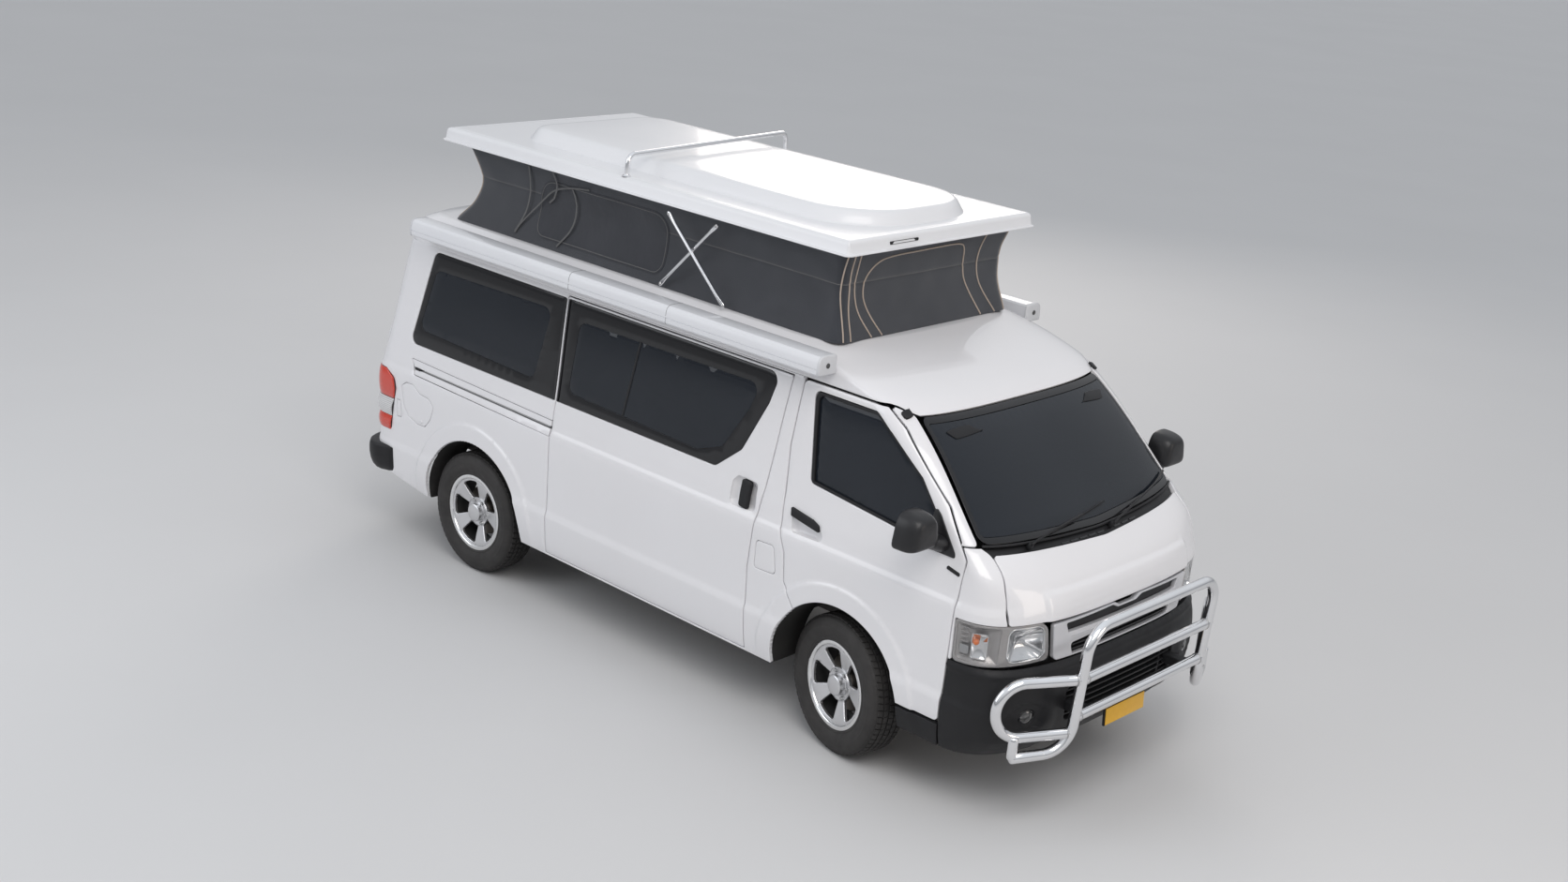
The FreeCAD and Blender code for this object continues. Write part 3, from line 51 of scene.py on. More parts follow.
# camera, floor and light
viewSizes = {"place": (6.43822, -7.10551, 4.22941), "lens": 44.7, "sensor": 36.0,
             "right": (0.724826, 0.683706, 0.084698), "up": (-0.2774, 0.177104, 0.94429),
             "back": (0.630616, -0.707941, 0.31803)}


# object of some data, linked to the scene
def linked(name, data):
    made = bpy.data.objects.new(name, data)
    bpy.context.collection.objects.link(made)
    return made


def makeCamera():
    camera = linked("camera", bpy.data.cameras.new("camera"))
    camera.data.lens = viewSizes["lens"]
    camera.data.sensor_width = viewSizes["sensor"]
    camera.data.clip_end = 100
    turn = Matrix((viewSizes["right"], viewSizes["up"], viewSizes["back"])).transposed().to_4x4()
    camera.matrix_world = Matrix.Translation(viewSizes["place"]) @ turn
    bpy.context.scene.camera = camera


makeCamera()

# shader nodes


class Wire:   # a shader socket that takes part in Python sums
    def __init__(self, nodes, socket):
        self.nodes, self.socket = nodes, socket

    def sum(self, operation, other):
        return self.nodes.node("ShaderNodeMath", {"operation": operation}, {0: self, 1: other})

    def __add__(self, other):
        return self.sum("ADD", other)

    def __mul__(self, other):
        return self.sum("MULTIPLY", other)


class Finish:   # one material and the nodes it is made of
    def __init__(self, name, values):
        self.material = bpy.data.materials.new(name)
        self.material.use_nodes = True
        self.tree = self.material.node_tree
        self.shader = next(n for n in self.tree.nodes if n.type == "BSDF_PRINCIPLED")
        for key, value in values.items():
            self.shader.inputs[key].default_value = value

    def node(self, kind, settings=None, values=None, out=0):
        made = self.tree.nodes.new(kind)
        for key, value in (settings or {}).items():
            setattr(made, key, value)
        for key, value in (values or {}).items():
            if isinstance(value, Wire):
                self.tree.links.new(value.socket, made.inputs[key])
            else:
                made.inputs[key].default_value = value
        return Wire(self, made.outputs[out])

    def place(self):
        return self.node("ShaderNodeTexCoord", out="Object")

    def noise(self, scale, detail=3.0, rough=0.55):
        return self.node("ShaderNodeTexNoise", None, {
            "Vector": self.place(), "Scale": scale, "Detail": detail, "Roughness": rough})

    def wave(self, axis, values):
        return self.node("ShaderNodeTexWave", {"bands_direction": axis},
                         {"Vector": self.place(), **values})

    def mix(self, fac, a, b):
        return self.node("ShaderNodeMix", {"data_type": "RGBA"}, {0: fac, 6: a, 7: b}, out=2)

    def feed(self, **links):
        for key, wire in links.items():
            self.tree.links.new(wire.socket, self.shader.inputs[key.replace("_", " ")])

    def bump(self, height, strength, distance):
        self.feed(Normal=self.node("ShaderNodeBump", values={
            "Strength": strength, "Distance": distance, "Height": height}))


finishForms = {  # name, fixed sockets, colour noise, both colours, roughness noise, bump
    "paint": ("bodyPaint", {"Roughness": 0.32, "Coat Weight": 1.0, "Coat Roughness": 0.04},
              (0.9, 4), (0.8, 0.79, 0.8), (0.86, 0.86, 0.88), (6, 4, 0.1, 0.27),
              (420, 2, 0.035, 0.0004)),
    "moulded": ("mouldedShell", {"Roughness": 0.38, "Coat Weight": 0.35, "Coat Roughness": 0.12},
                (1.4, 4), (0.76, 0.77, 0.79), (0.84, 0.84, 0.85), (9, 3, 0.14, 0.32),
                (160, 3, 0.1, 0.0006)),
    "grp": ("roofShell", {"Roughness": 0.34, "Coat Weight": 0.5, "Coat Roughness": 0.1},
            (1.6, 5), (0.77, 0.78, 0.8), (0.84, 0.845, 0.86), (7, 4, 0.16, 0.28),
            (180, 3, 0.06, 0.0006)),
    "awning": ("awningSection", {"Roughness": 0.35, "Coat Weight": 0.6, "Coat Roughness": 0.08},
               (2, 4), (0.74, 0.75, 0.78), (0.82, 0.83, 0.85), (12, 3, 0.12, 0.28), None),
    "awningCap": ("awningCap", {"Roughness": 0.5}, (9, 3), (0.6, 0.61, 0.63),
                  (0.72, 0.73, 0.75), None, None),
    "seam": ("seamShadow", {"Roughness": 0.6}, (8, 3), 0.1, 0.2, None, None),
    "blackPlastic": ("blackPlastic", {"Roughness": 0.5, "Specular IOR Level": 0.3}, (3, 3),
                     (0.009, 0.009, 0.01), (0.02, 0.02, 0.022), (14, 4, 0.22, 0.38),
                     (900, 2, 0.35, 0.0004)),
    "mirrorBlack": ("mirrorBlack", {"Roughness": 0.4, "Specular IOR Level": 0.4}, (5, 3),
                    (0.012, 0.012, 0.013), (0.022, 0.022, 0.024), (20, 3, 0.1, 0.3), None),
    "linerBlack": ("archLiner", {"Roughness": 0.8}, (12, 5), 0.01, (0.03, 0.028, 0.026), None,
                   (260, 3, 0.4, 0.0008)),
    "blackGloss": ("blackGlossSurround", {"Roughness": 0.08, "Coat Weight": 0.2,
                                          "Specular IOR Level": 0.35}, (2, 3),
                   (0.006, 0.006, 0.007), (0.013, 0.013, 0.015), (5, 3, 0.07, 0.05), None),
    "glass": ("tintedGlass", {"Roughness": 0.02, "Alpha": 0.92, "Specular IOR Level": 0.34},
              (0.7, 3), (0.01, 0.013, 0.018), (0.02, 0.025, 0.034), (2.5, 3, 0.03, 0.01),
              None),
    "clearLens": ("clearLens", {"Roughness": 0.03, "Alpha": 0.12, "Specular IOR Level": 0.7},
                  (8, 3), (0.16, 0.17, 0.18), (0.22, 0.23, 0.25), None, None),
    "amber": ("amberLens", {"Roughness": 0.12, "Coat Weight": 1.0}, (60, 3),
              (0.75, 0.13, 0.015), (0.9, 0.25, 0.03), None, None),
    "reflector": ("reflector", {"Metallic": 1.0, "Roughness": 0.12}, (20, 3), 0.72, 0.88,
                  (30, 3, 0.12, 0.05), None),
    "polished": ("polishedTube", {"Metallic": 1.0, "Roughness": 0.08}, (7, 3),
                 (0.74, 0.74, 0.75), (0.87, 0.87, 0.88), (26, 5, 0.12, 0.035),
                 (75, 2, 0.03, 0.0006)),
    "alloy": ("castAlloy", {"Metallic": 0.85, "Roughness": 0.3}, (5, 3), (0.64, 0.64, 0.65),
              (0.72, 0.72, 0.73), (9, 2, 0.1, 0.24), None),
    "rimLip": ("rimLip", {"Metallic": 1.0, "Roughness": 0.14}, (12, 3), 0.76, 0.86,
               (30, 3, 0.1, 0.08), None),
    "rimDark": ("rimBarrel", {"Metallic": 0.7, "Roughness": 0.45}, (14, 3), 0.055, 0.1, None,
                None),
    "discIron": ("discIron", {"Metallic": 0.9, "Roughness": 0.5}, (30, 5),
                 (0.1, 0.085, 0.075), (0.2, 0.18, 0.16), None, (90, 3, 0.25, 0.0008)),
    "rubber": ("tyreRubber", {"Roughness": 0.75}, (14, 5), (0.014, 0.013, 0.013),
               (0.042, 0.039, 0.037), (30, 3, 0.25, 0.55), (240, 4, 0.4, 0.0008)),
    "thread": ("seamThread", {"Roughness": 0.8}, (60, 3), 0.1, 0.16, None, None),
    "piping": ("piping", {"Roughness": 0.6}, (40, 3), (0.4, 0.33, 0.27), (0.52, 0.43, 0.36),
               None, None),
    "webbing": ("webbing", {"Roughness": 0.85}, (50, 3), 0.09, 0.15, None,
                (900, 3, 0.4, 0.0005)),
    "canvasDark": ("flapCloth", {"Roughness": 0.85, "Sheen Weight": 0.25}, (4, 5),
                   (0.02, 0.022, 0.028), (0.04, 0.043, 0.052), None, (9, 3, 0.5, 0.008)),
    "steel": ("plainSteel", {"Metallic": 1.0, "Roughness": 0.35}, (40, 3), 0.42, 0.56,
              (60, 3, 0.2, 0.25), None),
    "seat": ("seatCloth", {"Roughness": 0.9, "Sheen Weight": 0.4}, (260, 2),
             (0.055, 0.055, 0.062), (0.13, 0.13, 0.14), None, (260, 2, 0.5, 0.001)),
    "trim": ("cabinTrim", {"Roughness": 0.6}, (5, 3), 0.055, 0.085, None,
             (600, 3, 0.3, 0.0005)),
    "under": ("underbody", {"Roughness": 0.65}, (10, 6, 0.65), (0.018, 0.018, 0.019),
              (0.06, 0.052, 0.045), (24, 3, 0.3, 0.5), (130, 4, 0.4, 0.001)),
    "laminate": ("worktop", {"Roughness": 0.3}, (120, 4), (0.42, 0.41, 0.39),
                 (0.66, 0.65, 0.62), None, None),
    "benchCloth": ("benchCloth", {"Roughness": 0.9, "Sheen Weight": 0.4}, (320, 2),
                   (0.16, 0.17, 0.2), (0.3, 0.31, 0.35), None, (320, 2, 0.5, 0.001)),
    "exhaustSteel": ("exhaustSteel", {"Metallic": 0.9, "Roughness": 0.5}, (9, 5),
                     (0.16, 0.12, 0.09), (0.38, 0.34, 0.3), None, None),
    "lampGrey": ("lampBezel", {"Metallic": 0.5, "Roughness": 0.3}, (16, 3),
                 (0.44, 0.42, 0.41), (0.55, 0.53, 0.52), None, None),
    "smokeLens": ("smokeLens", {"Roughness": 0.05, "Coat Weight": 1.0}, (30, 3), 0.03, 0.09,
                  None, None),
    "grilleSilver": ("grilleSilver", {"Metallic": 0.35, "Roughness": 0.3, "Coat Weight": 0.8},
                     (5, 3), (0.62, 0.62, 0.64), (0.72, 0.72, 0.74), None, None),
    "plate": ("yellowPlate", {"Roughness": 0.35}, (40, 3), (0.8, 0.42, 0.015),
              (0.88, 0.5, 0.03), None, None),
    "floor": ("studioFloor", {"Roughness": 0.7}, (0.5, 3), 0.66, 0.7, None, None)}
waveForms = {  # ribbed lenses and wood: name, fixed sockets, wave sockets, both colours, bump
    "red": ("redLens", {"Roughness": 0.1, "Coat Weight": 1.0, "Coat Roughness": 0.03},
            {"Scale": 34.0, "Distortion": 0.0}, (0.5, 0.02, 0.008), (0.78, 0.055, 0.016), 0),
    "rearWhite": ("rearLensWhite", {"Roughness": 0.12, "Coat Weight": 1.0},
                  {"Scale": 30.0, "Distortion": 0.0}, 0.5, 0.78, 0),
    "wood": ("cabinetWood", {"Roughness": 0.45, "Coat Weight": 0.2},
             {"Scale": 6.0, "Distortion": 9.0, "Detail": 4.0}, (0.36, 0.22, 0.11),
             (0.5, 0.33, 0.18), 0.1)}


def shade(value):
    return (*value, 1) if isinstance(value, tuple) else (value, value, value, 1)


def makeFinishes():
    made = {}
    for key, (name, fixed, grain, low, high, rough, relief) in finishForms.items():
        one = made[key] = Finish(name, fixed)
        one.feed(Base_Color=one.mix(one.noise(*grain), shade(low), shade(high)))
        if rough:
            one.feed(Roughness=one.noise(*rough[:2]) * rough[2] + rough[3])
        if relief:
            one.bump(one.noise(*relief[:2]), *relief[2:])
    for key, (name, fixed, wave, low, high, relief) in waveForms.items():
        one = made[key] = Finish(name, fixed)
        ribs = one.wave("Z", wave)
        one.feed(Base_Color=one.mix(ribs, shade(low), shade(high)))
        if relief:
            one.bump(ribs, relief, 0.0006)
    cloth = made["canvas"] = Finish("canvasCloth", {"Roughness": 0.9, "Sheen Weight": 0.35,
                                                    "Sheen Roughness": 0.5})
    weave = [cloth.wave(axis, {"Scale": 230.0, "Distortion": 0.4}) for axis in "ZXY"]
    patch = cloth.noise(5.0, 5.0, 0.6)
    cloth.feed(Base_Color=cloth.mix(patch, (0.024, 0.027, 0.034, 1), (0.046, 0.05, 0.06, 1)))
    cloth.feed(Roughness=cloth.noise(12.0) * 0.15 + 0.8)
    cloth.bump(weave[0] * 0.4 + weave[1] * 0.3 + weave[2] * 0.3 + patch * 0.8, 0.35, 0.0012)
    return {key: one.material for key, one in made.items()}


finish = makeFinishes()
print("stage: materials made")

studioForm = {"worldStrength": 0.55, "floorSize": 300.0, "aim": (0, 0, 1)}
studioLamps = {  # place, power, size, colour
    "keyLamp": ((5.5, -4.0, 7.5), 270.0, 5.0, (1.0, 0.96, 0.93)),
    "fillLamp": ((-4.5, -7.5, 5.0), 170.0, 6.0, (0.92, 0.95, 1.0)),
    "rimLamp": ((-5.5, 7.5, 5.5), 150.0, 4.0, (1.0, 0.92, 0.86)),
    "frontLamp": ((9.5, 2.0, 2.6), 60.0, 3.0, (1.0, 0.88, 0.78))}
skyStops = [(0.0, (0.34, 0.33, 0.34, 1)), (0.16, (0.62, 0.6, 0.62, 1)),
            (0.45, (0.95, 0.97, 1.0, 1)), (1.0, (1.15, 1.2, 1.28, 1))]
backdropStops = [(0.0, (0.27, 0.28, 0.3, 1)), (0.12, (0.42, 0.43, 0.45, 1)),
                 (0.45, (0.72, 0.74, 0.77, 1)), (1.0, (0.84, 0.88, 0.94, 1))]


def makeStudio():
    world = bpy.data.worlds.new("studio")
    bpy.context.scene.world = world
    world.use_nodes = True
    nodes, links = world.node_tree.nodes, world.node_tree.links
    nodes.clear()
    out, mix = nodes.new("ShaderNodeOutputWorld"), nodes.new("ShaderNodeMixShader")
    spot, parts = nodes.new("ShaderNodeTexCoord"), nodes.new("ShaderNodeSeparateXYZ")
    links.new(spot.outputs["Generated"], parts.inputs[0])
    stops = (skyStops, backdropStops)
    for i, strength in enumerate((studioForm["worldStrength"], 1.0)):
        ramp, shade = nodes.new("ShaderNodeValToRGB"), nodes.new("ShaderNodeBackground")
        for k, (place, colour) in enumerate(stops[i]):
            stop = ramp.color_ramp.elements[k] if k < 2 else ramp.color_ramp.elements.new(place)
            stop.position, stop.color = place, colour
        links.new(parts.outputs["Z"], ramp.inputs[0])
        links.new(ramp.outputs[0], shade.inputs["Color"])
        shade.inputs["Strength"].default_value = strength
        links.new(shade.outputs[0], mix.inputs[1 + i])
    path, seen = nodes.new("ShaderNodeLightPath"), None   # these rays see the backdrop
    for ray in ("Is Camera Ray", "Is Glossy Ray", "Is Transmission Ray"):
        both = nodes.new("ShaderNodeMath")
        both.operation, both.use_clamp = "ADD", True
        both.inputs[0].default_value = both.inputs[1].default_value = 0.0
        links.new(path.outputs[ray], both.inputs[0])
        if seen:
            links.new(seen, both.inputs[1])
        seen = both.outputs[0]
    links.new(seen, mix.inputs[0])
    links.new(mix.outputs[0], out.inputs[0])
    for name, (place, power, size, colour) in studioLamps.items():
        light = bpy.data.lights.new(name, "AREA")
        light.energy, light.size, light.color = power, size, colour
        holder = linked(name, light)
        holder.location = place
        aim = Vector(studioForm["aim"]) - Vector(place)
        holder.rotation_euler = aim.to_track_quat("-Z", "Y").to_euler()
    size = studioForm["floorSize"]
    mesh = bpy.data.meshes.new("floor")
    mesh.from_pydata([(-size, -size, 0), (size, -size, 0), (size, size, 0), (-size, size, 0)],
                     [], [(0, 1, 2, 3)])
    floor = linked("floor", mesh)
    floor.data.materials.append(finish["floor"])
    bpy.context.scene.view_settings.view_transform = "Standard"


makeStudio()

# body form: levels of height, front reach, front corner, tail reach, and a finer side profile
bodyForm = {
    "levels": [(0.311, 2.199, 0.345, -2.335), (0.536, 2.225, 0.345, -2.335),
               (0.738, 2.24, 0.345, -2.335), (0.93, 2.24, 0.345, -2.335),
               (0.985, 2.231, 0.345, -2.335), (1.07, 2.187, 0.2775, -2.318),
               (1.149, 2.119, 0.21, -2.302), (1.215, 2.044, 0.21, -2.289),
               (1.69, 1.515, 0.21, -2.194), (1.718, 1.465, 0.21, -2.188),
               (1.761, 1.351, 0.239, -2.185), (1.8, 1.228, 0.27, -2.174),
               (1.833, 1.109, 0.3, -2.146), (1.862, 0.99, 0.33, -2.088)],
    "sides": [(0.25, 0.812), (0.311, 0.828), (0.36, 0.839), (0.44, 0.848), (0.5, 0.8525),
              (0.53, 0.854), (0.55, 0.849), (0.564, 0.845), (0.62, 0.8447),
              (0.78, 0.8475), (0.93, 0.85), (0.965, 0.8495), (0.99, 0.843),
              (1.012, 0.835), (1.045, 0.831), (1.09, 0.827), (1.149, 0.818),
              (1.215, 0.81), (1.69, 0.764), (1.718, 0.76), (1.761, 0.7574),
              (1.8, 0.7477), (1.833, 0.723), (1.862, 0.672)],
    "tailCorner": 0.19, "power": 3.0}
frontAxle, rearAxle = 1.299, -1.388
bothSides = ((-1, "right"), (1, "left"))
arches = [(1.279, 0.352, 0.392), (-1.36, 0.345, 0.405)]


# one column of a table of levels as a smooth curve of height that never overshoots
def smoothTable(rows, column):
    x = np.array([row[0] for row in rows], float)
    y = np.array([row[column] for row in rows], float)
    h, d = np.diff(x), np.diff(y) / np.diff(x)
    slope = np.concatenate([[d[0]], np.zeros(len(x) - 2), [d[-1]]])
    for i in range(1, len(x) - 1):
        if d[i - 1] * d[i] > 0:
            a, b = 2 * h[i] + h[i - 1], h[i] + 2 * h[i - 1]
            slope[i] = (a + b) / (a / d[i - 1] + b / d[i])

    def curve(z):
        z = np.clip(np.asarray(z, float), x[0], x[-1])
        i = np.clip(np.searchsorted(x, z) - 1, 0, len(h) - 1)
        t, s = (z - x[i]) / h[i], h[i]
        return ((1 + 2 * t) * (1 - t) ** 2 * y[i] + t * (1 - t) ** 2 * s * slope[i]
                + t * t * (3 - 2 * t) * y[i + 1] + t * t * (t - 1) * s * slope[i + 1])
    return curve


frontReach, frontCorner, tailReach = (smoothTable(bodyForm["levels"], i) for i in (1, 2, 3))
halfWidth = smoothTable(bodyForm["sides"], 1)


# distance along a rounded corner from the middle line, against its turn from 0 to 90 degrees
def cornerArc(reach, depth):
    turn = np.linspace(0, 1, 2001) ** 2
    turn = np.concatenate([turn / 2, 1 - turn[::-1][1:] / 2]) * math.pi / 2
    x = depth * np.cos(turn) ** (2 / bodyForm["power"])
    y = reach * np.sin(turn) ** (2 / bodyForm["power"])
    way = np.concatenate([[0], np.cumsum(np.hypot(np.diff(x), np.diff(y)))])
    return turn, way


noseTurn, noseWay = cornerArc(0.85, 0.345)
tailTurn, tailWay = cornerArc(0.85, bodyForm["tailCorner"])
ends = {"nose": (noseTurn, noseWay, 1), "tail": (tailTurn, tailWay, -1)}


# where the corner starts, how deep it is and which way it points
def endNumbers(end, z):
    if end == "nose":
        corner = frontCorner(z)
        return frontReach(z) - corner, corner
    return tailReach(z) + bodyForm["tailCorner"], np.full(np.shape(z), bodyForm["tailCorner"])


# body surface from a place along its outline: u from the middle line, left is positive
def flatPoint(end, u, z):
    turn, way, sign = ends[end]
    base, corner = endNumbers(end, z)
    a = np.interp(np.abs(u), way, turn)
    c = np.cos(a) ** (2 / bodyForm["power"])
    s = np.sin(a) ** (2 / bodyForm["power"])
    past = np.maximum(np.abs(u) - way[-1], 0)
    x = base + sign * (corner * np.where(past > 0, 0, c) - past)
    y = np.sign(u) * halfWidth(z) * np.where(past > 0, 1, s)
    return np.stack([x, y, np.broadcast_to(z, x.shape)], -1)


# place along the outline of a point seen from the side
def sideU(end, x, z, side):
    turn, way, sign = ends[end]
    base, corner = endNumbers(end, z)
    t = np.clip(sign * (x - base) / corner, 0, 1)
    a = np.arccos(np.clip(t ** (bodyForm["power"] / 2), 0, 1))
    return side * np.where(t > 0, np.interp(a, turn, way), way[-1] - sign * (x - base))


# place along the outline of a point seen from the front or from behind
def frontU(end, y, z):
    turn, way = ends[end][:2]
    share = np.clip(np.abs(y) / halfWidth(z), 0, 1)
    return np.sign(y) * np.interp(np.arcsin(share ** (bodyForm["power"] / 2)), turn, way)


def step(value, low, high):
    t = np.clip((value - low) / (high - low), 0, 1)
    return t * t * (3 - 2 * t)


# how far pressed details stand out of the plain body
def reliefOf(p):
    x, z = p[..., 0], p[..., 2]
    out = np.zeros(x.shape)
    lowPart = step(z, 0.93, 0.86)
    for ax, az, r in arches:
        away = np.hypot(x - ax, z - az)
        out = out + 0.01 * step(away, r + 0.102, r + 0.086) * step(z, 0.3, 0.46) * (
            0.35 + 0.65 * lowPart)
    middle = step(x, 1.6, 1.95) * step(np.abs(p[..., 1]), 0.565, 0.535)
    return out + 0.011 * middle * step(z, 1.062, 1.036)


nudge = 0.003


# place and outward direction of the body surface, with its pressed details
def bodyPoint(end, u, z, sink=0.0):
    du = flatPoint(end, u + nudge, z) - flatPoint(end, u - nudge, z)
    dz = flatPoint(end, u, z + nudge) - flatPoint(end, u, z - nudge)
    n = np.cross(du, dz) * ends[end][2]
    n /= np.linalg.norm(n, axis=-1, keepdims=True)
    p = flatPoint(end, u, z)
    return p + n * (reliefOf(p) - sink)[..., None], n


# one point of the body surface
def bodySpot(end, u, z, sink=0.0):
    return bodyPoint(end, np.array([u]), np.array([z]), sink)[0][0]


# closed outline through corner points with rounded corners, as a dense list of points
def roundLoop(corners, radius=0.03, spacing=0.012):
    points = [np.array(c[:2], float) for c in corners]
    radii = [c[2] if len(c) > 2 else radius for c in corners]
    apart = [i for i in range(len(points)) if np.linalg.norm(points[i] - points[i - 1]) > 1e-5]
    points, radii = [points[i] for i in apart], [radii[i] for i in apart]
    loop = []
    for i, here in enumerate(points):
        before, after = points[i - 1], points[(i + 1) % len(points)]
        a, b = before - here, after - here
        la, lb = np.linalg.norm(a), np.linalg.norm(b)
        a, b = a / la, b / lb
        turn = math.acos(max(-1, min(1, float(a @ b))))
        if math.pi - turn < 0.02:
            loop.append(here)
            continue
        reach = min(radii[i] / math.tan(turn / 2), 0.49 * la, 0.49 * lb)
        r = reach * math.tan(turn / 2)
        middle = here + (a + b) / np.linalg.norm(a + b) * r / math.sin(turn / 2)
        first, last = here + a * reach, here + b * reach
        a0 = math.atan2(*(first - middle)[::-1])
        sweep = (math.atan2(*(last - middle)[::-1]) - a0 + math.pi) % (2 * math.pi) - math.pi
        count = max(2, int(abs(sweep) / 0.16))
        for k in range(count + 1):
            angle = a0 + sweep * k / count
            loop.append(middle + r * np.array([math.cos(angle), math.sin(angle)]))
    dense = []
    for i, here in enumerate(loop):
        after = loop[(i + 1) % len(loop)]
        count = max(1, int(np.linalg.norm(after - here) / spacing))
        dense += [here + (after - here) * k / count for k in range(count)]
    return np.array(dense)


# loop moved outward in its plane by an amount, or inward where it is negative
def moveLoop(loop, amount):
    ahead, behind = np.roll(loop, -1, 0), np.roll(loop, 1, 0)
    along = ahead - behind
    area = np.sum(loop[:, 0] * ahead[:, 1] - ahead[:, 0] * loop[:, 1])
    out = np.stack([along[:, 1], -along[:, 0]], 1) * np.sign(area)
    out /= np.maximum(np.linalg.norm(out, axis=1, keepdims=True), 1e-9)
    return loop + out * amount


# which points lie inside a closed loop
def inside(points, loop):
    x, y = points[:, 0][:, None], points[:, 1][:, None]
    a, b = loop, np.roll(loop, -1, 0)
    crosses = (a[:, 1] > y) != (b[:, 1] > y)
    rise = np.where(b[:, 1] == a[:, 1], 1e-12, b[:, 1] - a[:, 1])
    at = a[:, 0] + (y - a[:, 1]) / rise * (b[:, 0] - a[:, 0])
    return (crosses & (x < at)).sum(1) % 2 == 1


# object of a mesh with outward faces, smooth except at sharp edges
def finishMesh(name, mesh, key, angle=40):
    work = bmesh.new()
    work.from_mesh(mesh)
    bmesh.ops.recalc_face_normals(work, faces=work.faces)
    for face in work.faces:
        face.smooth = True
    work.to_mesh(mesh)
    work.free()
    mesh.set_sharp_from_angle(angle=math.radians(angle))
    mesh.materials.append(finish[key])
    return linked(name, mesh)


def placeOn(made, body, *replaced, slot=None):
    if replaced:
        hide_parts(*replaced)
    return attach(made, body)


panelForm = {"lip": 0.003, "depth": 0.018, "grid": 0.032, "lipTurns": (30, 60, 90),
             "extraGap": 0.008, "rimGap": 0.006}


# pressed sheet with rounded rims: outlines in the surface's own plane, holes left open
def panel(name, outer, holes, surface, key, rows=(), extra=None, lip=None, depth=None,
          grid=None):
    lip = panelForm["lip"] if lip is None else lip
    depth = depth or panelForm["depth"]
    grid = grid or panelForm["grid"]
    loops = [moveLoop(outer, -lip)] + [moveLoop(hole, lip) for hole in holes]
    low, high = loops[0].min(0), loops[0].max(0)
    zs = list(np.arange(low[1], high[1], grid)) + [z for z in rows if low[1] < z < high[1]]
    zs = np.unique(np.round(zs, 4))
    gu, gz = np.meshgrid(np.arange(low[0], high[0], grid), zs)
    spots = np.stack([gu.ravel(), gz.ravel()], 1)
    if extra is not None:
        away = np.sqrt(((spots[:, None] - extra[None]) ** 2).sum(2).min(1))
        spots = np.concatenate([spots[away > panelForm["extraGap"]], extra])
    keep = inside(spots, loops[0])
    for hole in loops[1:]:
        keep &= ~inside(spots, hole)
    spots = spots[keep]
    rim = np.concatenate(loops)
    if len(spots):
        away = np.sqrt(((spots[:, None] - rim[None]) ** 2).sum(2).min(1))
        spots = spots[away > panelForm["rimGap"]]
    edges, start = [], 0
    for loop in loops:
        count = len(loop)
        edges += [(start + i, start + (i + 1) % count) for i in range(count)]
        start += count
    flat = np.concatenate([rim, spots])
    places, _, faces, origins, _, _ = delaunay_2d_cdt([Vector(p) for p in flat], edges, [], 0,
                                                      1e-7)
    places = np.array([tuple(p) for p in places])
    faces = np.array([f for f in faces if len(f) == 3])
    middle = places[faces].mean(1)
    keep = inside(middle, loops[0])
    for hole in loops[1:]:
        keep &= ~inside(middle, hole)
    faces = faces[keep]
    where = {}
    for i, sources in enumerate(origins):
        for source in sources:
            where[source] = i
    p, n = surface(places[:, 0], places[:, 1])
    count = len(p)
    verts = [p, p - n * depth]
    quads = []
    base, start = 2 * count, 0
    for k, loop in enumerate(loops):
        out2 = moveLoop(loop, nudge if k == 0 else -nudge)
        index = [where[start + i] for i in range(len(loop))]
        start += len(loop)
        q, qn = p[index], n[index]
        out = surface(out2[:, 0], out2[:, 1])[0] - surface(loop[:, 0], loop[:, 1])[0]
        out -= qn * (out * qn).sum(1, keepdims=True)
        out /= np.maximum(np.linalg.norm(out, axis=1, keepdims=True), 1e-9)
        rings = [index]
        for turn in panelForm["lipTurns"]:
            a = math.radians(turn)
            verts.append(q + out * lip * math.sin(a) - qn * lip * (1 - math.cos(a)))
            rings.append([base + i for i in range(len(loop))])
            base += len(loop)
        verts.append(q + out * lip - qn * depth)
        rings.append([base + i for i in range(len(loop))])
        base += len(loop)
        rings.append([count + i for i in index])
        for first, second in zip(rings, rings[1:]):
            for i in range(len(loop)):
                j = (i + 1) % len(loop)
                quads.append((first[i], first[j], second[j], second[i]))
    used = list(map(tuple, faces.tolist()))
    back = [(c + count, b + count, a + count) for a, b, c in used]
    mesh = bpy.data.meshes.new(name)
    mesh.from_pydata(np.concatenate(verts).tolist(), [], used + back + quads)
    work = bmesh.new()
    work.from_mesh(mesh)
    loose = [v for v in work.verts if not v.link_faces]
    bmesh.ops.delete(work, geom=loose, context="VERTS")
    work.to_mesh(mesh)
    work.free()
    return finishMesh(name, mesh, key)


# panel of one material set on a CAD body
def fitted(name, outer, holes, surface, key, body, slot, *replaced, **settings):
    made = panel(name, outer, holes, surface, key, **settings)
    return placeOn(made, body, *replaced, slot=slot)


def onBody(end, sink=0.0):
    return lambda u, z: bodyPoint(end, u, z, sink)


# outline seen from the side, laid into the surface's plane
def sideLoop(end, side, corners, radius=0.03, spacing=0.012):
    loop = roundLoop(corners, radius, spacing)
    return np.stack([sideU(end, loop[:, 0], loop[:, 1], side), loop[:, 1]], 1)


# outline seen from the front, laid into the surface's plane
def frontLoop(end, corners, radius=0.03, spacing=0.012):
    loop = roundLoop(corners, radius, spacing)
    return np.stack([frontU(end, loop[:, 0], loop[:, 1]), loop[:, 1]], 1)


# corners of an upright oblong
def oblong(x0, x1, z0, z1, *radius):
    return [(x0, z0, *radius), (x1, z0, *radius), (x1, z1, *radius), (x0, z1, *radius)]


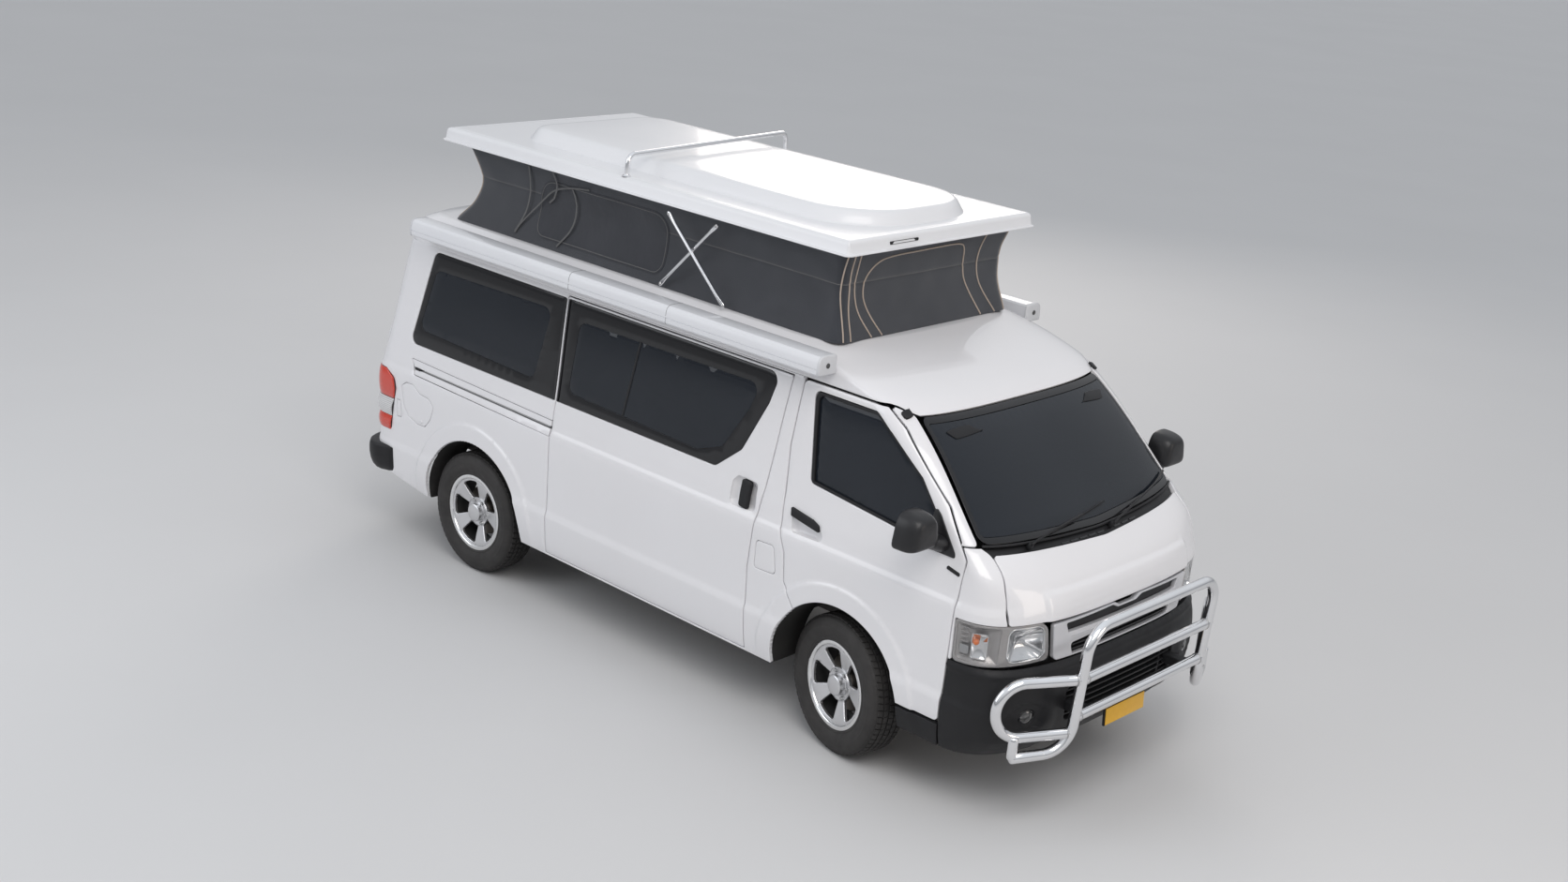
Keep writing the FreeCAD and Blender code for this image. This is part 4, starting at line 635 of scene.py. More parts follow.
# corners given as shares of an oblong's width and height
def shared(shares, x0, x1, z0, z1):
    return [(x0 + a * (x1 - x0), z0 + b * (z1 - z0), *more) for a, b, *more in shares]


outlines = {
    "door": shared([(0.023, 1), (0, 0.75), (0.024, 0.446), (0.063, 0.366), (0.074, 0.255),
                    (0.154, 0.163), (0.154, 0), (0.974, 0), (0.992, 0.404), (1, 0.589),
                    (0.856, 0.739), (0.583, 0.942), (0.474, 1)], 0.854, 1.931, 0.418, 1.712),
    "doorWindow": shared([(0, 1), (0.058, 0.17), (0.548, 0.088), (1, 0), (0.726, 0.58),
                          (0.461, 0.92), (0.4, 1)], 0.957, 1.879, 1.168, 1.674),
    "slider": shared([(0, 0), (0.935, 0), (0.926, 0.304), (0.941, 0.48), (0.957, 0.597),
                      (0.984, 0.857), (1, 1), (0, 1)], -0.75, 0.818, 0.322, 1.708),
    "sliderWindow": shared([(0, 0, 0.004), (0.781, 0), (0.884, 0.23), (0.97, 0.714), (1, 1),
                            (0, 1, 0.004)], -0.736, 0.736, 1.156, 1.692),
    "quarterWindow": shared([(0, 0), (1, 0, 0.004), (1, 1, 0.004), (0.115, 1)],
                            -1.98, -0.764, 1.156, 1.692),
    "screen": [(-0.735, 1.24), (0, 1.212), (0.735, 1.24), (0.66, 1.676), (-0.66, 1.676)],
    "bonnet": [(-0.738, 0.93), (0.738, 0.93), (0.738, 1.206), (0, 1.178), (-0.738, 1.206)],
    "tailgate": [(-0.705, 0.512), (0.705, 0.512), (0.705, 1.712), (-0.705, 1.712)],
    "rearWindow": [(-0.6, 1.15), (0.6, 1.15), (0.6, 1.63), (-0.6, 1.63)]}
gap = 0.006
creaseRows = [0.47, 0.5, 0.515, 0.53, 0.541, 0.552, 0.563, 0.575, 0.595, 0.95, 0.965,
              0.9775, 0.99, 1.001, 1.012, 1.028, 1.045, 1.065]


# extra mesh points along the pressed arcs over the wheels
def archRings(end, side):
    rings = []
    for ax, az, r in arches:
        for more in (0.012, 0.035, 0.06, 0.078, 0.086, 0.094, 0.102, 0.112):
            turns = np.radians(np.arange(-12, 192, 2.6))
            x, z = ax + (r + more) * np.cos(turns), az + (r + more) * np.sin(turns)
            rings.append(np.stack([sideU(end, x, z, side), z], 1))
    return np.concatenate(rings)


# points along one wheel arch between two turns in degrees, 0 ahead and 90 at the top
def arcPoints(index, first, last, count):
    ax, az, r = arches[index]
    turns = np.radians(np.linspace(first, last, count))
    return [(ax + r * math.cos(t), az + r * math.sin(t), 0) for t in turns]


# turn in degrees at which the run from a to b crosses a wheel arch
def archCrossing(index, a, b):
    ax, az, r = arches[index]
    for k in range(401):
        x, z = a[0] + (b[0] - a[0]) * k / 400, a[1] + (b[1] - a[1]) * k / 400
        if math.hypot(x - ax, z - az) > r:
            break
    return math.degrees(math.atan2(z - az, x - ax))


# door edge with the wheel arch taken out of its rear lower corner
def outlineOfDoor(amount=0.0):
    loop = roundLoop([(x, z, 0.03) for x, z in outlines["door"]], 0.03)
    loop = moveLoop(loop, -amount)
    ax, az, r = arches[0]
    r += 0.001
    away = np.hypot(loop[:, 0] - ax, loop[:, 1] - az)
    under = (away < r) | ((np.abs(loop[:, 0] - ax) < r) & (loop[:, 1] < az))
    keepers = np.where(~under)[0]
    gapAt = np.argmax(np.diff(np.concatenate([keepers, [keepers[0] + len(loop)]])))
    order = np.roll(keepers, -(gapAt + 1))
    body = loop[order]
    a, b = body[-1], body[0]

    def toArch(p):
        if p[1] > az:
            t = math.atan2(p[1] - az, p[0] - ax)
            return np.array([ax + r * math.cos(t), az + r * math.sin(t)]), t
        return np.array([ax + (r if p[0] > ax else -r), p[1]]), (0 if p[0] > ax else math.pi)

    pa, ta = toArch(a)
    pb, tb = toArch(b)
    count = max(4, int(abs(tb - ta) / 0.035))
    arc = [pa] if pa[1] < az else []
    arc += [np.array([ax + r * math.cos(ta + (tb - ta) * k / count),
                      az + r * math.sin(ta + (tb - ta) * k / count)]) for k in range(count + 1)]
    if pb[1] < az:
        arc.append(pb)
    points = np.concatenate([body, np.array(arc)])
    near = np.linalg.norm(points - np.roll(points, 1, 0), axis=1)
    return points[near > 0.002]


# painted panels

bodyEdges = {"low": 0.311, "top": 1.716, "tailHalf": 0.705, "tailLow": 0.4}
sideDetails = {  # outlines seen from the side, with each corner's radius
    "lamp": [(-2.15, 0.972, 0.012), (-2.072, 0.93, 0.05), (-2.056, 0.875, 0.05),
             (-2.08, 0.76, 0.08), (-2.098, 0.622, 0.02)],
    "rail": [(-1.943, 1.076, 0.004), (-0.7555, 1.052, 0.004), (-0.7555, 0.967, 0.004),
             (-1.905, 0.99, 0.012)],
    "flap": [(-2.006, 0.905, 0.03), (-1.962, 0.934, 0.03), (-1.898, 0.936, 0.04),
             (-1.838, 0.898, 0.04), (-1.76, 0.892, 0.04), (-1.712, 0.852, 0.03),
             (-1.742, 0.772, 0.05), (-1.79, 0.718, 0.03), (-1.86, 0.716, 0.04),
             (-1.944, 0.742, 0.05), (-1.982, 0.79, 0.05)],
    "smallFlap": [(-2.05, 0.812, 0.006), (-2.012, 0.816, 0.012), (-2.002, 0.716, 0.012),
                  (-2.046, 0.712, 0.006)],
    "doorPocket": [(0.938, 1.084, 0.008), (0.948, 1.002, 0.022), (1.126, 1.006, 0.02),
                   (1.13, 1.036, 0.015), (1.106, 1.066, 0.008)],
    "slidePocket": [(0.54, 1.034, 0.02), (0.543, 1.125, 0.03), (0.572, 1.158, 0.025),
                    (0.7, 1.152, 0.018), (0.706, 1.018, 0.018), (0.56, 1.012, 0.024)],
    "fillerFlap": [(0.748, 0.898, 0.02), (0.862, 0.904, 0.024), (0.884, 0.762, 0.024),
                   (0.742, 0.756, 0.02)]}


def tailEdgePoint(z, half=bodyEdges["tailHalf"]):
    share = half / float(halfWidth(z))
    reach = bodyForm["tailCorner"] * (1 - (1 - share ** 3) ** (1 / 3))
    return float(tailReach(z)) + reach, z, 0


# one side wall seen from the side: sill, wheel arches, door edge, roof edge and tail
def sideOutline():
    low, top = bodyEdges["low"], bodyEdges["top"]
    rear = outlines["door"][5::-1]
    turn = archCrossing(0, rear[0], rear[1])
    points = [(arches[0][0] - arches[0][2], low, 0.006)] + arcPoints(0, 180, turn, 14)
    points += [(x, z, 0.03) for x, z in rear[1:-1]] + [(rear[-1][0] + 0.003, top, 0.002)]
    heights = np.linspace(top, bodyEdges["tailLow"], 60)
    lampTop, lampLow = sideDetails["lamp"][0][1] + 0.008, sideDetails["lamp"][-1][1] - 0.008
    points += [tailEdgePoint(z) for z in heights if z > lampTop + 0.006]
    points += [tailEdgePoint(lampTop)]
    points += [(x + 0.003, z, r) for x, z, r in sideDetails["lamp"]]
    points += [tailEdgePoint(lampLow)]
    points += [tailEdgePoint(z) for z in heights if z < lampLow - 0.006]
    points += [(-2.19, 0.372, 0.03), (arches[1][0] - arches[1][2] - 0.02, low, 0.03),
               (arches[1][0] - arches[1][2], low, 0.006)]
    points += arcPoints(1, 180, 0, 48) + [(arches[1][0] + arches[1][2], low, 0.006)]
    return points


def makeSides():
    for side, name in bothSides:
        flat = sideLoop("tail", side, sideOutline(), 0.0, 0.014)
        holes = [sideLoop("tail", side, outlines["quarterWindow"], 0.045)]
        if side < 0:
            opening = [(x, z, 0.006) for x, z in outlines["slider"]]
            rail = sideDetails["rail"]
            opening += [(-0.75, rail[1][1], 0.004), rail[0], rail[3], (-0.75, rail[2][1], 0.004)]
            holes.append(sideLoop("tail", side, opening, 0.006))
            holes += [sideLoop("tail", side, sideDetails[key])
                      for key in ("flap", "smallFlap", "fillerFlap")]
        else:
            holes.append(sideLoop("tail", side, outlines["sliderWindow"], 0.05))
        fitted("bodySide." + name, flat, holes, onBody("tail"), "paint", "chassis", "body_paint",
               "body_side_" + name, rows=creaseRows, extra=archRings("tail", side), grid=0.036)


def makeDoors():
    for side, name in bothSides:
        loop = outlineOfDoor(gap)
        flat = np.stack([sideU("nose", loop[:, 0], loop[:, 1], side), loop[:, 1]], 1)
        hole = sideLoop("nose", side, outlines["doorWindow"], 0.03)
        pocket = sideLoop("nose", side, sideDetails["doorPocket"], spacing=0.008)
        fitted("frontDoor." + name, flat, [hole, pocket], onBody("nose"), "paint",
               "front_door_" + name, "body_paint", "front_door_" + name, rows=creaseRows,
               extra=archRings("nose", side), depth=0.03)
    flat = sideLoop("tail", -1, [(x, z, 0.014) for x, z in outlines["slider"]])
    flat = moveLoop(flat, -gap)
    hole = sideLoop("tail", -1, outlines["sliderWindow"], 0.05)
    pocket = sideLoop("tail", -1, sideDetails["slidePocket"], spacing=0.008)
    fitted("slidingDoor", flat, [hole, pocket], onBody("tail"), "paint", "chassis", "body_paint",
           "sliding_door", rows=creaseRows, extra=archRings("tail", -1)[::3], depth=0.03)


def makeTailgate():
    loop = frontLoop("tail", [(y, z, 0.03) for y, z in outlines["tailgate"]])
    loop = moveLoop(loop, -gap)
    hole = frontLoop("tail", outlines["rearWindow"], 0.05)
    fitted("tailgate", loop, [hole], onBody("tail"), "paint", "tailgate", "body_paint",
           "tailgate", rows=creaseRows)


makeSides()
makeDoors()
makeTailgate()
print("stage: side panels made")


# the front door's leading edge between two heights, seen from the side
def doorEdgeFront(low, high):
    loop = outlineOfDoor()
    ahead = loop[:, 0] > np.where(loop[:, 1] > 1.0, 1.33, 1.8)
    edge = loop[ahead & (loop[:, 1] > low + 0.003) & (loop[:, 1] < high - 0.003)]
    edge = edge[np.argsort(edge[:, 1])]
    foot = (float(np.interp(low, edge[:, 1], edge[:, 0])), low, 0.002)
    top = (float(np.interp(high, edge[:, 1], edge[:, 0])), high, 0.002)
    return [foot] + [(float(x), float(z), 0) for x, z in edge] + [top]


noseEdges = {"lampLow": 0.7345, "lampTop": 0.934, "lampRear": 1.9295, "wingTop": 1.231,
             "pillarLow": 1.2345, "roofFront": 1.68}
bonnetSide = [(0.738, 0.934), (0.738, 1.0), (0.731, 1.08), (0.718, 1.15), (0.712, 1.206)]


# nose outline: points seen from the side, from the front, and from the side again
def mixedLoop(side, fromSide, fromFront, last=(), spacing=0.012):
    a, c = ([(float(sideU("nose", x, z, side)), z, r) for x, z, r in some]
            for some in (fromSide, last))
    b = [(float(frontU("nose", side * y, z)), z, r) for y, z, r in fromFront]
    return roundLoop(a + b + c, 0, spacing)


def makeNose():
    e = noseEdges
    for side, name in bothSides:
        edge = doorEdgeFront(e["lampLow"], e["wingTop"])
        top = [(0.742, e["wingTop"], 0.004)]
        top += [(y + gap, z, 0.05) for y, z in bonnetSide[::-1][:-1]]
        top += [(bonnetSide[0][0] + gap, e["lampTop"], 0.006)]
        pocket = [(e["lampRear"], z, 0.012) for z in (e["lampTop"], e["lampLow"])]
        fitted("wing." + name, mixedLoop(side, edge, top, pocket), [], onBody("nose"), "paint",
               "chassis", "body_paint", "nose_panel", rows=creaseRows, grid=0.026)
        edge = doorEdgeFront(e["pillarLow"], 1.708)
        screen = [(0.676, e["roofFront"] + 0.004, 0.02), (0.7485, 1.2365, 0.02)]
        fitted("pillar." + name, mixedLoop(side, edge, screen), [], onBody("nose"), "paint",
               "chassis", "body_paint", "nose_panel", grid=0.026)
    sides = [(*spot, r) for spot, r in zip(bonnetSide, (0.012, 0.05, 0.05, 0.05, 0.02))]
    outline = [(-y, z, r) for y, z, r in sides[::-1]] + sides + [(0, 1.178, 0.5)]
    ys = np.array([0.515, 0.528, 0.535, 0.5425, 0.55, 0.5575, 0.565, 0.572, 0.585])
    ys, zs = np.meshgrid(np.concatenate([-ys, ys]), np.arange(0.945, 1.075, 0.013))
    fold = np.stack([frontU("nose", ys.ravel(), zs.ravel()), zs.ravel()], 1)
    rows = creaseRows + [1.03, 1.036, 1.0425, 1.049, 1.0555, 1.062, 1.068, 1.085]
    fitted("bonnet", frontLoop("nose", outline, 0.02), [], onBody("nose"), "paint", "bonnet",
           "body_paint", "bonnet", rows=rows, extra=fold, grid=0.026, depth=0.02)


roofForm = {"rows": 22, "front": 30, "side": 26, "tail": 14, "edge": 0.012,
            "innerX": (-1.7, 0.87), "innerY": 0.54, "foot": 1.7175, "top": 1.8615,
            "flat": 1.862, "lip": 0.003}


# one smooth skin from the roof line over the shoulder to the opening under the lid
def makeRoof():
    f, tc = roofForm, bodyForm["tailCorner"]
    columns = [("nose", a) for a in np.linspace(0, 1, f["front"]) ** 1.2 * noseWay[-1]]
    columns += [("side", t) for t in np.linspace(0, 1, f["side"])[1:-1]]
    columns += [("tail", a) for a in np.linspace(1, 0, f["tail"]) ** 1.2 * tailWay[-1]]
    e = noseEdges
    shares = 1 - (1 - np.linspace(0, 1, f["rows"])) ** 1.6

    def spot(kind, a, z):
        z = np.asarray(z, float)
        if kind == "side":
            x0 = frontReach(z) - frontCorner(z)
            x1 = tailReach(z) + tc
            return np.stack([x0 + (x1 - x0) * a, halfWidth(z), z], -1)
        return flatPoint(kind, a, z)

    half = []
    for kind, a in columns:
        foot = f["foot"]
        if kind == "nose":
            y = float(flatPoint("nose", a, 1.7)[1])
            foot = e["roofFront"] + (foot - e["roofFront"]) * float(step(y, 0.655, 0.735))
        z = foot + shares * (f["top"] - foot)
        column = spot(kind, a, z)
        first, second = column[0], column[1]
        up = (second - first) / np.linalg.norm(second - first)
        inward = np.array([0, -1.0, 0])
        if kind != "side":
            inward = np.array([-1 if kind == "nose" else 1, -1.2 * first[1], 0])
        inward = inward - up * (inward @ up)
        inward /= np.linalg.norm(inward)
        lip = [first - up * f["lip"] * math.sin(t) + inward * f["lip"] * (1 - math.cos(t))
               for t in np.radians((90, 60, 30))]
        column = np.concatenate([[lip[0] + inward * f["edge"]], lip, column])
        edge = column[-1]
        cx = min(max(edge[0], f["innerX"][0]), f["innerX"][1])
        cy = f["innerY"] if kind == "side" else min(edge[1], f["innerY"])
        target = np.array([cx, cy, f["flat"]])
        tops = [edge + (target - edge) * t for t in (0.25, 0.5, 0.75, 1.0)]
        half.append(np.concatenate([column, tops]))
    half = np.array(half)
    mirror = half[::-1] * np.array([1, -1, 1])
    full = np.concatenate([half, mirror[1:-1]])
    count, deep = full.shape[:2]
    faces = [(i * deep + k, j * deep + k, j * deep + k + 1, i * deep + k + 1)
             for i in range(count) for j in [(i + 1) % count] for k in range(deep - 1)]
    mesh = bpy.data.meshes.new("roof")
    mesh.from_pydata(full.reshape(-1, 3).tolist(), [], faces)
    work = bmesh.new()
    work.from_mesh(mesh)
    bmesh.ops.remove_doubles(work, verts=work.verts, dist=1e-5)
    bmesh.ops.recalc_face_normals(work, faces=work.faces)
    top = [v for v in work.verts if v.co.z > f["top"] - 0.0005]
    if sum(v.normal.z for v in top) < 0:
        bmesh.ops.reverse_faces(work, faces=work.faces)
    for face in work.faces:
        face.smooth = True
    work.to_mesh(mesh)
    work.free()
    mesh.materials.append(finish["paint"])
    placeOn(linked("roof", mesh), "chassis", "roof_panel", slot="grp")


# panes with a wide black surround and a tinted middle, set just below the paint
def makeGlass():
    clear = {"quarter": [(-1.814, 1.596), (-0.857, 1.612), (-0.944, 1.221), (-1.917, 1.245)],
             "slider": [(-0.64, 1.598), (0.622, 1.611), (0.576, 1.484), (0.436, 1.256),
                        (0.281, 1.199), (-0.669, 1.223)]}
    for side, name in bothSides:
        for key, radius in (("quarter", 0.045), ("slider", 0.05)):
            outer = sideLoop("tail", side, outlines[key + "Window"], radius)
            outer = moveLoop(outer, -0.003)
            middle = sideLoop("tail", side, clear[key], 0.05)
            fitted("surround." + key + "." + name, outer, [middle], onBody("tail", 0.003),
                   "blackGloss", "chassis", "dark_glass", "side_glass", lip=0.0015, depth=0.006,
                   grid=0.06)
            fitted("pane." + key + "." + name, moveLoop(middle, -0.0008), [],
                   onBody("tail", 0.0045), "glass", "chassis", "dark_glass", "side_glass",
                   lip=0.0008, depth=0.005, grid=0.06)
        bar = [(-0.186, 1.606), (-0.2, 1.606), (-0.262, 1.216), (-0.248, 1.216)]
        fitted("windowBar." + name, sideLoop("tail", side, bar, 0.003), [], onBody("tail", 0.001),
               "blackPlastic", "chassis", "black_plastic", lip=0.002, depth=0.008)
        strips = ((-0.77, -0.7535), (-0.741, -0.73)) if side < 0 else ((-0.77, -0.73),)
        for k, (x0, x1) in enumerate(strips):   # black pillar between the two windows
            strip = sideLoop("tail", side, oblong(x0, x1, 1.158, 1.69), 0.001)
            fitted("pillarBlack%d.%s" % (k, name), strip, [], onBody("tail", -0.0012),
                   "blackGloss", "chassis", "dark_glass", lip=0.001, depth=0.004, grid=0.06)
        body = "front_door_" + name
        outer = sideLoop("nose", side, outlines["doorWindow"], 0.03)
        middle = moveLoop(outer, -0.017)
        fitted("windowRubber." + name, moveLoop(outer, -0.0005), [middle], onBody("nose", -0.002),
               "blackPlastic", body, "black_plastic", lip=0.004, depth=0.016, grid=0.06)
        fitted("doorPane." + name, moveLoop(middle, 0.004), [], onBody("nose", 0.009), "glass",
               body, "dark_glass", "front_door_glass_" + name, lip=0.001, depth=0.005, grid=0.06)
    screen = [(y, z, 0.035 if y else 1.2) for y, z in outlines["screen"]]
    outer = moveLoop(frontLoop("nose", screen), -0.002)
    middle = moveLoop(outer, -0.024)
    fitted("screenBorder", outer, [middle], onBody("nose", 0.001), "blackGloss", "chassis",
           "dark_glass", "windscreen", lip=0.002, depth=0.006, grid=0.05)
    fitted("screenPane", moveLoop(middle, -0.0006), [], onBody("nose", 0.002), "glass", "chassis",
           "dark_glass", "windscreen", lip=0.0006, depth=0.005, grid=0.05)
    outer = moveLoop(frontLoop("tail", outlines["rearWindow"], 0.05), -0.003)
    middle = moveLoop(outer, -0.035)
    fitted("rearSurround", outer, [middle], onBody("tail", 0.003), "blackGloss", "tailgate",
           "dark_glass", "tailgate_glass", lip=0.0015, depth=0.006, grid=0.06)
    fitted("rearPane", moveLoop(middle, -0.0008), [], onBody("tail", 0.0045), "glass", "tailgate",
           "dark_glass", "tailgate_glass", lip=0.0008, depth=0.005, grid=0.06)


makeNose()
makeRoof()
makeGlass()
print("stage: nose, roof and glass made")

# front end: lamps, grille, bumper, scuttle and wipers


# skin through rows of points, each row as long as the others
def gridMesh(name, rows, key, closed=False, body=None, slot=None, replaced=(), caps=False,
             angle=40):
    rows = np.array(rows, float)
    count, wide = rows.shape[:2]
    faces = []
    for i in range(count - 1):
        for j in range(wide if closed else wide - 1):
            k = (j + 1) % wide
            faces.append((i * wide + j, i * wide + k, (i + 1) * wide + k, (i + 1) * wide + j))
    if caps:
        faces.append(tuple(range(wide)))
        faces.append(tuple((count - 1) * wide + j for j in range(wide)))
    mesh = bpy.data.meshes.new(name)
    mesh.from_pydata(rows.reshape(-1, 3).tolist(), [], faces)
    work = bmesh.new()
    work.from_mesh(mesh)
    bmesh.ops.remove_doubles(work, verts=work.verts, dist=1e-6)
    work.to_mesh(mesh)
    work.free()
    made = finishMesh(name, mesh, key, angle)
    if body:
        placeOn(made, body, *replaced, slot=slot)
    return made


# reflector pressed back from a rim loop to a flat floor
def bowl(name, loop, centre, depth, rim, floorShare, key, body, slot, end="nose"):
    rings = []
    for t in np.linspace(1, 0, 9):
        share = floorShare + (1 - floorShare) * t
        flat = np.array(centre) + (loop - np.array(centre)) * share
        sink = rim + depth * (1 - t ** 1.7)
        rings.append(bodyPoint(end, flat[:, 0], flat[:, 1], sink)[0])
    rings.append([bodySpot(end, *centre, rim + depth)] * len(loop))
    gridMesh(name, rings, key, closed=True, body=body, slot=slot)


def ball(name, place, radius, key, body, slot, stretch=(1, 1, 1)):
    work = bmesh.new()
    bmesh.ops.create_uvsphere(work, u_segments=24, v_segments=12, radius=radius)
    for v in work.verts:
        v.co = Vector((v.co.x * stretch[0], v.co.y * stretch[1], v.co.z * stretch[2])) \
            + Vector(place)
    mesh = bpy.data.meshes.new(name)
    work.to_mesh(mesh)
    work.free()
    placeOn(finishMesh(name, mesh, key, 60), body, slot=slot)


# shape turned about an axis: profile of (distance along the axis, radius)
def turned(name, profile, place, axis, key, steps=48, angle=35, body=None, slot=None,
           replaced=()):
    axis = np.array(axis, float) / np.linalg.norm(axis)
    side = np.cross(axis, (0.0, 0.0, 1.0) if abs(axis[2]) < 0.9 else (1.0, 0.0, 0.0))
    side /= np.linalg.norm(side)
    other = np.cross(axis, side)
    turns = np.linspace(0, 2 * math.pi, steps, endpoint=False)
    ring = np.cos(turns)[:, None] * side + np.sin(turns)[:, None] * other
    rows = [np.array(place) + axis * a + ring * max(r, 1e-7) for a, r in profile]
    return gridMesh(name, rows, key, closed=True, body=body, slot=slot,
                    replaced=replaced, angle=angle)


lampLoops = {  # corners seen from the side, then corners seen from the front
    "whole": ([(1.9335, 0.9285, 0.012), (1.934, 0.733, 0.02)],
              [(0.765, 0.7395, 0.08), (0.525, 0.748, 0.035), (0.548, 0.929, 0.045),
               (0.738, 0.929, 0.0)]),
    "sideCell": ([(1.943, 0.918, 0.014), (1.946, 0.748, 0.02)],
                 [(0.775, 0.752, 0.02), (0.764, 0.752, 0.006), (0.76, 0.918, 0.012)]),
    "mainCell": ([], [(0.73, 0.915, 0.035), (0.728, 0.76, 0.035), (0.548, 0.763, 0.035),
                      (0.562, 0.915, 0.045)])}


def makeLamps():
    for side, name in bothSides:
        loop, outer, inner = (mixedLoop(side, *lampLoops[key], spacing=0.01)
                              for key in ("whole", "sideCell", "mainCell"))
        fitted("lampBezel." + name, loop, [outer, inner], onBody("nose", 0.006), "lampGrey",
               "chassis", "clear_lens", "headlamps", lip=0.003, depth=0.03, grid=0.03)
        fitted("lampRing." + name, moveLoop(inner, 0.005), [moveLoop(inner, -0.0015)],
               onBody("nose", 0.004), "rimLip", "chassis", "polished_steel", lip=0.002,
               depth=0.012, grid=0.03)
        centre = inner.mean(0)
        bowl("lampDish." + name, moveLoop(inner, 0.003), centre, 0.055, 0.01, 0.16,
             "reflector", "chassis", "polished_steel")
        spot = bodySpot("nose", *centre, 0.045)
        ball("lampBulb." + name, spot, 0.013, "clearLens", "chassis", "clear_lens", (1.6, 1, 1))
        centre = outer.mean(0)
        bowl("sideDish." + name, moveLoop(outer, 0.003), centre, 0.03, 0.01, 0.55, "lampGrey",
             "chassis", "clear_lens")
        cups = [(1.984, 0.8, 0.046, 0.04, "steel"), (2.052, 0.826, 0.078, 0.118, "rimLip")]
        for i, (x, z, wide, tall, key) in enumerate(cups):
            u = float(sideU("nose", x, z, side))
            a, b = wide / 2, tall / 2
            cup = roundLoop(oblong(u - a, u + a, z - b, z + b, 0.01), 0, 0.008)
            fitted("sideCup%d.%s" % (i, name), cup, [moveLoop(cup, -0.004)] if i else [],
                   onBody("nose", 0.013), key, "chassis", "polished_steel", lip=0.0015, depth=0.01)
            if i:
                bowl("sideCupDish." + name, moveLoop(cup, -0.003), cup.mean(0), 0.018, 0.014,
                     0.2, "reflector", "chassis", "polished_steel")
        spot = bodySpot("nose", sideU("nose", 2.036, 0.845, side), 0.845, 0.018)
        ball("amberBulb." + name, spot, 0.015, "amber", "chassis", "red_lens")
        for k in range(7):
            z = 0.765 + 0.022 * k
            u0, u1 = (float(sideU("nose", x, z, side)) for x in (1.955, 2.0))
            rib = roundLoop(oblong(u0, u1, z, z + 0.004, 0.001), 0, 0.02)
            fitted("lensRib%d.%s" % (k, name), rib, [], onBody("nose", 0.018), "lampGrey",
                   "chassis", "polished_steel", lip=0.0008, depth=0.008)
        fitted("lampLens." + name, moveLoop(loop, -0.001), [], onBody("nose", 0.0005),
               "clearLens", "chassis", "clear_lens", lip=0.002, depth=0.004, grid=0.03)


def makeGrille():
    g = 0.5225
    outer = frontLoop("nose", [(-g, 0.917, 0.012), (-0.497, 0.741, 0.03), (0.497, 0.741, 0.03),
                               (g, 0.917, 0.012), (0.1, 0.926, 0.03), (0.055, 0.905, 0.03),
                               (-0.055, 0.905, 0.03), (-0.1, 0.926, 0.03)])
    slotTop = frontLoop("nose", [(-0.442, 0.907, 0.006), (-0.422, 0.861, 0.008),
                                 (0.422, 0.861, 0.008), (0.442, 0.907, 0.006),
                                 (0.115, 0.916, 0.02), (0.07, 0.896, 0.02),
                                 (-0.07, 0.896, 0.02), (-0.115, 0.916, 0.02)])
    slotLow = frontLoop("nose", [(-0.398, 0.804, 0.014), (-0.378, 0.749, 0.014),
                                 (0.378, 0.749, 0.014), (0.398, 0.804, 0.014),
                                 (0.25, 0.815, 0.1), (-0.25, 0.815, 0.1)])
    fitted("grilleFrame", outer, [slotTop, slotLow], onBody("nose", 0.001), "grilleSilver",
           "chassis", "body_paint", "grille", lip=0.004, depth=0.022, grid=0.03)
    back = frontLoop("nose", [(-0.46, 0.9), (-0.46, 0.745), (0.46, 0.745), (0.46, 0.9)], 0.01)
    fitted("grilleBack", back, [], onBody("nose", 0.024), "blackPlastic", "chassis",
           "black_plastic", grid=0.06)
    for i, (z, half, tall) in enumerate(((0.766, 0.385, 0.006), (0.786, 0.39, 0.006))):
        bar = frontLoop("nose", oblong(-half, half, z, z + tall, 0.003))
        fitted("grilleBar%d" % i, bar, [], onBody("nose", 0.008), "blackGloss", "chassis",
               "black_plastic", lip=0.0025, depth=0.014)
    bar = frontLoop("nose", [(-0.4, 0.8405, 0.003), (0.4, 0.8405, 0.003), (0.4, 0.844, 0.002),
                             (-0.4, 0.844, 0.002)])
    fitted("grilleLine", bar, [], onBody("nose", -0.002), "grilleSilver", "chassis",
           "polished_steel", lip=0.0018, depth=0.005)


bumperForm = {"swell": [(0.29, -0.012), (0.31, 0.004), (0.34, 0.03), (0.4, 0.06),
                        (0.47, 0.068), (0.56, 0.062), (0.64, 0.046), (0.69, 0.026),
                        (0.715, 0.012), (0.735, 0.002)],
              "low": 0.3, "top": 0.7315, "seam": 1.905, "strip": 0.41}
bumperSwell = smoothTable(bumperForm["swell"], 1)


# bumper surface: the nose pushed forward, with pressed pockets for the fog lamps
def bumperPoint(u, z, sink=0.0):
    def plain(a, b):
        p = flatPoint("nose", a, b)
        p[..., 0] += bumperSwell(b)
        return p

    n = np.cross(plain(u + nudge, z) - plain(u - nudge, z),
                 plain(u, z + nudge) - plain(u, z - nudge))
    n /= np.linalg.norm(n, axis=-1, keepdims=True)
    p = plain(u, z)
    away = np.hypot((np.abs(p[..., 1]) - 0.64) / 0.105, (p[..., 2] - 0.508) / 0.078)
    out = -0.014 * step(away, 1.0, 0.8)
    out = out - 0.006 * step(np.abs(p[..., 1]), 0.5, 0.47) * step(z, 0.655, 0.625)
    out = out + 0.005 * step(z, 0.722, 0.712) * step(z, 0.688, 0.698)
    return p + n * (out - sink)[..., None], n


def onBumper(sink=0.0):
    return lambda u, z: bumperPoint(u, z, sink)


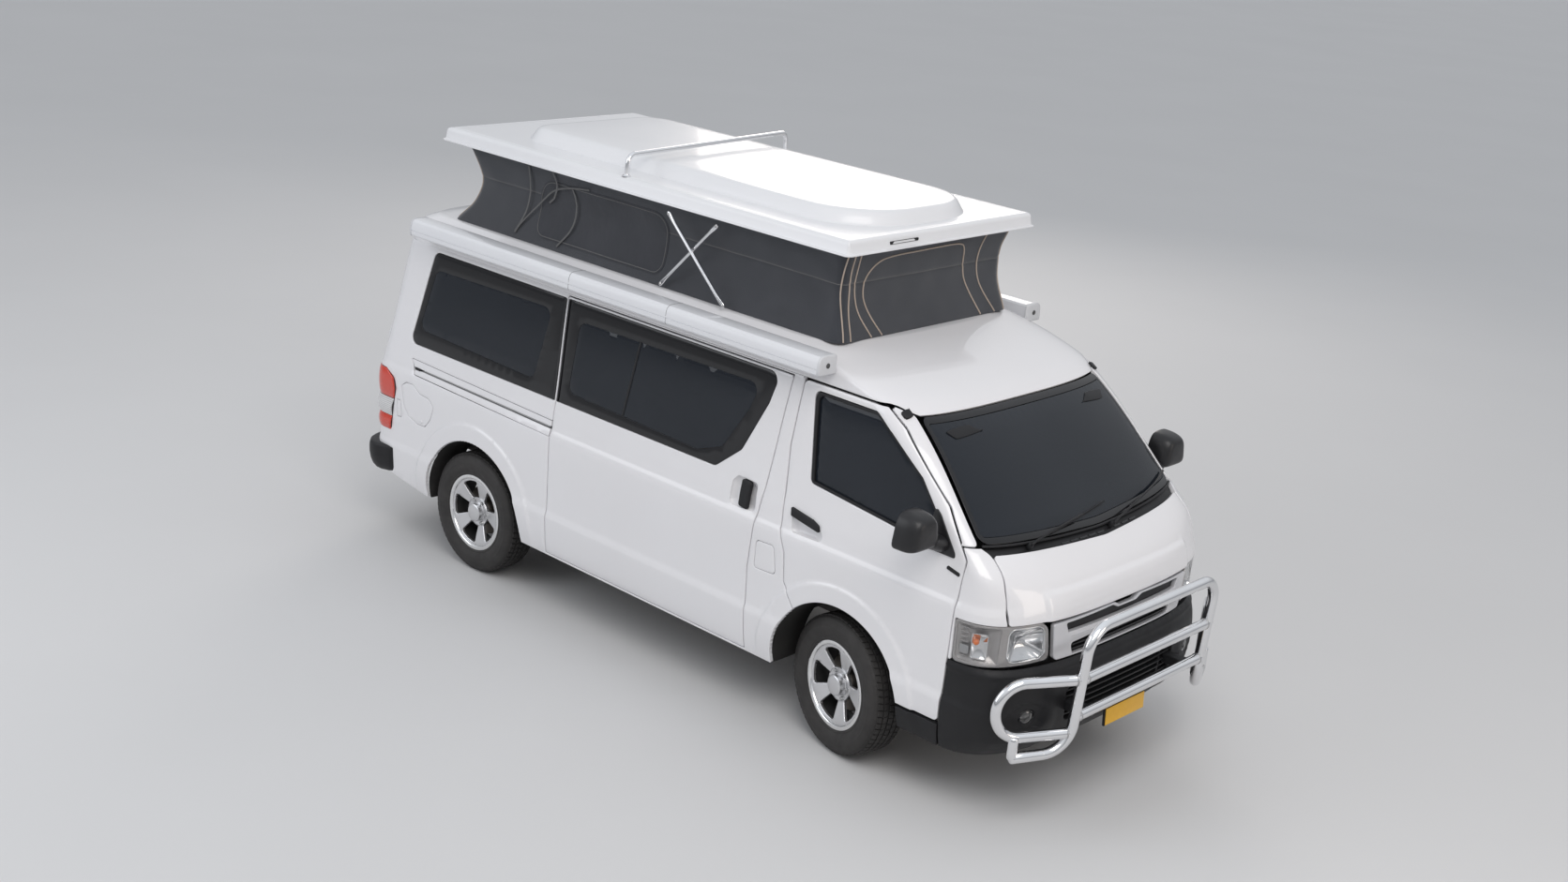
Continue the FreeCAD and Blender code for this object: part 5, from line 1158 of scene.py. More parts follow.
def makeBumper():
    f = bumperForm
    edge = [(f["seam"], z) for z in np.linspace(f["low"], f["strip"], 8)]
    edge += [(float(np.interp(z, (0.418, 0.941), (1.9035, 1.9224))), z)
             for z in np.linspace(0.42, f["top"], 16)]
    half = [(float(sideU("nose", x - float(bumperSwell(z)), z, 1)), z, 0) for x, z in edge]
    loop = roundLoop(half + [(-u, z, r) for u, z, r in half[::-1]], 0, 0.016)
    intake = [(y, z, 0.03) for y, z in ((-0.43, 0.605), (-0.415, 0.44), (0.415, 0.44),
                                        (0.43, 0.605))]
    holes = [frontLoop("nose", intake, 0, 0.014), fogLoop(-1, 0.043), fogLoop(1, 0.043)]
    rows = list(np.linspace(0.3, 0.735, 30))
    fitted("frontBumper", loop, holes, onBumper(), "blackPlastic", "chassis", "black_plastic",
           "front_bumper", rows=rows, grid=0.022, depth=0.03)
    for side, name in bothSides:
        x0 = arches[0][0] + arches[0][2]
        x1 = f["seam"] - 0.0045
        strip = mixedLoop(side, [(x0, 0.302, 0.01), (x1, 0.302, 0.004), (x1, f["strip"], 0.004),
                                 (x0 - 0.003, f["strip"], 0.004)], [])
        fitted("bumperStrip." + name, strip, [], onBody("nose", -0.004), "blackPlastic",
               "chassis", "black_plastic", depth=0.03)
        fitted("fogRing." + name, fogLoop(side, 0.0425), [fogLoop(side, 0.031)], onBumper(0.001),
               "blackGloss", "chassis", "black_plastic", lip=0.003, depth=0.03, grid=0.02)
        centre = fogLoop(side, 0.03).mean(0)
        p = bumperPoint(np.array([centre[0]]), np.array([centre[1]]))[0]
        forward = np.array([0.94, side * 0.34, 0.0])
        turned("fogDish." + name, [(-0.034, 0.0), (-0.03, 0.012), (-0.018, 0.024),
                                   (0.0, 0.031)], p[0] - forward * 0.004, forward,
               "reflector", body="chassis", slot="polished_steel")
        turned("fogLens." + name, [(0.006, 0.0), (0.0055, 0.012), (0.003, 0.024), (-0.002, 0.031),
                                   (-0.004, 0.031)], p[0] - forward * 0.003, forward,
               "smokeLens", body="chassis", slot="clear_lens")
    back = frontLoop("nose", [(-0.45, 0.62), (-0.44, 0.42), (0.44, 0.42), (0.45, 0.62)], 0.02)
    fitted("intakeBack", back, [], onBumper(0.055), "blackPlastic", "chassis", "black_plastic",
           grid=0.06)
    for k in range(5):
        z = 0.462 + 0.03 * k
        half = 0.418 + 0.01 * (z - 0.44) / 0.165
        slat = frontLoop("nose", oblong(-half, half, z, z + 0.009, 0.002), 0)
        fitted("intakeSlat%d" % k, slat, [], onBumper(0.01), "blackPlastic", "chassis",
               "black_plastic", lip=0.002, depth=0.03, grid=0.04)
    for side, name in bothSides:
        post = frontLoop("nose", [(side * y, z, 0.002) for y, z in (
            (0.325, 0.44), (0.335, 0.44), (0.337, 0.605), (0.327, 0.605))], 0)
        fitted("intakePost." + name, post, [], onBumper(0.012), "blackPlastic", "chassis",
               "black_plastic", lip=0.002, depth=0.03)


def fogLoop(side, radius):
    turns = np.radians(np.arange(0, 360, 12))
    y, z = 0.64 + radius * np.cos(turns), 0.508 + radius * 0.9 * np.sin(turns)
    return np.stack([frontU("nose", side * y, z), z], 1)


wiperForm = {"rubber": 0.0045, "arm": 0.0055, "pivots": ((-0.5, 1.2135), (0.08, 1.199)),
             "blades": ((-0.34, 0.105), (0.26, 0.7))}


# smooth line through points
def smoothPath(points, smooth):
    pts = [Vector(p) for p in points]
    path = []
    for i in range(len(pts) - 1):
        p0, p1, p2 = pts[max(i - 1, 0)], pts[i], pts[i + 1]
        p3 = pts[min(i + 2, len(pts) - 1)]
        for k in range(smooth):
            t = k / smooth
            path.append(0.5 * ((2 * p1) + (p2 - p0) * t + (2 * p0 - 5 * p1 + 4 * p2 - p3) * t * t
                               + (3 * p1 - p0 - 3 * p2 + p3) * t ** 3))
    path.append(pts[-1])
    return path


# round bar along a smooth line through points
def tube(name, points, radius, key, body=None, slot=None):
    return sweep(name, smoothPath(points, 10), radius, key, body, slot, steps=12)


# round bar along a dense path, with domed ends
def sweep(name, path, radius, key, body=None, slot=None, replaced=(), steps=16, caps=True):
    path = [Vector(p) for p in path]
    rows, normal = [], None
    for i, p in enumerate(path):
        along = (path[min(i + 1, len(path) - 1)] - path[max(i - 1, 0)]).normalized()
        if normal is None:
            normal = along.orthogonal().normalized()
        normal = (normal - along * normal.dot(along)).normalized()
        other = along.cross(normal)
        r = radius(i / (len(path) - 1)) if callable(radius) else radius

        def ring(centre, size):
            return [tuple(centre + normal * (size * math.cos(a)) + other * (size * math.sin(a)))
                    for a in np.linspace(0, 2 * math.pi, steps, endpoint=False)]
        if caps and i == 0:
            rows += [ring(p - along * r * 0.5 * math.sin(t), max(r * math.cos(t), 1e-6))
                     for t in (1.57, 1.1, 0.6)]
        rows.append(ring(p, r))
        if caps and i == len(path) - 1:
            rows += [ring(p + along * r * 0.5 * math.sin(t), max(r * math.cos(t), 1e-6))
                     for t in (0.6, 1.1, 1.57)]
    return gridMesh(name, rows, key, closed=True, body=body, slot=slot, replaced=replaced)


# straight runs joined by arcs, as a dense path
def roundedPath(points, bends, spacing=0.1):
    pts = [Vector(p) for p in points]
    path = [pts[0]]
    for i in range(1, len(pts) - 1):
        a, b = (pts[i - 1] - pts[i]).normalized(), (pts[i + 1] - pts[i]).normalized()
        bend = bends[i - 1] if isinstance(bends, (list, tuple)) else bends
        half = a.angle(b) / 2
        reach = bend / math.tan(half)
        centre = pts[i] + (a + b).normalized() * (bend / math.sin(half))
        first = pts[i] + a * reach - centre
        last = pts[i] + b * reach - centre
        sweepAngle = first.angle(last)
        count = max(4, int(sweepAngle / spacing))
        for k in range(count + 1):
            t = k / count
            path.append(centre + (first * math.sin((1 - t) * sweepAngle)
                                  + last * math.sin(t * sweepAngle)) / math.sin(sweepAngle))
    path.append(pts[-1])
    return path


def makeScuttle():
    loop = frontLoop("nose", [(-0.716, 1.199, 0.01), (0, 1.171, 1.0), (0.716, 1.199, 0.01),
                              (0.7385, 1.2365, 0.01), (0, 1.209, 1.0), (-0.7385, 1.2365, 0.01)])
    fitted("scuttle", loop, [], onBody("nose", 0.02), "blackPlastic", "chassis", "black_plastic",
           "cowl_panel", grid=0.03, depth=0.012)
    rail = []
    for t in np.linspace(-1, 1, 41):
        z = 1.2095 + 0.0275 * abs(t) ** 1.3
        rail.append(bodySpot("nose", frontU("nose", 0.73 * t, z), z, 0.005))
    sweep("screenSeal", rail, 0.0065, "blackPlastic", "chassis", "black_plastic",
          steps=10)
    for k in range(9):
        y0 = -0.3 + 0.012 + 0.066 * k
        slot = [(y0, 1.187 + 0.02 * abs(y0)), (y0 + 0.05, 1.187 + 0.02 * abs(y0 + 0.05)),
                (y0 + 0.05, 1.196 + 0.02 * abs(y0 + 0.05)), (y0, 1.196 + 0.02 * abs(y0))]
        fitted("scuttleVent%d" % k, frontLoop("nose", slot, 0.003), [], onBody("nose", 0.0165),
               "blackGloss", "chassis", "black_plastic", lip=0.002, depth=0.004)
    w = wiperForm
    for i in range(2):
        py, pz = w["pivots"][i]
        y0, y1 = w["blades"][i]

        def onGlass(y, z, out):
            return bodySpot("nose", frontU("nose", y, z), z, -out)

        def line(y):
            return 1.228 + 0.045 * (y - y0) / (y1 - y0) + 0.012 * abs(y)

        blade = [onGlass(y, line(y), 0.01) for y in np.linspace(y0, y1, 14)]
        sweep("wiperBlade%d" % i, blade, w["rubber"], "blackPlastic", "chassis",
              "black_plastic", steps=10)
        spine = [onGlass(y, line(y) + 0.001, 0.019 + 0.008 * math.sin(math.pi * (y - y0)
                 / (y1 - y0))) for y in np.linspace(y0 + 0.02, y1 - 0.02, 14)]
        sweep("wiperSpine%d" % i, spine, 0.003, "blackPlastic", "chassis",
              "black_plastic", steps=8)
        middle = (y0 + y1) / 2
        points = [onGlass(py, pz - 0.004, 0.012), onGlass(py + 0.02, pz + 0.004, 0.026),
                  onGlass((py + middle) / 2, (pz + line(middle)) / 2 + 0.004, 0.04),
                  onGlass(middle, line(middle) + 0.001, 0.03)]
        tube("wiperArm%d" % i, points, w["arm"], "blackPlastic", "chassis",
             "black_plastic")
        spot, n = bodyPoint("nose", frontU("nose", np.array([py]), np.array([pz])),
                            np.array([pz]), 0.004)
        turned("wiperPivot%d" % i, [(-0.01, 0.013), (0.01, 0.013), (0.016, 0.009), (0.018, 0.0)],
               spot[0], n[0], "blackPlastic", steps=20, body="chassis",
               slot="black_plastic")


makeLamps()
makeGrille()
makeBumper()
makeScuttle()
print("stage: front end made")

# pop-top: lid, cross bar, canvas, struts and awnings


# closed plan outline with a fixed number of points, starting at the low corner
def softRect(x0, x1, y0, y1, radii, arc=8, alongX=40, alongY=20):
    corners = [(x0, y0, 180), (x1, y0, 270), (x1, y1, 0), (x0, y1, 90)]
    points = []
    for k, (cx, cy, start) in enumerate(corners):
        r = max(radii[k], 1e-4)
        mx, my = cx + (r if k in (0, 3) else -r), cy + (r if k in (0, 1) else -r)
        for a in np.radians(np.linspace(start, start + 90, arc)):
            points.append((mx + r * math.cos(a), my + r * math.sin(a)))
        nx, ny, _ = corners[(k + 1) % 4]
        q = max(radii[(k + 1) % 4], 1e-4)
        count = alongX if k % 2 == 0 else alongY
        end = {0: (nx - q, ny), 1: (nx, ny - q), 2: (nx + q, ny), 3: (nx, ny + q)}[k]
        last = points[-1]
        points += [(last[0] + (end[0] - last[0]) * t, last[1] + (end[1] - last[1]) * t)
                   for t in np.linspace(0, 1, count + 2)[1:-1]]
    return np.array(points)


lidForm = {"x": (-1.912, 1.013), "half": 0.699, "low": 2.2855, "corner": 0.032,
           "edge": [(0.05, 2.2875), (0.01, 2.2862), (0.002, 2.2868), (0.0, 2.2895),
                    (0.001, 2.2935), (0.006, 2.2955), (0.012, 2.2975), (0.0145, 2.302),
                    (0.019, 2.334), (0.0215, 2.3425), (0.027, 2.35), (0.036, 2.3545),
                    (0.048, 2.3555), (0.0515, 2.3548), (0.0535, 2.3536), (0.0555, 2.3548),
                    (0.059, 2.3555), (0.075, 2.3555)],
           "dome": [(-0.013, 2.355), (-0.004, 2.3562), (0.0, 2.36), (0.006, 2.37),
                    (0.02, 2.392), (0.03, 2.405), (0.044, 2.4155), (0.064, 2.4205),
                    (0.095, 2.4222)],
           "domeX": (-1.535, 0.896), "domeHalf": 0.497, "domeRear": 0.2, "domeFront": 0.375,
           "crown": 0.0035}


# stack of soft rectangles: levels are (x0, x1, half, z, inset)
def rings(name, levels, radii, key, capTop=True, capLow=True, counts=(8, 40, 20), body=None,
          slot=None, replaced=(), angle=40):
    rows = []
    for x0, x1, half, z, inset in levels:
        r = [max(q - inset, 0.004) for q in radii]
        flat = softRect(x0 + inset, x1 - inset, -half + inset, half - inset, r, *counts)
        rows.append(np.column_stack([flat, np.full(len(flat), z)]))
    for cap, at in ((capTop, -1), (capLow, 0)):
        if not cap:
            continue
        base = rows[at]
        middle = base.mean(0)
        extra = [middle + (base - middle) * t for t in (0.8, 0.55, 0.3, 0.12, 0.0001)]
        if at:
            for i, one in enumerate(extra):
                one[:, 2] += cap * (1 - (0.8, 0.55, 0.3, 0.12, 0.0)[i] ** 2)
            rows += extra
        else:
            rows = extra[::-1] + rows
    return gridMesh(name, rows, key, closed=True, body=body, slot=slot, replaced=replaced,
                    angle=angle)


def makeLid():
    f = lidForm
    edge = [(0.056, 2.33)] + f["edge"]
    levels = [(f["x"][0], f["x"][1], f["half"], z, inset) for inset, z in edge]
    rings("lid", levels, [f["corner"]] * 4, "grp", capTop=0.0005, capLow=0.0005,
          body="pop_top", slot="grp", replaced=("pop_top_lid",), angle=32)
    levels = [(f["domeX"][0], f["domeX"][1], f["domeHalf"], z, inset) for inset, z in f["dome"]]
    radii = [f["domeRear"], f["domeFront"], f["domeFront"], f["domeRear"]]
    rings("lidDome", levels, radii, "grp", capTop=f["crown"], capLow=0.0001,
          counts=(16, 40, 12), body="pop_top", slot="grp", angle=32)
    slot = softRect(-0.006, 0.008, -0.4, -0.2, [0.004] * 4, 4, 4, 8)
    rows = [np.column_stack([np.full(len(slot), 0.9935 + t), slot[:, 1], 2.318 + slot[:, 0]])
            for t in (-0.012, 0.0045, 0.006)]
    rows.append(rows[-1].mean(0) + (rows[-1] - rows[-1].mean(0)) * 0.7 - np.array([0.004, 0, 0]))
    gridMesh("lidSlot", rows, "blackPlastic", closed=True, caps=True, body="pop_top",
             slot="black_plastic")
    for side, x in ((-1, -0.498), (1, -0.648)):
        turned("barFoot%d" % side, [(0.0, 0.022), (0.004, 0.022), (0.007, 0.019), (0.008, 0.0)],
               (x, side * 0.6495, 2.3553), (0, 0, 1), "polished", steps=28,
               body="pop_top", slot="polished_steel")


canvasForm = {"z": (1.8625, 2.3335), "half": 0.639, "front": 0.952, "rear": -1.826,
              "corner": 0.062, "neck": 0.05, "rearNeck": 0.12, "rearFoot": 0.04,
              "thick": 0.003, "rows": 34, "seam": 2.122,
              "lineReach": (1.866, 2.331)}


# half width, front, rear and corner of the canvas at a height
def canvasShape(z):
    f = canvasForm
    t = (np.asarray(z, float) - f["z"][0]) / (f["z"][1] - f["z"][0])
    pull = np.sin(np.pi * np.clip(t, 0, 1)) ** 1.15
    low = np.clip(1 - t / 0.35, 0, 1) ** 2
    return (f["half"] - f["neck"] * pull, f["front"] - f["neck"] * pull,
            f["rear"] + f["rearNeck"] * pull - f["rearFoot"] * low, f["corner"] - 0.02 * pull)


def canvasRing(z, inset=0.0):
    w, front, rear, r = (float(v) for v in canvasShape(z))
    flat = softRect(rear + inset, front - inset, -w + inset, w - inset, [r - inset] * 4, 10, 96,
                    40)
    return np.column_stack([flat, np.full(len(flat), z)])


# small tension folds and slack waves, pushed out along the ring
def canvasFolds(points):
    x, y, z = points.T
    f = canvasForm
    t = (z - f["z"][0]) / (f["z"][1] - f["z"][0])
    free = np.sin(np.pi * np.clip(t, 0, 1)) ** 0.8
    onSide = step(np.abs(y), 0.5, 0.57)
    p = np.where(onSide > 0.5, x, y)
    waves = np.sin(p * 7.1 + 1.9 * np.sin(t * 3.0 + p)) * 0.0022
    waves += np.sin(p * 17.3 + t * 5.1 + 2.0 * np.sin(p * 3.1)) * 0.0011
    waves += np.sin(p * 31.7 - t * 9.0) * 0.0006 * step(t, 0.1, 0.4)
    ends = np.minimum(np.abs(x - f["front"] + 0.05), np.abs(x - f["rear"] - 0.08))
    slant = np.sin((x * 16 + z * 30)) * 0.003 * np.exp(-(ends / 0.22) ** 2) * onSide
    pinch = -0.003 * np.exp(-((z - f["seam"]) / 0.006) ** 2)
    return (waves + slant) * free + pinch


# surface for panels on the long walls: u is -side * x
def canvasSide(side, sink=0.0):
    def surface(u, z):
        w = canvasShape(z)[0]
        x = -side * u
        p = np.stack([x, side * w, z], -1)
        flat = p.reshape(-1, 3)
        out = canvasFolds(flat).reshape(np.shape(z))
        slope = (canvasShape(z + 1e-4)[0] - w) / 1e-4
        n = np.stack([np.zeros_like(z), side * np.ones_like(z), -slope], -1)
        n /= np.linalg.norm(n, axis=-1, keepdims=True)
        return p + n * (out - sink)[..., None], n
    return surface


# a point on the canvas: kind says which wall, a is Y on the ends and X on the sides
def canvasSpot(kind, a, z, out=0.0):
    w, front, rear, r = (float(v) for v in canvasShape(z))
    if kind in ("front", "rear"):
        sign = 1 if kind == "front" else -1
        over = max(abs(a) - (w - r), 0.0)
        over = min(over, r)
        x = (front if sign > 0 else rear) - sign * (r - math.sqrt(max(r * r - over * over, 0)))
        normal = np.array([sign * math.sqrt(max(r * r - over * over, 0)) / r,
                           math.copysign(over / r, a), 0.0])
        p = np.array([x, math.copysign(min(abs(a), w), a), z])
    else:
        sign = 1 if kind == "left" else -1
        p, normal = np.array([a, sign * w, z]), np.array([0.0, sign, 0.0])
    return p + normal * (out + float(canvasFolds(p[None])[0]))


def canvasPiece(made, *replaced):
    placeOn(made, "pop_top", *replaced, slot="canvas")
    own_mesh(made)
    return made


# piping or seam along points (a, z) on one wall
def canvasLine(name, kind, points, radius, key):
    low, high = canvasForm["lineReach"]
    path = [canvasSpot(kind, p.x, min(max(p.y, low), high), radius * 0.5)
            for p in smoothPath([(a, z, 0) for a, z in points], 8)]
    return canvasPiece(sweep(name, path, radius, key, steps=8))


# level outward directions along a ring
def ringNormals(ring):
    along = np.roll(ring, -1, 0) - np.roll(ring, 1, 0)
    normal = np.stack([along[:, 1], -along[:, 0], np.zeros(len(ring))], 1)
    return normal / np.linalg.norm(normal, axis=1, keepdims=True)


def makeCanvas():
    f = canvasForm
    heights = list(np.linspace(f["z"][0], f["z"][1], f["rows"]))
    heights += [f["seam"] + 0.003 * k for k in range(-2, 3)]
    heights = sorted(set(round(h, 5) for h in heights))
    rows, back = [], []
    for z in heights:
        ring = canvasRing(z)
        normal, out = ringNormals(ring), canvasFolds(ring)
        rows.append(ring + normal * out[:, None])
        back.append(ring + normal * (out - f["thick"])[:, None])
    grid = rows + back[::-1] + [rows[0]]
    made = gridMesh("canvasWall", grid, "canvas", closed=True, angle=60)
    canvasPiece(made, "canvas")
    round0 = float(np.linalg.norm(np.roll(rows[0], -1, 0) - rows[0], axis=1).sum())
    tall = float(np.linalg.norm(np.diff(np.array([r[60] for r in rows]), axis=0), axis=1).sum())
    path = canvasRing(f["seam"])
    normal = ringNormals(path)
    path = path + normal * (canvasFolds(path) + 0.0012)[:, None]
    section = [(0.0, 0.0022), (0.0012, 0.0), (0.0, -0.0022), (-0.0012, 0.0)]
    bands = [path + normal * a + np.array([0, 0, b]) for a, b in section]
    made = gridMesh("canvasSeam", np.array(bands + [bands[0]]), "thread", closed=True)
    canvasPiece(made)
    for side, name in bothSides:
        for k, (x0, x1) in enumerate(((-1.2, -0.23), (0.28, 0.8))[:1 if side < 0 else 2]):
            corners = [(x0, 1.905, 0.07), (x1, 1.905, 0.07), (x1, 2.215, 0.1), (x0, 2.215, 0.12)]
            loop = roundLoop([(-side * x, z, r) for x, z, r in corners], 0, 0.012)
            made = panel("flap%d.%s" % (k, name), loop, [], canvasSide(side, -0.0026),
                         "canvasDark", lip=0.0012, depth=0.0022, grid=0.03)
            canvasPiece(made)
            edge = [(-side * u, z) for u, z in moveLoop(loop, -0.012)]
            path = [canvasSpot(name, a, z, 0.0034) for a, z in edge]
            path.append(path[0])
            canvasPiece(sweep("flapZip%d.%s" % (k, name), path, 0.0024, "thread",
                              steps=8, caps=False))
        straps = [[(-1.265, 2.262), (-1.262, 2.2), (-1.268, 2.1), (-1.29, 2.0),
                   (-1.345, 1.895)],
                  [(-1.075, 2.272), (-1.045, 2.2), (-1.075, 2.13), (-1.125, 2.09)],
                  [(-0.935, 2.205), (-0.905, 2.15), (-0.9, 2.06), (-0.93, 1.98),
                   (-1.005, 1.89)],
                  [(-1.34, 1.895), (-1.3, 1.955), (-1.215, 2.045), (-1.09, 2.155),
                   (-0.96, 2.2), (-0.8, 2.222)]]
        for k, points in enumerate(straps):
            made = strap("canvasStrap%d.%s" % (k, name), name, points, 0.011 if k < 3 else 0.009)
            canvasPiece(made)
    lines = [[(-0.6, 2.325), (-0.585, 2.2), (-0.58, 2.1), (-0.585, 1.98), (-0.6, 1.868)],
             [(-0.56, 2.325), (-0.548, 2.2), (-0.545, 2.1), (-0.548, 1.98), (-0.555, 1.868)],
             [(-0.52, 2.325), (-0.505, 2.2), (-0.5, 2.08), (-0.48, 1.98), (-0.41, 1.868)],
             [(-0.335, 1.868), (-0.4, 1.96), (-0.44, 2.05), (-0.432, 2.14), (-0.375, 2.205),
              (-0.28, 2.228), (0.0, 2.236), (0.2, 2.236), (0.262, 2.205), (0.285, 2.12),
              (0.31, 2.03), (0.408, 1.868)],
             [(0.44, 2.325), (0.405, 2.24), (0.395, 2.13), (0.425, 2.01), (0.52, 1.868)],
             [(0.6, 2.325), (0.585, 2.2), (0.58, 2.1), (0.585, 1.98), (0.6, 1.868)]]
    for kind in ("front", "rear"):
        for k, points in enumerate(lines):
            canvasLine("piping%d.%s" % (k, kind), kind, points, 0.0036, "piping")


# flat webbing that follows the canvas a little way off it
def strap(name, wall, points, width):
    dense = smoothPath([(a, z, 0) for a, z in points], 8)
    rows = []
    for i, p in enumerate(dense):
        along = (dense[min(i + 1, len(dense) - 1)] - dense[max(i - 1, 0)]).normalized()
        across = Vector((-along.y, along.x, 0))
        lift = 0.006 + 0.012 * math.sin(math.pi * i / (len(dense) - 1))
        row = []
        for a, b in ((-0.5, 0), (0.5, 0), (0.5, 1), (-0.5, 1)):
            q = p + across * (a * width)
            row.append(canvasSpot(wall, q.x, q.y, lift + 0.0016 * b))
        rows.append(row)
    return gridMesh(name, rows, "webbing", closed=True, caps=True, angle=50)


awningForm = {"outline": [(0.7665, 1.7795), (0.8785, 1.7805), (0.8838, 1.788), (0.8835, 1.81),
                          (0.882, 1.835), (0.876, 1.856), (0.864, 1.867), (0.848, 1.8705),
                          (0.79, 1.8705), (0.776, 1.868), (0.7665, 1.86)],
              "groove": [(0.884, 1.8085), (0.8815, 1.809), (0.8815, 1.8115), (0.884, 1.812)],
              "joints": (-0.62, 0.08), "rear": -1.904}


# cassette sections along the roof edges, with a shadow groove, skirt and end caps
def makeAwnings():
    section = np.array(awningForm["outline"])
    outline = np.concatenate([section[:3], awningForm["groove"], section[4:]])
    for side, name, front in ((-1, "right", 1.05), (1, "left", 0.962)):
        rear = awningForm["rear"]
        rows = []
        for x in [rear] + list(np.linspace(rear + 0.02, front - 0.02, 12)) + [front]:
            rows.append([(x, side * y, z) for y, z in outline])
        gridMesh("awning." + name, rows, "awning", closed=True, caps=True, angle=28,
                 body="chassis", slot="trim", replaced=("awnings",) if side < 0 else ())
        middle = outline.mean(0)
        for end, x in ((-1, rear), (1, front)):
            cap = []
            for dx, grow in ((0.0, 1.02), (0.004, 1.03), (0.01, 1.02), (0.0135, 0.96),
                             (0.0145, 0.85), (0.0145, 0.01)):
                cap.append([(x + end * dx, side * (middle[0] + (y - middle[0]) * grow),
                             middle[1] + (z - middle[1]) * grow) for y, z in section])
            gridMesh("awningCap%d.%s" % (end, name), cap, "awningCap", closed=True,
                     angle=40, body="chassis", slot="trim")
            spot = (x + end * 0.0145, side * 0.826, 1.824)
            turned("awningScrew%d.%s" % (end, name), [(0.0, 0.012), (0.002, 0.012),
                                                      (0.003, 0.01), (0.003, 0.0)], spot,
                   (end, 0, 0), "trim", steps=20, body="chassis", slot="trim")
        for k, x in enumerate(awningForm["joints"] if side < 0 else ()):
            rows = []
            for dx in (-0.0012, 0.0012):
                rows.append([(x + dx, side * (middle[0] + (y - middle[0]) * 1.012),
                              middle[1] + (z - middle[1]) * 1.012) for y, z in section])
            gridMesh("awningJoint%d.%s" % (k, name), rows, "seam", closed=True,
                     caps=True, body="chassis", slot="trim")
        rows = []
        for x in (rear + 0.03, front - 0.03):
            rows.append([(x, side * y, z) for y, z in ((0.772, 1.7805), (0.86, 1.7805),
                                                       (0.862, 1.7745), (0.774, 1.7745))])
        gridMesh("awningSkirt." + name, rows, "blackPlastic", closed=True, caps=True,
                 body="chassis", slot="trim")


# polished flat-ended tubes with pivot bolts, one pair on each side
def makeStruts():
    low, high = 1.886, 2.245
    arms = {"fore": (0.255, -0.145, 0.686), "aft": (-0.195, 0.155, 0.664)}
    for key, (xLow, xHigh, y) in arms.items():
        for side, name in bothSides:
            body = "strut_%s_%s" % (key, name)
            a = np.array([xLow, side * y, low])
            b = np.array([xHigh, side * y, high])
            d = (b - a) / np.linalg.norm(b - a)
            span = np.linalg.norm(b - a)
            rows = []
            side3 = np.array([0.0, side, 0.0])
            up = np.cross(d, side3)
            places = [-0.011, -0.008, 0.0, 0.014, 0.034, 0.06, span - 0.06, span - 0.034,
                      span - 0.014, span, span + 0.008, span + 0.011]
            flats = [0.55, 0.9, 1.25, 1.25, 1.15, 1.0, 1.0, 1.15, 1.25, 1.25, 0.9, 0.55]
            thin = [0.42, 0.42, 0.42, 0.42, 0.8, 1.0, 1.0, 0.8, 0.42, 0.42, 0.42, 0.42]
            for s, wide, slim in zip(places, flats, thin):
                rows.append([a + d * s + up * (0.0088 * wide * math.cos(t))
                             + side3 * (0.0088 * slim * math.sin(t))
                             for t in np.linspace(0, 2 * math.pi, 20, endpoint=False)])
            gridMesh("strut.%s.%s" % (key, name), rows, "polished", closed=True,
                     caps=True, body=body, slot="polished_steel", replaced=(body,))
            for k, spot in enumerate((a, b)):
                turned("strutBolt%d.%s.%s" % (k, key, name),
                       [(-0.0078, 0.0), (-0.0078, 0.0065), (-0.006, 0.0078), (0.006, 0.0078),
                        (0.0078, 0.0065), (0.0078, 0.0)], spot, side3, "steel", steps=6,
                       body=body, slot="polished_steel", angle=25)


makeLid()
makeCanvas()
makeAwnings()
makeStruts()
print("stage: pop-top made")

# wheels and tyres


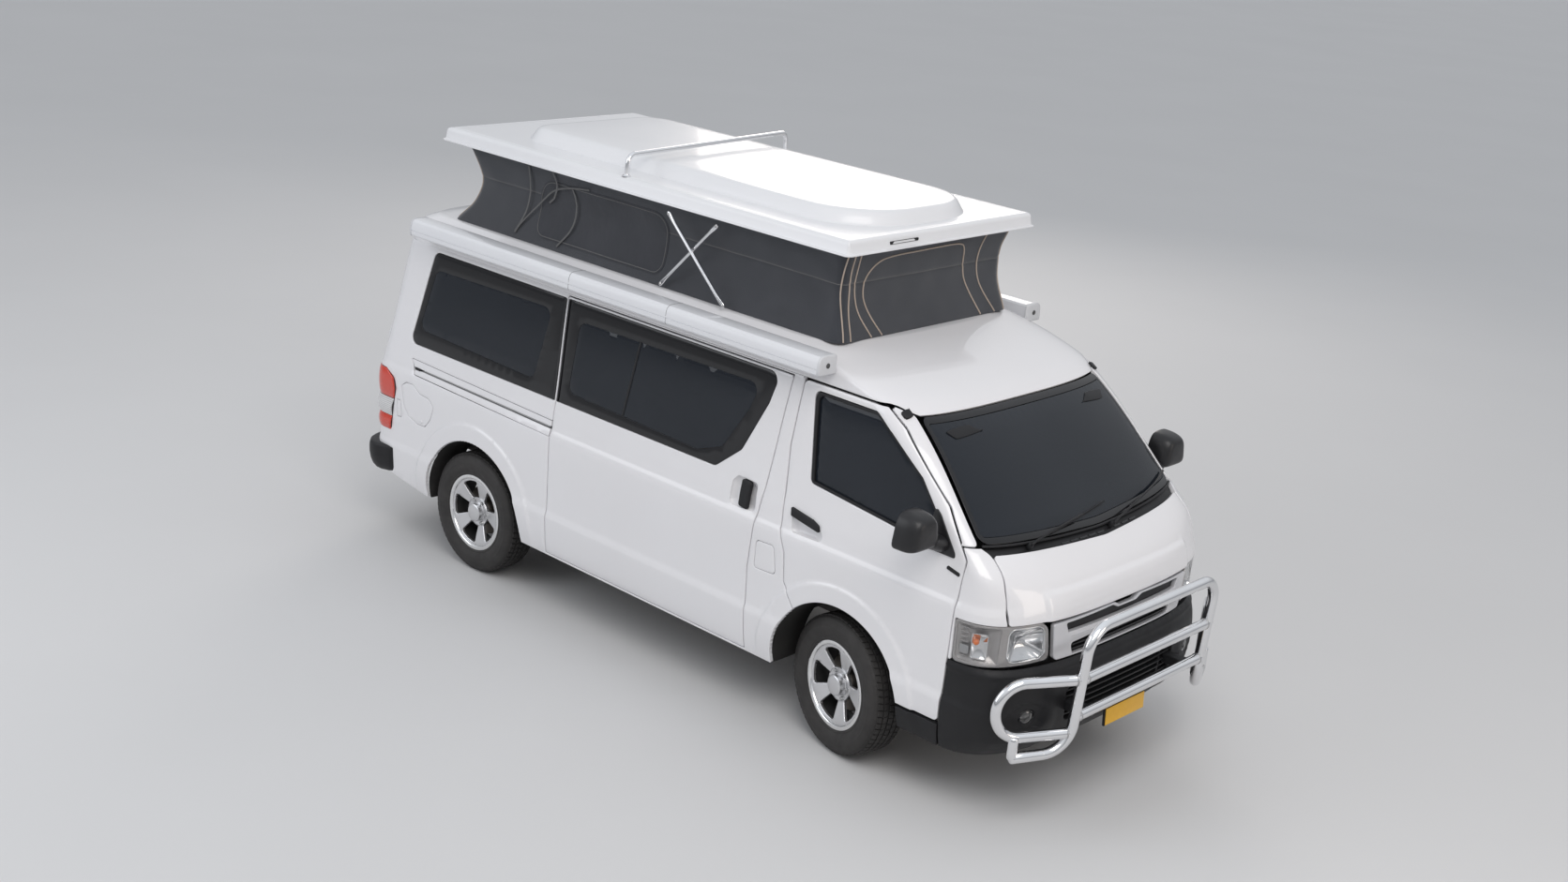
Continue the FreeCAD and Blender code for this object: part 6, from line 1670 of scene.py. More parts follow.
# repeats a part round an axis or along a line; a fixed seed gives small size changes
def repeatTree():
    tree = bpy.data.node_groups.new("repeatPart", "GeometryNodeTree")
    face = tree.interface
    for label, kind in (("Part", "NodeSocketGeometry"), ("Count", "NodeSocketInt"),
                        ("Turn", "NodeSocketVector"), ("Step", "NodeSocketVector"),
                        ("Spread", "NodeSocketFloat"), ("Material", "NodeSocketMaterial")):
        face.new_socket(label, in_out="INPUT", socket_type=kind)
    face.new_socket("Part", in_out="OUTPUT", socket_type="NodeSocketGeometry")

    def node(kind, props=None, **values):
        made = tree.nodes.new(kind)
        for key, value in (props or {}).items():
            setattr(made, key, value)
        for key, value in values.items():
            if isinstance(value, bpy.types.NodeSocket):
                tree.links.new(value, made.inputs[key.replace("_", " ")])
            else:
                made.inputs[key.replace("_", " ")].default_value = value
        return made

    given = tree.nodes.new("NodeGroupInput").outputs
    index = node("GeometryNodeInputIndex").outputs[0]
    share = node("ShaderNodeMath", {"operation": "DIVIDE"})
    tree.links.new(index, share.inputs[0])
    tree.links.new(given["Count"], share.inputs[1])
    turn = node("ShaderNodeVectorMath", {"operation": "SCALE"}, Scale=share.outputs[0])
    tree.links.new(given["Turn"], turn.inputs[0])
    way = node("ShaderNodeVectorMath", {"operation": "SCALE"}, Scale=index)
    tree.links.new(given["Step"], way.inputs[0])
    points = node("GeometryNodePoints", Count=given["Count"])
    moved = node("GeometryNodeSetPosition", Geometry=points.outputs[0], Position=way.outputs[0])
    grow = node("FunctionNodeRandomValue", {"data_type": "FLOAT"}, Seed=7)
    low = node("ShaderNodeMath", {"operation": "SUBTRACT"})
    low.inputs[0].default_value = 1.0
    tree.links.new(given["Spread"], low.inputs[1])
    floats = [i for i in grow.inputs if i.type == "VALUE"]
    tree.links.new(low.outputs[0], floats[0])
    floats[1].default_value = 1.0
    size = [o for o in grow.outputs if o.type == "VALUE"][0]
    placed = node("GeometryNodeInstanceOnPoints", Points=moved.outputs[0],
                  Instance=given["Part"], Rotation=turn.outputs[0], Scale=size)
    real = node("GeometryNodeRealizeInstances", Geometry=placed.outputs[0])
    dressed = node("GeometryNodeSetMaterial", Geometry=real.outputs[0],
                   Material=given["Material"])
    out = tree.nodes.new("NodeGroupOutput")
    tree.links.new(dressed.outputs[0], out.inputs[0])
    return tree


partTree = repeatTree()


# plain mesh object of a part repeated by the node tree; the part itself is removed
def repeat(name, part, count, key, turn=(0, 0, 0), step3=(0, 0, 0), spread=0.0):
    modifier = part.modifiers.new("repeat", "NODES")
    modifier.node_group = partTree
    values = {"Count": count, "Turn": turn, "Step": step3, "Spread": spread,
              "Material": finish[key]}
    for item in partTree.interface.items_tree:
        if item.item_type == "SOCKET" and item.in_out == "INPUT" and item.name in values:
            modifier[item.identifier] = values[item.name]
    part.update_tag()
    bpy.context.view_layer.update()
    graph = bpy.context.evaluated_depsgraph_get()
    mesh = bpy.data.meshes.new_from_object(part.evaluated_get(graph))
    part.modifiers.clear()
    bpy.data.objects.remove(part)
    return linked(name, mesh)


# one object from several, moved by a matrix
def joined(name, objects, matrix=None):
    work = bmesh.new()
    slots = []
    for one in objects:
        start = len(work.faces)
        work.from_mesh(one.data)
        work.faces.ensure_lookup_table()
        for face in work.faces[start:]:
            material = one.data.materials[face.material_index]
            if material not in slots:
                slots.append(material)
            face.material_index = slots.index(material)
    mesh = bpy.data.meshes.new(name)
    if matrix:
        work.transform(matrix)
    work.to_mesh(mesh)
    work.free()
    for material in slots:
        mesh.materials.append(material)
    for one in objects:
        bpy.data.objects.remove(one)
    return linked(name, mesh)


def copyOf(name, source, matrix):
    mesh = source.data.copy()
    mesh.transform(matrix)
    return linked(name, mesh)


tyreForm = {"radius": 0.335, "crown": 0.0035,
            "wall": [(0.2065, 0.07), (0.2075, 0.0795), (0.2125, 0.0818), (0.218, 0.084),
                     (0.22, 0.0868), (0.2235, 0.0872), (0.226, 0.0862), (0.238, 0.0915),
                     (0.252, 0.0962), (0.265, 0.098), (0.278, 0.0976), (0.28, 0.0981),
                     (0.282, 0.0974), (0.294, 0.095), (0.304, 0.0917), (0.312, 0.088),
                     (0.318, 0.0845), (0.3225, 0.08), (0.3255, 0.074)],
            "pitches": 64, "grooves": (-0.0455, -0.016, 0.016, 0.0455), "groove": 0.0068}


def tyreCrown(y):
    return tyreForm["radius"] - tyreForm["crown"] * (abs(y) / 0.07) ** 2.2


# one block of the tread, curved with the tyre and slanted across it
def treadBlock(y0, y1, a0, a1, skew):
    rows = []
    mids = (0.0, 0.5, 1.0)
    for level, shrink in ((0.3245, 0.0), (-0.0012, 0.0), (0.0, 0.0011)):
        ring = []
        path = [(t, 0) for t in mids] + [(1, t) for t in mids[1:]]
        path += [(t, 1) for t in mids[::-1][1:]] + [(0, t) for t in mids[::-1][1:-1]]
        for ta, ty in path:
            y = y0 + shrink + (y1 - y0 - 2 * shrink) * ty
            da = shrink / tyreForm["radius"]
            a = a0 + da + (a1 - a0 - 2 * da) * ta + skew * (ty - 0.5)
            r = level if level > 0.1 else tyreCrown(y) + level
            ring.append((r * math.sin(a), y, r * math.cos(a)))
        rows.append(ring)
    y, a = (y0 + y1) / 2, (a0 + a1) / 2
    top = tyreCrown(y)
    rows.append([(top * math.sin(a), y, top * math.cos(a))] * len(rows[0]))
    return rows


def makeTyre():
    f = tyreForm
    profile = [(y, r) for r, y in f["wall"]]
    edges = []
    for g in f["grooves"]:
        edges += [g - f["groove"] / 2, g + f["groove"] / 2]
    floor = 0.3262
    profile += [(0.07, floor), (0.0, floor + 0.0015), (-0.07, floor)]
    profile += [(-y, r) for y, r in profile[:len(f["wall"])][::-1]]
    profile += [(-0.07, 0.2065), (0.0, 0.212), (0.07, 0.2065)]
    carcass = turned("tyreBody", profile, (0, 0, 0), (0, 1, 0), "rubber", steps=96,
                     angle=38)
    pitch = 2 * math.pi / f["pitches"]
    lines = [-0.0742] + edges + [0.0742]
    blocks = []
    for k in range(0, len(lines), 2):
        outer = k in (0, len(lines) - 2)
        cut = 0.16 if outer else 0.1
        skew = (0.018, -0.016, 0.016, -0.016, 0.018)[k // 2]
        shift = (0.0, 0.35, 0.0, 0.35, 0.5)[k // 2] * pitch
        rows = treadBlock(lines[k], lines[k + 1], shift + pitch * cut / 2,
                          shift + pitch * (1 - cut / 2), skew)
        blocks.append(gridMesh("treadBlock%d" % k, rows, "rubber", closed=True,
                               angle=30))
    for side in (-1, 1):
        rows = []
        for r, out in ((0.3262, -0.001), (0.3252, 0.0012), (0.319, 0.0016), (0.3135, 0.0012),
                       (0.312, -0.0012)):
            y = float(np.interp(-r, [-q for q, _ in f["wall"]][::-1],
                                [w for _, w in f["wall"]][::-1]))
            row = [((r + out * 0.3) * math.sin(a), side * (y + out), (r + out * 0.3) * math.cos(a))
                   for a in (pitch * 0.12, pitch * 0.16, pitch * 0.5, pitch * 0.84,
                             pitch * 0.88)]
            rows.append(row)
        blocks.append(gridMesh("shoulder%d" % side, rows, "rubber", angle=30))
    part = joined("treadPitch", blocks)
    tread = repeat("tread", part, f["pitches"], "rubber", turn=(0, 2 * math.pi, 0))
    return joined("tyre", [carcass, tread])


rimForm = {"spokes": 5, "faceRadius": 0.1895,   # hole corners: radius, turn in degrees, bend
           "hole": [(0.08, -20.0, 0.01), (0.177, -20.5, 0.014), (0.18, 0.0, 0.15),
                    (0.177, 20.5, 0.014), (0.08, 20.0, 0.01)],
           "dish": [(0.0, 0.05), (0.06, 0.05), (0.08, 0.052), (0.1, 0.057),
                    (0.13, 0.065), (0.16, 0.072), (0.18, 0.0755), (0.19, 0.0765)]}
dishLine = smoothTable(rimForm["dish"], 1)


def rimFace(sink=0.0):
    def surface(u, z):
        r = np.hypot(u, z)
        y = dishLine(r)
        slope = (dishLine(r + 1e-4) - y) / 1e-4
        n = np.stack([-slope * u / np.maximum(r, 1e-6), np.ones_like(r),
                      -slope * z / np.maximum(r, 1e-6)], -1)
        n /= np.linalg.norm(n, axis=-1, keepdims=True)
        return np.stack([u, y, z], -1) - n * np.reshape(sink, np.shape(sink) + (1,)), n
    return surface


rimTurns = {  # profile of (distance along the axle, radius), finish, steps, sharp angle
    "rimLip": ([(0.066, 0.186), (0.0745, 0.1885), (0.08, 0.1905), (0.0835, 0.1935),
                (0.0852, 0.198), (0.0852, 0.2045), (0.0835, 0.211), (0.08, 0.2125),
                (0.078, 0.2095), (0.0775, 0.205)], "rimLip", 96, 50),
    "rimBarrel": ([(0.07, 0.188), (0.05, 0.186), (0.01, 0.18), (-0.02, 0.176),
                   (-0.05, 0.19), (-0.078, 0.198), (-0.079, 0.205), (-0.048, 0.205),
                   (0.075, 0.205)], "rimDark", 72, 50),
    "brakeDisc": ([(0.005, 0.0), (0.005, 0.08), (0.005, 0.132), (0.002, 0.135),
                   (-0.012, 0.135), (-0.015, 0.132), (-0.015, 0.0)], "discIron", 64, 40),
    "hubBell": ([(0.005, 0.078), (0.026, 0.076), (0.034, 0.07), (0.036, 0.0)],
                "discIron", 48, 40),
    "hubSeat": ([(0.0505, 0.082), (0.0555, 0.0805), (0.057, 0.079), (0.053, 0.0775),
                 (0.05, 0.056), (0.05, 0.0)], "alloy", 64, 40),
    "hubCap": ([(0.05, 0.0545), (0.052, 0.0555), (0.0545, 0.055), (0.056, 0.052),
                (0.078, 0.0505), (0.0835, 0.049), (0.0865, 0.0455), (0.088, 0.038),
                (0.0885, 0.0)], "alloy", 48, 30)}


def makeRim():
    f = rimForm
    holes = []
    for k in range(f["spokes"]):
        middle = 2 * math.pi * k / f["spokes"]
        corners = []
        for r, half, bend in f["hole"]:
            a = middle + math.radians(half)
            corners.append((r * math.cos(a), r * math.sin(a), bend))
        holes.append(roundLoop(corners, 0, 0.006))
    round0 = np.linspace(0, 2 * math.pi, 96, endpoint=False)
    loop = f["faceRadius"] * np.stack([np.cos(round0), np.sin(round0)], 1)
    face = panel("rimFace", loop, holes, rimFace(), "alloy", lip=0.004, depth=0.016,
                 grid=0.014)
    turns = [turned(name, profile, (0, 0, 0), (0, 1, 0), key, steps=steps, angle=angle)
             for name, (profile, key, steps, angle) in rimTurns.items()]
    nut = turned("lugNut", [(0.049, 0.0), (0.049, 0.0105), (0.051, 0.0108), (0.052, 0.0092),
                            (0.062, 0.0088), (0.0645, 0.006), (0.065, 0.0)], (0.0665, 0, 0),
                 (0, 1, 0), "steel", steps=6, angle=20)
    nuts = repeat("lugNuts", nut, 6, "steel", turn=(0, 2 * math.pi, 0))
    valve = turned("valve", [(0.058, 0.0042), (0.078, 0.004), (0.0785, 0.003), (0.088, 0.003),
                             (0.0885, 0.0)], (0.157 * math.cos(0.32), 0, 0.157 * math.sin(0.32)),
                   (0, 1, 0), "blackPlastic", steps=12)
    return joined("rim", [face] + turns + [nuts, valve])


wheelPlaces = {"steer": -12.6, "pivotY": 0.64, "offset": 0.082}   # degrees, then metres


def makeWheels():
    tyre, rim = makeTyre(), makeRim()
    f = wheelPlaces
    for end, x, steer in (("front", frontAxle, f["steer"]), ("rear", rearAxle, 0.0)):
        for side, name in bothSides:
            turn = Matrix.Rotation(math.radians(steer), 4, "Z")
            flip = Matrix.Rotation(0 if side > 0 else math.pi, 4, "Z")
            centre = Vector((x, side * f["pivotY"], tyreForm["radius"]))
            centre += turn @ Vector((0, side * f["offset"], 0))
            place = Matrix.Translation(centre) @ turn @ flip
            body = "%s_wheel_%s" % (end, name)
            node = "%s_%s" % (end, name)
            placeOn(copyOf("tyre." + node, tyre, place), body, "tyre_" + node, slot="tyre")
            placeOn(copyOf("rim." + node, rim, place), body, "wheel_" + node, slot="alloy")
    bpy.data.objects.remove(tyre)
    bpy.data.objects.remove(rim)


makeWheels()
print("stage: wheels made")

# trim outside: handles, flaps, lamps and bumper at the rear, mirrors, tube bar, liners


def roundedBox(name, low, high, bevel, key, body=None, slot=None, replaced=(), matrix=None):
    work = bmesh.new()
    bmesh.ops.create_cube(work, size=1.0)
    size = Vector(high) - Vector(low)
    for v in work.verts:
        v.co = Vector(((v.co.x + 0.5) * size.x, (v.co.y + 0.5) * size.y,
                       (v.co.z + 0.5) * size.z)) + Vector(low)
    bmesh.ops.bevel(work, geom=list(work.verts) + list(work.edges), offset=bevel,
                    segments=3, profile=0.5, affect="EDGES")
    if matrix:
        work.transform(matrix)
    mesh = bpy.data.meshes.new(name)
    work.to_mesh(mesh)
    work.free()
    made = finishMesh(name, mesh, key, 50)
    if body:
        placeOn(made, body, *replaced, slot=slot)
    return made


# small piece set on the body's side inside an outline
def sidePiece(name, end, side, corners, key, body, slot, sink=0.0, inset=0.0, lip=0.002,
              depth=0.008, grid=0.03, extra=None):
    loop = moveLoop(sideLoop(end, side, corners, spacing=0.008), -inset)
    fitted(name, loop, [], onBody(end, sink), key, body, slot, rows=creaseRows, extra=extra,
           lip=lip, depth=depth, grid=grid)


# corners of a long slot between two places
def slot(x0, z0, x1, z1, half):
    away = np.array([x1 - x0, z1 - z0])
    across = np.array([-away[1], away[0]]) / np.linalg.norm(away) * half
    ends4 = [(x0, z0, 1), (x1, z1, 1), (x1, z1, -1), (x0, z0, -1)]
    return [(x + across[0] * s, z + across[1] * s, half * 0.9) for x, z, s in ends4]


handleForm = {
    "front": [(0.931, 1.117, 0.006), (1.07, 1.096, 0.012), (1.11, 1.078, 0.012),
              (1.116, 1.046, 0.006), (0.937, 1.076, 0.006)],
    "slide": [(0.603, 1.022, 0.014), (0.662, 1.014, 0.014), (0.669, 1.15, 0.014),
              (0.606, 1.154, 0.014)]}


def makeHandles():
    for side, name in bothSides:
        body = "front_door_" + name
        loop = sideLoop("nose", side, sideDetails["doorPocket"], spacing=0.008)
        bowl("doorPocket." + name, moveLoop(loop, 0.0045), loop.mean(0), 0.026, 0.0005, 0.55,
             "paint", body, "body_paint")
        for key, corners, on, more in (
                ("doorHandle", handleForm["front"], body,
                 {"sink": -0.013, "lip": 0.005, "depth": 0.016, "grid": 0.02}),
                ("doorSlot", slot(1.836, 1.1285, 1.91, 1.113, 0.0085), body,
                 {"sink": -0.0035, "lip": 0.003, "depth": 0.012}),
                ("pillarSlot", slot(1.574, 1.628, 1.622, 1.596, 0.007), "chassis",
                 {"sink": -0.0035, "lip": 0.003, "depth": 0.012}),
                ("roofBump", slot(1.418, 1.697, 1.462, 1.668, 0.0075), "chassis",
                 {"sink": -0.01, "lip": 0.005, "depth": 0.02})):
            sidePiece(key + "." + name, "nose", side, corners, "blackPlastic", on,
                      "black_plastic", **more)
    loop = sideLoop("tail", -1, sideDetails["slidePocket"], spacing=0.008)
    bowl("slidePocket", moveLoop(loop, 0.0045), loop.mean(0), 0.026, 0.0005, 0.62, "paint",
         "chassis", "body_paint", end="tail")
    sidePiece("slideHandle", "tail", -1, handleForm["slide"], "blackPlastic", "chassis",
              "black_plastic", sink=-0.01, lip=0.006, depth=0.018, grid=0.02)


railForms = {  # corners with their radius, finish, slot and the panel's other values
    "railCover.upper": ([(-1.9395, 1.0725, 0.004), (-0.7545, 1.0485, 0.004),
                         (-0.7545, 1.02, 0.002), (-1.913, 1.034, 0.002)],
                        "paint", "body_paint", {"depth": 0.014, "grid": 0.05}),
    "railCover.lower": ([(-1.908, 1.0215, 0.002), (-0.7545, 1.0075, 0.002),
                         (-0.7545, 0.9705, 0.004), (-1.902, 0.9935, 0.01)],
                        "paint", "body_paint", {"depth": 0.014, "grid": 0.05}),
    "railChannel": ([(-1.915, 1.04, 0.002), (-0.756, 1.026, 0.002), (-0.756, 1.001, 0.002),
                     (-1.915, 1.015, 0.002)], "seam", "black_plastic",
                    {"sink": 0.017, "depth": 0.004, "lip": 0.001, "grid": 0.06}),
    "railBar": ([(-1.88, 1.0295, 0.001), (-0.77, 1.016, 0.001), (-0.77, 1.0105, 0.001),
                 (-1.88, 1.024, 0.001)], "steel", "steel",
                {"sink": 0.011, "depth": 0.006, "lip": 0.001, "grid": 0.06}),
    "railStop": ([(-1.905, 1.036, 0.004), (-1.848, 1.035, 0.004), (-1.862, 1.018, 0.004),
                  (-1.903, 1.019, 0.004)], "blackPlastic", "black_plastic",
                 {"sink": -0.0015, "lip": 0.003, "depth": 0.012})}


def makeSideDetails():
    for key, (corners, colour, look, more) in railForms.items():
        sidePiece(key, "tail", -1, corners, colour, "chassis", look, **more)
    for key in ("flap", "smallFlap", "fillerFlap"):
        sidePiece(key, "tail", -1, sideDetails[key], "paint", "chassis", "body_paint",
                  inset=0.003, depth=0.014, extra=archRings("tail", -1)[::2])
    sidePiece("flapKnob", "tail", -1, slot(-1.822, 0.75, -1.812, 0.738, 0.0075), "paint",
              "chassis", "body_paint", sink=-0.006, lip=0.003, depth=0.01)


lampColours = [("red", 0.7, 0.618, 0.01), ("clearRear", 0.806, 0.703, 0.014),
               ("red", 0.97, 0.809, 0.01)]


# three bulged lenses over a grey housing in each rear corner
def makeTailLamps():
    lamp = sideDetails["lamp"]
    zs = [z for _, z, _ in lamp][::-1]
    xs = [x for x, _, _ in lamp][::-1]
    for side, name in bothSides:
        def edge(z):
            return float(sideU("tail", float(np.interp(z, zs, xs)), z, side))

        def inner(z):
            return float(frontU("tail", side * 0.7115, z))

        back = [(inner(z), z, 0.004) for z in (0.976, 0.618)]
        back += [(edge(z), z, 0.004) for z in np.linspace(0.618, 0.976, 16)]
        fitted("tailLampHousing." + name, roundLoop(back, 0), [], onBody("tail", 0.01),
               "lampGrey", "chassis", "red_lens", "tail_lamps", lip=0.003, depth=0.01, grid=0.03)
        for k, (kind, top, low, swell) in enumerate(lampColours):
            shape = [(inner(z), z, 0.01) for z in (top, low)]
            shape += [(edge(z) - side * 0.002, z, 0.01 if z in (low, top) else 0.0)
                      for z in np.linspace(low, top, 9)]
            loop = roundLoop(shape, 0, 0.01)
            centre = (low + top) / 2

            def surface(u, z, swell=swell, centre=centre, tall=(top - low) / 2):
                share = np.clip(1 - ((z - centre) / tall) ** 2, 0, 1)
                return bodyPoint("tail", u, z, -0.002 - swell * share ** 0.7)
            fitted("tailLens%d.%s" % (k, name), loop, [], surface,
                   "red" if kind == "red" else "rearWhite", "chassis",
                   "red_lens" if kind == "red" else "clear_lens", lip=0.003, depth=0.008,
                   grid=0.012)


rearBumperForm = {"section": [(0.5215, -0.004), (0.5235, 0.02), (0.5225, 0.044),
                              (0.518, 0.054), (0.508, 0.0605), (0.49, 0.064),
                              (0.45, 0.065), (0.405, 0.06), (0.37, 0.05),
                              (0.345, 0.035), (0.333, 0.018), (0.33, 0.0),
                              (0.336, -0.012)], "end": -2.066}


def makeRearBumper():
    f = rearBumperForm
    reach = float(abs(sideU("tail", f["end"], 0.43, 1)))
    us = np.concatenate([np.linspace(0, reach - 0.16, 22), np.linspace(reach - 0.15, reach, 12)])
    us = np.concatenate([-us[::-1][:-1], us])
    rows = []
    for u in us:
        left = reach - abs(u)
        share = min(1.0, left / 0.05)
        swell = 0.3 + 0.7 * float(step(left, 0.0, 0.22))
        swell *= math.sqrt(max(0.02, 1 - (1 - share) ** 2))
        row = []
        for z, out in f["section"]:
            lift = (z - 0.43) * (0.94 + 0.06 * share)
            p = bodySpot("tail", u, z, -(out * swell if out > 0 else out))
            row.append((p[0], p[1], 0.43 + lift + 0.035 * (1 - float(step(left, 0, 0.3)))
                        * max(0.0, (0.43 - z) / 0.1)))
        rows.append(row)
    back = [bodyPoint("tail", us, np.full(len(us), z), 0.02)[0] for z in (0.345, 0.515)]
    for i, row in enumerate(rows):
        row += [tuple(back[0][i]), tuple(back[1][i])]
    gridMesh("rearBumper", rows, "blackPlastic", closed=True, caps=True, angle=50,
             body="chassis", slot="black_plastic", replaced=("rear_bumper",))
    ribs = []
    for k in range(9):
        ribs.append(roundedBox("stepRib", (-2.386, -0.27 + 0.0675 * k - 0.026, 0.5215),
                               (-2.35, -0.27 + 0.0675 * k + 0.026, 0.5255), 0.0018,
                               "blackPlastic"))
    placeOn(joined("stepPad", ribs), "chassis", slot="black_plastic")


def makeTailgateTrim():
    pod = []
    centre = np.array([-2.3, -0.595, 1.0555])
    for t in np.linspace(0, math.pi / 2, 14):
        out = 0.103 * math.sin(t) ** 0.9
        size = math.cos(t) ** 0.55 if t < 1.56 else 1e-4
        ring = []
        for a in np.linspace(0, 2 * math.pi, 48, endpoint=False):
            c, s = math.cos(a), math.sin(a)
            y = 0.093 * size * math.copysign(abs(c) ** 0.85, c)
            z = 0.103 * size * math.copysign(abs(s) ** 0.85, s)
            ring.append((centre[0] - out, centre[1] + y, centre[2] + z + 0.006 * math.sin(t)))
        pod.append(ring)
    first = [(-2.262, y, z) for _, y, z in pod[0]]
    gridMesh("rearPod", [first] + pod, "moulded", closed=True, caps=True,
             body="tailgate", slot="body_paint", replaced=("rear_pod",))
    plateLoop = frontLoop("tail", oblong(-0.26, 0.26, 0.575, 0.685, 0.008))
    fitted("rearPlate", plateLoop, [], onBody("tail", -0.006), "plate", "tailgate", "body_paint",
           lip=0.001, depth=0.003, grid=0.05)
    fitted("rearPlateFrame", moveLoop(plateLoop, 0.006), [moveLoop(plateLoop, -0.004)],
           onBody("tail", -0.007), "blackPlastic", "tailgate", "black_plastic", lip=0.002,
           depth=0.009, grid=0.05)
    grip = frontLoop("tail", [(-0.3, 0.955, 0.012), (0.3, 0.955, 0.012),
                              (0.3, 1.015, 0.02), (-0.3, 1.015, 0.02)])
    fitted("tailgateGrip", grip, [], onBody("tail", -0.016), "paint", "tailgate", "body_paint",
           lip=0.008, depth=0.022, grid=0.03)
    stem = [(-2.302, 0.02, 1.175), (-2.328, 0.02, 1.18), (-2.322, -0.1, 1.235),
            (-2.305, -0.34, 1.33)]
    tube("rearWiperArm", stem, 0.0055, "blackPlastic", "tailgate", "black_plastic")
    tube("rearWiperBlade", [(-2.297, -0.13, 1.262), (-2.286, -0.34, 1.332),
                            (-2.272, -0.52, 1.392)], 0.006, "blackPlastic", "tailgate",
         "black_plastic")
    turned("rearWiperCap", [(0, 0.026), (0.012, 0.025), (0.02, 0.018), (0.022, 0.0)],
           (-2.3, 0.02, 1.178), (-1, 0, 0.1), "blackPlastic", steps=24,
           body="tailgate", slot="black_plastic")
    for side in (-1, 1):
        y = side * 0.44
        loop = frontLoop("tail", [(y - 0.045, 1.722, 0.012), (y + 0.045, 1.722, 0.012),
                                  (y + 0.036, 1.775, 0.016), (y - 0.036, 1.775, 0.016)])
        fitted("hingeCover%d" % side, loop, [], onBody("tail", -0.01), "moulded", "chassis",
               "body_paint", lip=0.006, depth=0.014, grid=0.02)


mirrorForm = {"front": 1.832, "rear": 1.712, "middle": (0.966, 1.304), "wide": 0.104,
              "tall": 0.084}


# flat-bottomed oval section of the shell, narrower towards its top
def mirrorRing(side, x, size, push=0.0):
    f, points = mirrorForm, []
    for a in np.linspace(0, 2 * math.pi, 48, endpoint=False):
        c, s = math.cos(a), math.sin(a)
        bend = 0.4 if s < 0 else 0.6
        y = math.copysign(abs(c) ** bend, c)
        z = math.copysign(abs(s) ** bend, s)
        wide = f["wide"] * (0.88 - 0.15 * z)
        points.append((x, side * (f["middle"][0] + y * wide * size),
                       f["middle"][1] + push + z * f["tall"] * size))
    return points


def makeMirrors():
    f = mirrorForm
    for side, name in bothSides:
        body = "front_door_" + name
        rows = []
        for t in np.linspace(math.pi / 2, 0.1, 14):
            x = f["rear"] + 0.03 + (f["front"] - f["rear"] - 0.03) * math.sin(t)
            rows.append(mirrorRing(side, x, max(1e-4, math.cos(t) ** 0.34),
                                   -0.004 * math.sin(t)))
        rows += [mirrorRing(side, f["rear"] + x, size) for x, size in
                 ((0.014, 1.004), (0.004, 1.0), (0.0, 0.985), (0.001, 0.955), (0.008, 0.935),
                  (0.009, 1e-4))]
        gridMesh("mirrorShell." + name, rows, "mirrorBlack", closed=True, body=body,
                 slot="black_plastic", replaced=("door_mirror_" + name,), angle=50)
        rows = [mirrorRing(side, f["rear"] + x, size) for x, size in
                ((0.008, 0.9), (0.005, 0.91), (0.004, 0.9), (0.003, 0.5), (0.003, 1e-4))]
        gridMesh("mirrorGlass." + name, rows, "reflector", closed=True, body=body,
                 slot="dark_glass", angle=50)
        rows = []
        for y, z, x, a, b in ((0.795, 1.216, 1.772, 0.056, 0.04),
                              (0.826, 1.216, 1.772, 0.052, 0.036),
                              (0.855, 1.224, 1.772, 0.046, 0.032),
                              (0.885, 1.236, 1.772, 0.042, 0.032),
                              (0.925, 1.252, 1.772, 0.036, 0.026)):
            rows.append([(x + a * math.cos(t), side * y, z + b * math.sin(t))
                         for t in np.linspace(0, 2 * math.pi, 24, endpoint=False)])
        gridMesh("mirrorArm." + name, rows, "mirrorBlack", closed=True, caps=True,
                 body=body, slot="black_plastic")
        sail = [(1.668, 1.172, 0.01), (1.87, 1.172, 0.022), (1.868, 1.192, 0.03),
                (1.76, 1.33, 0.1), (1.722, 1.362, 0.008), (1.7, 1.25, 0.05)]
        sidePiece("mirrorSail." + name, "nose", side, sail, "mirrorBlack", body,
                  "black_plastic", sink=-0.0045, lip=0.004, depth=0.018, grid=0.02)


barForm = {"radius": 0.025, "top": 0.952, "low": 0.366, "half": 0.505, "topX": 2.4,
           "lowX": 2.365, "stub": (2.252, 0.765), "topBend": 0.118, "lowBend": 0.135,
           "rails": (0.716, 0.535), "loop": (2.196, 0.842, 0.714, 0.456), "loopBend": 0.1285}


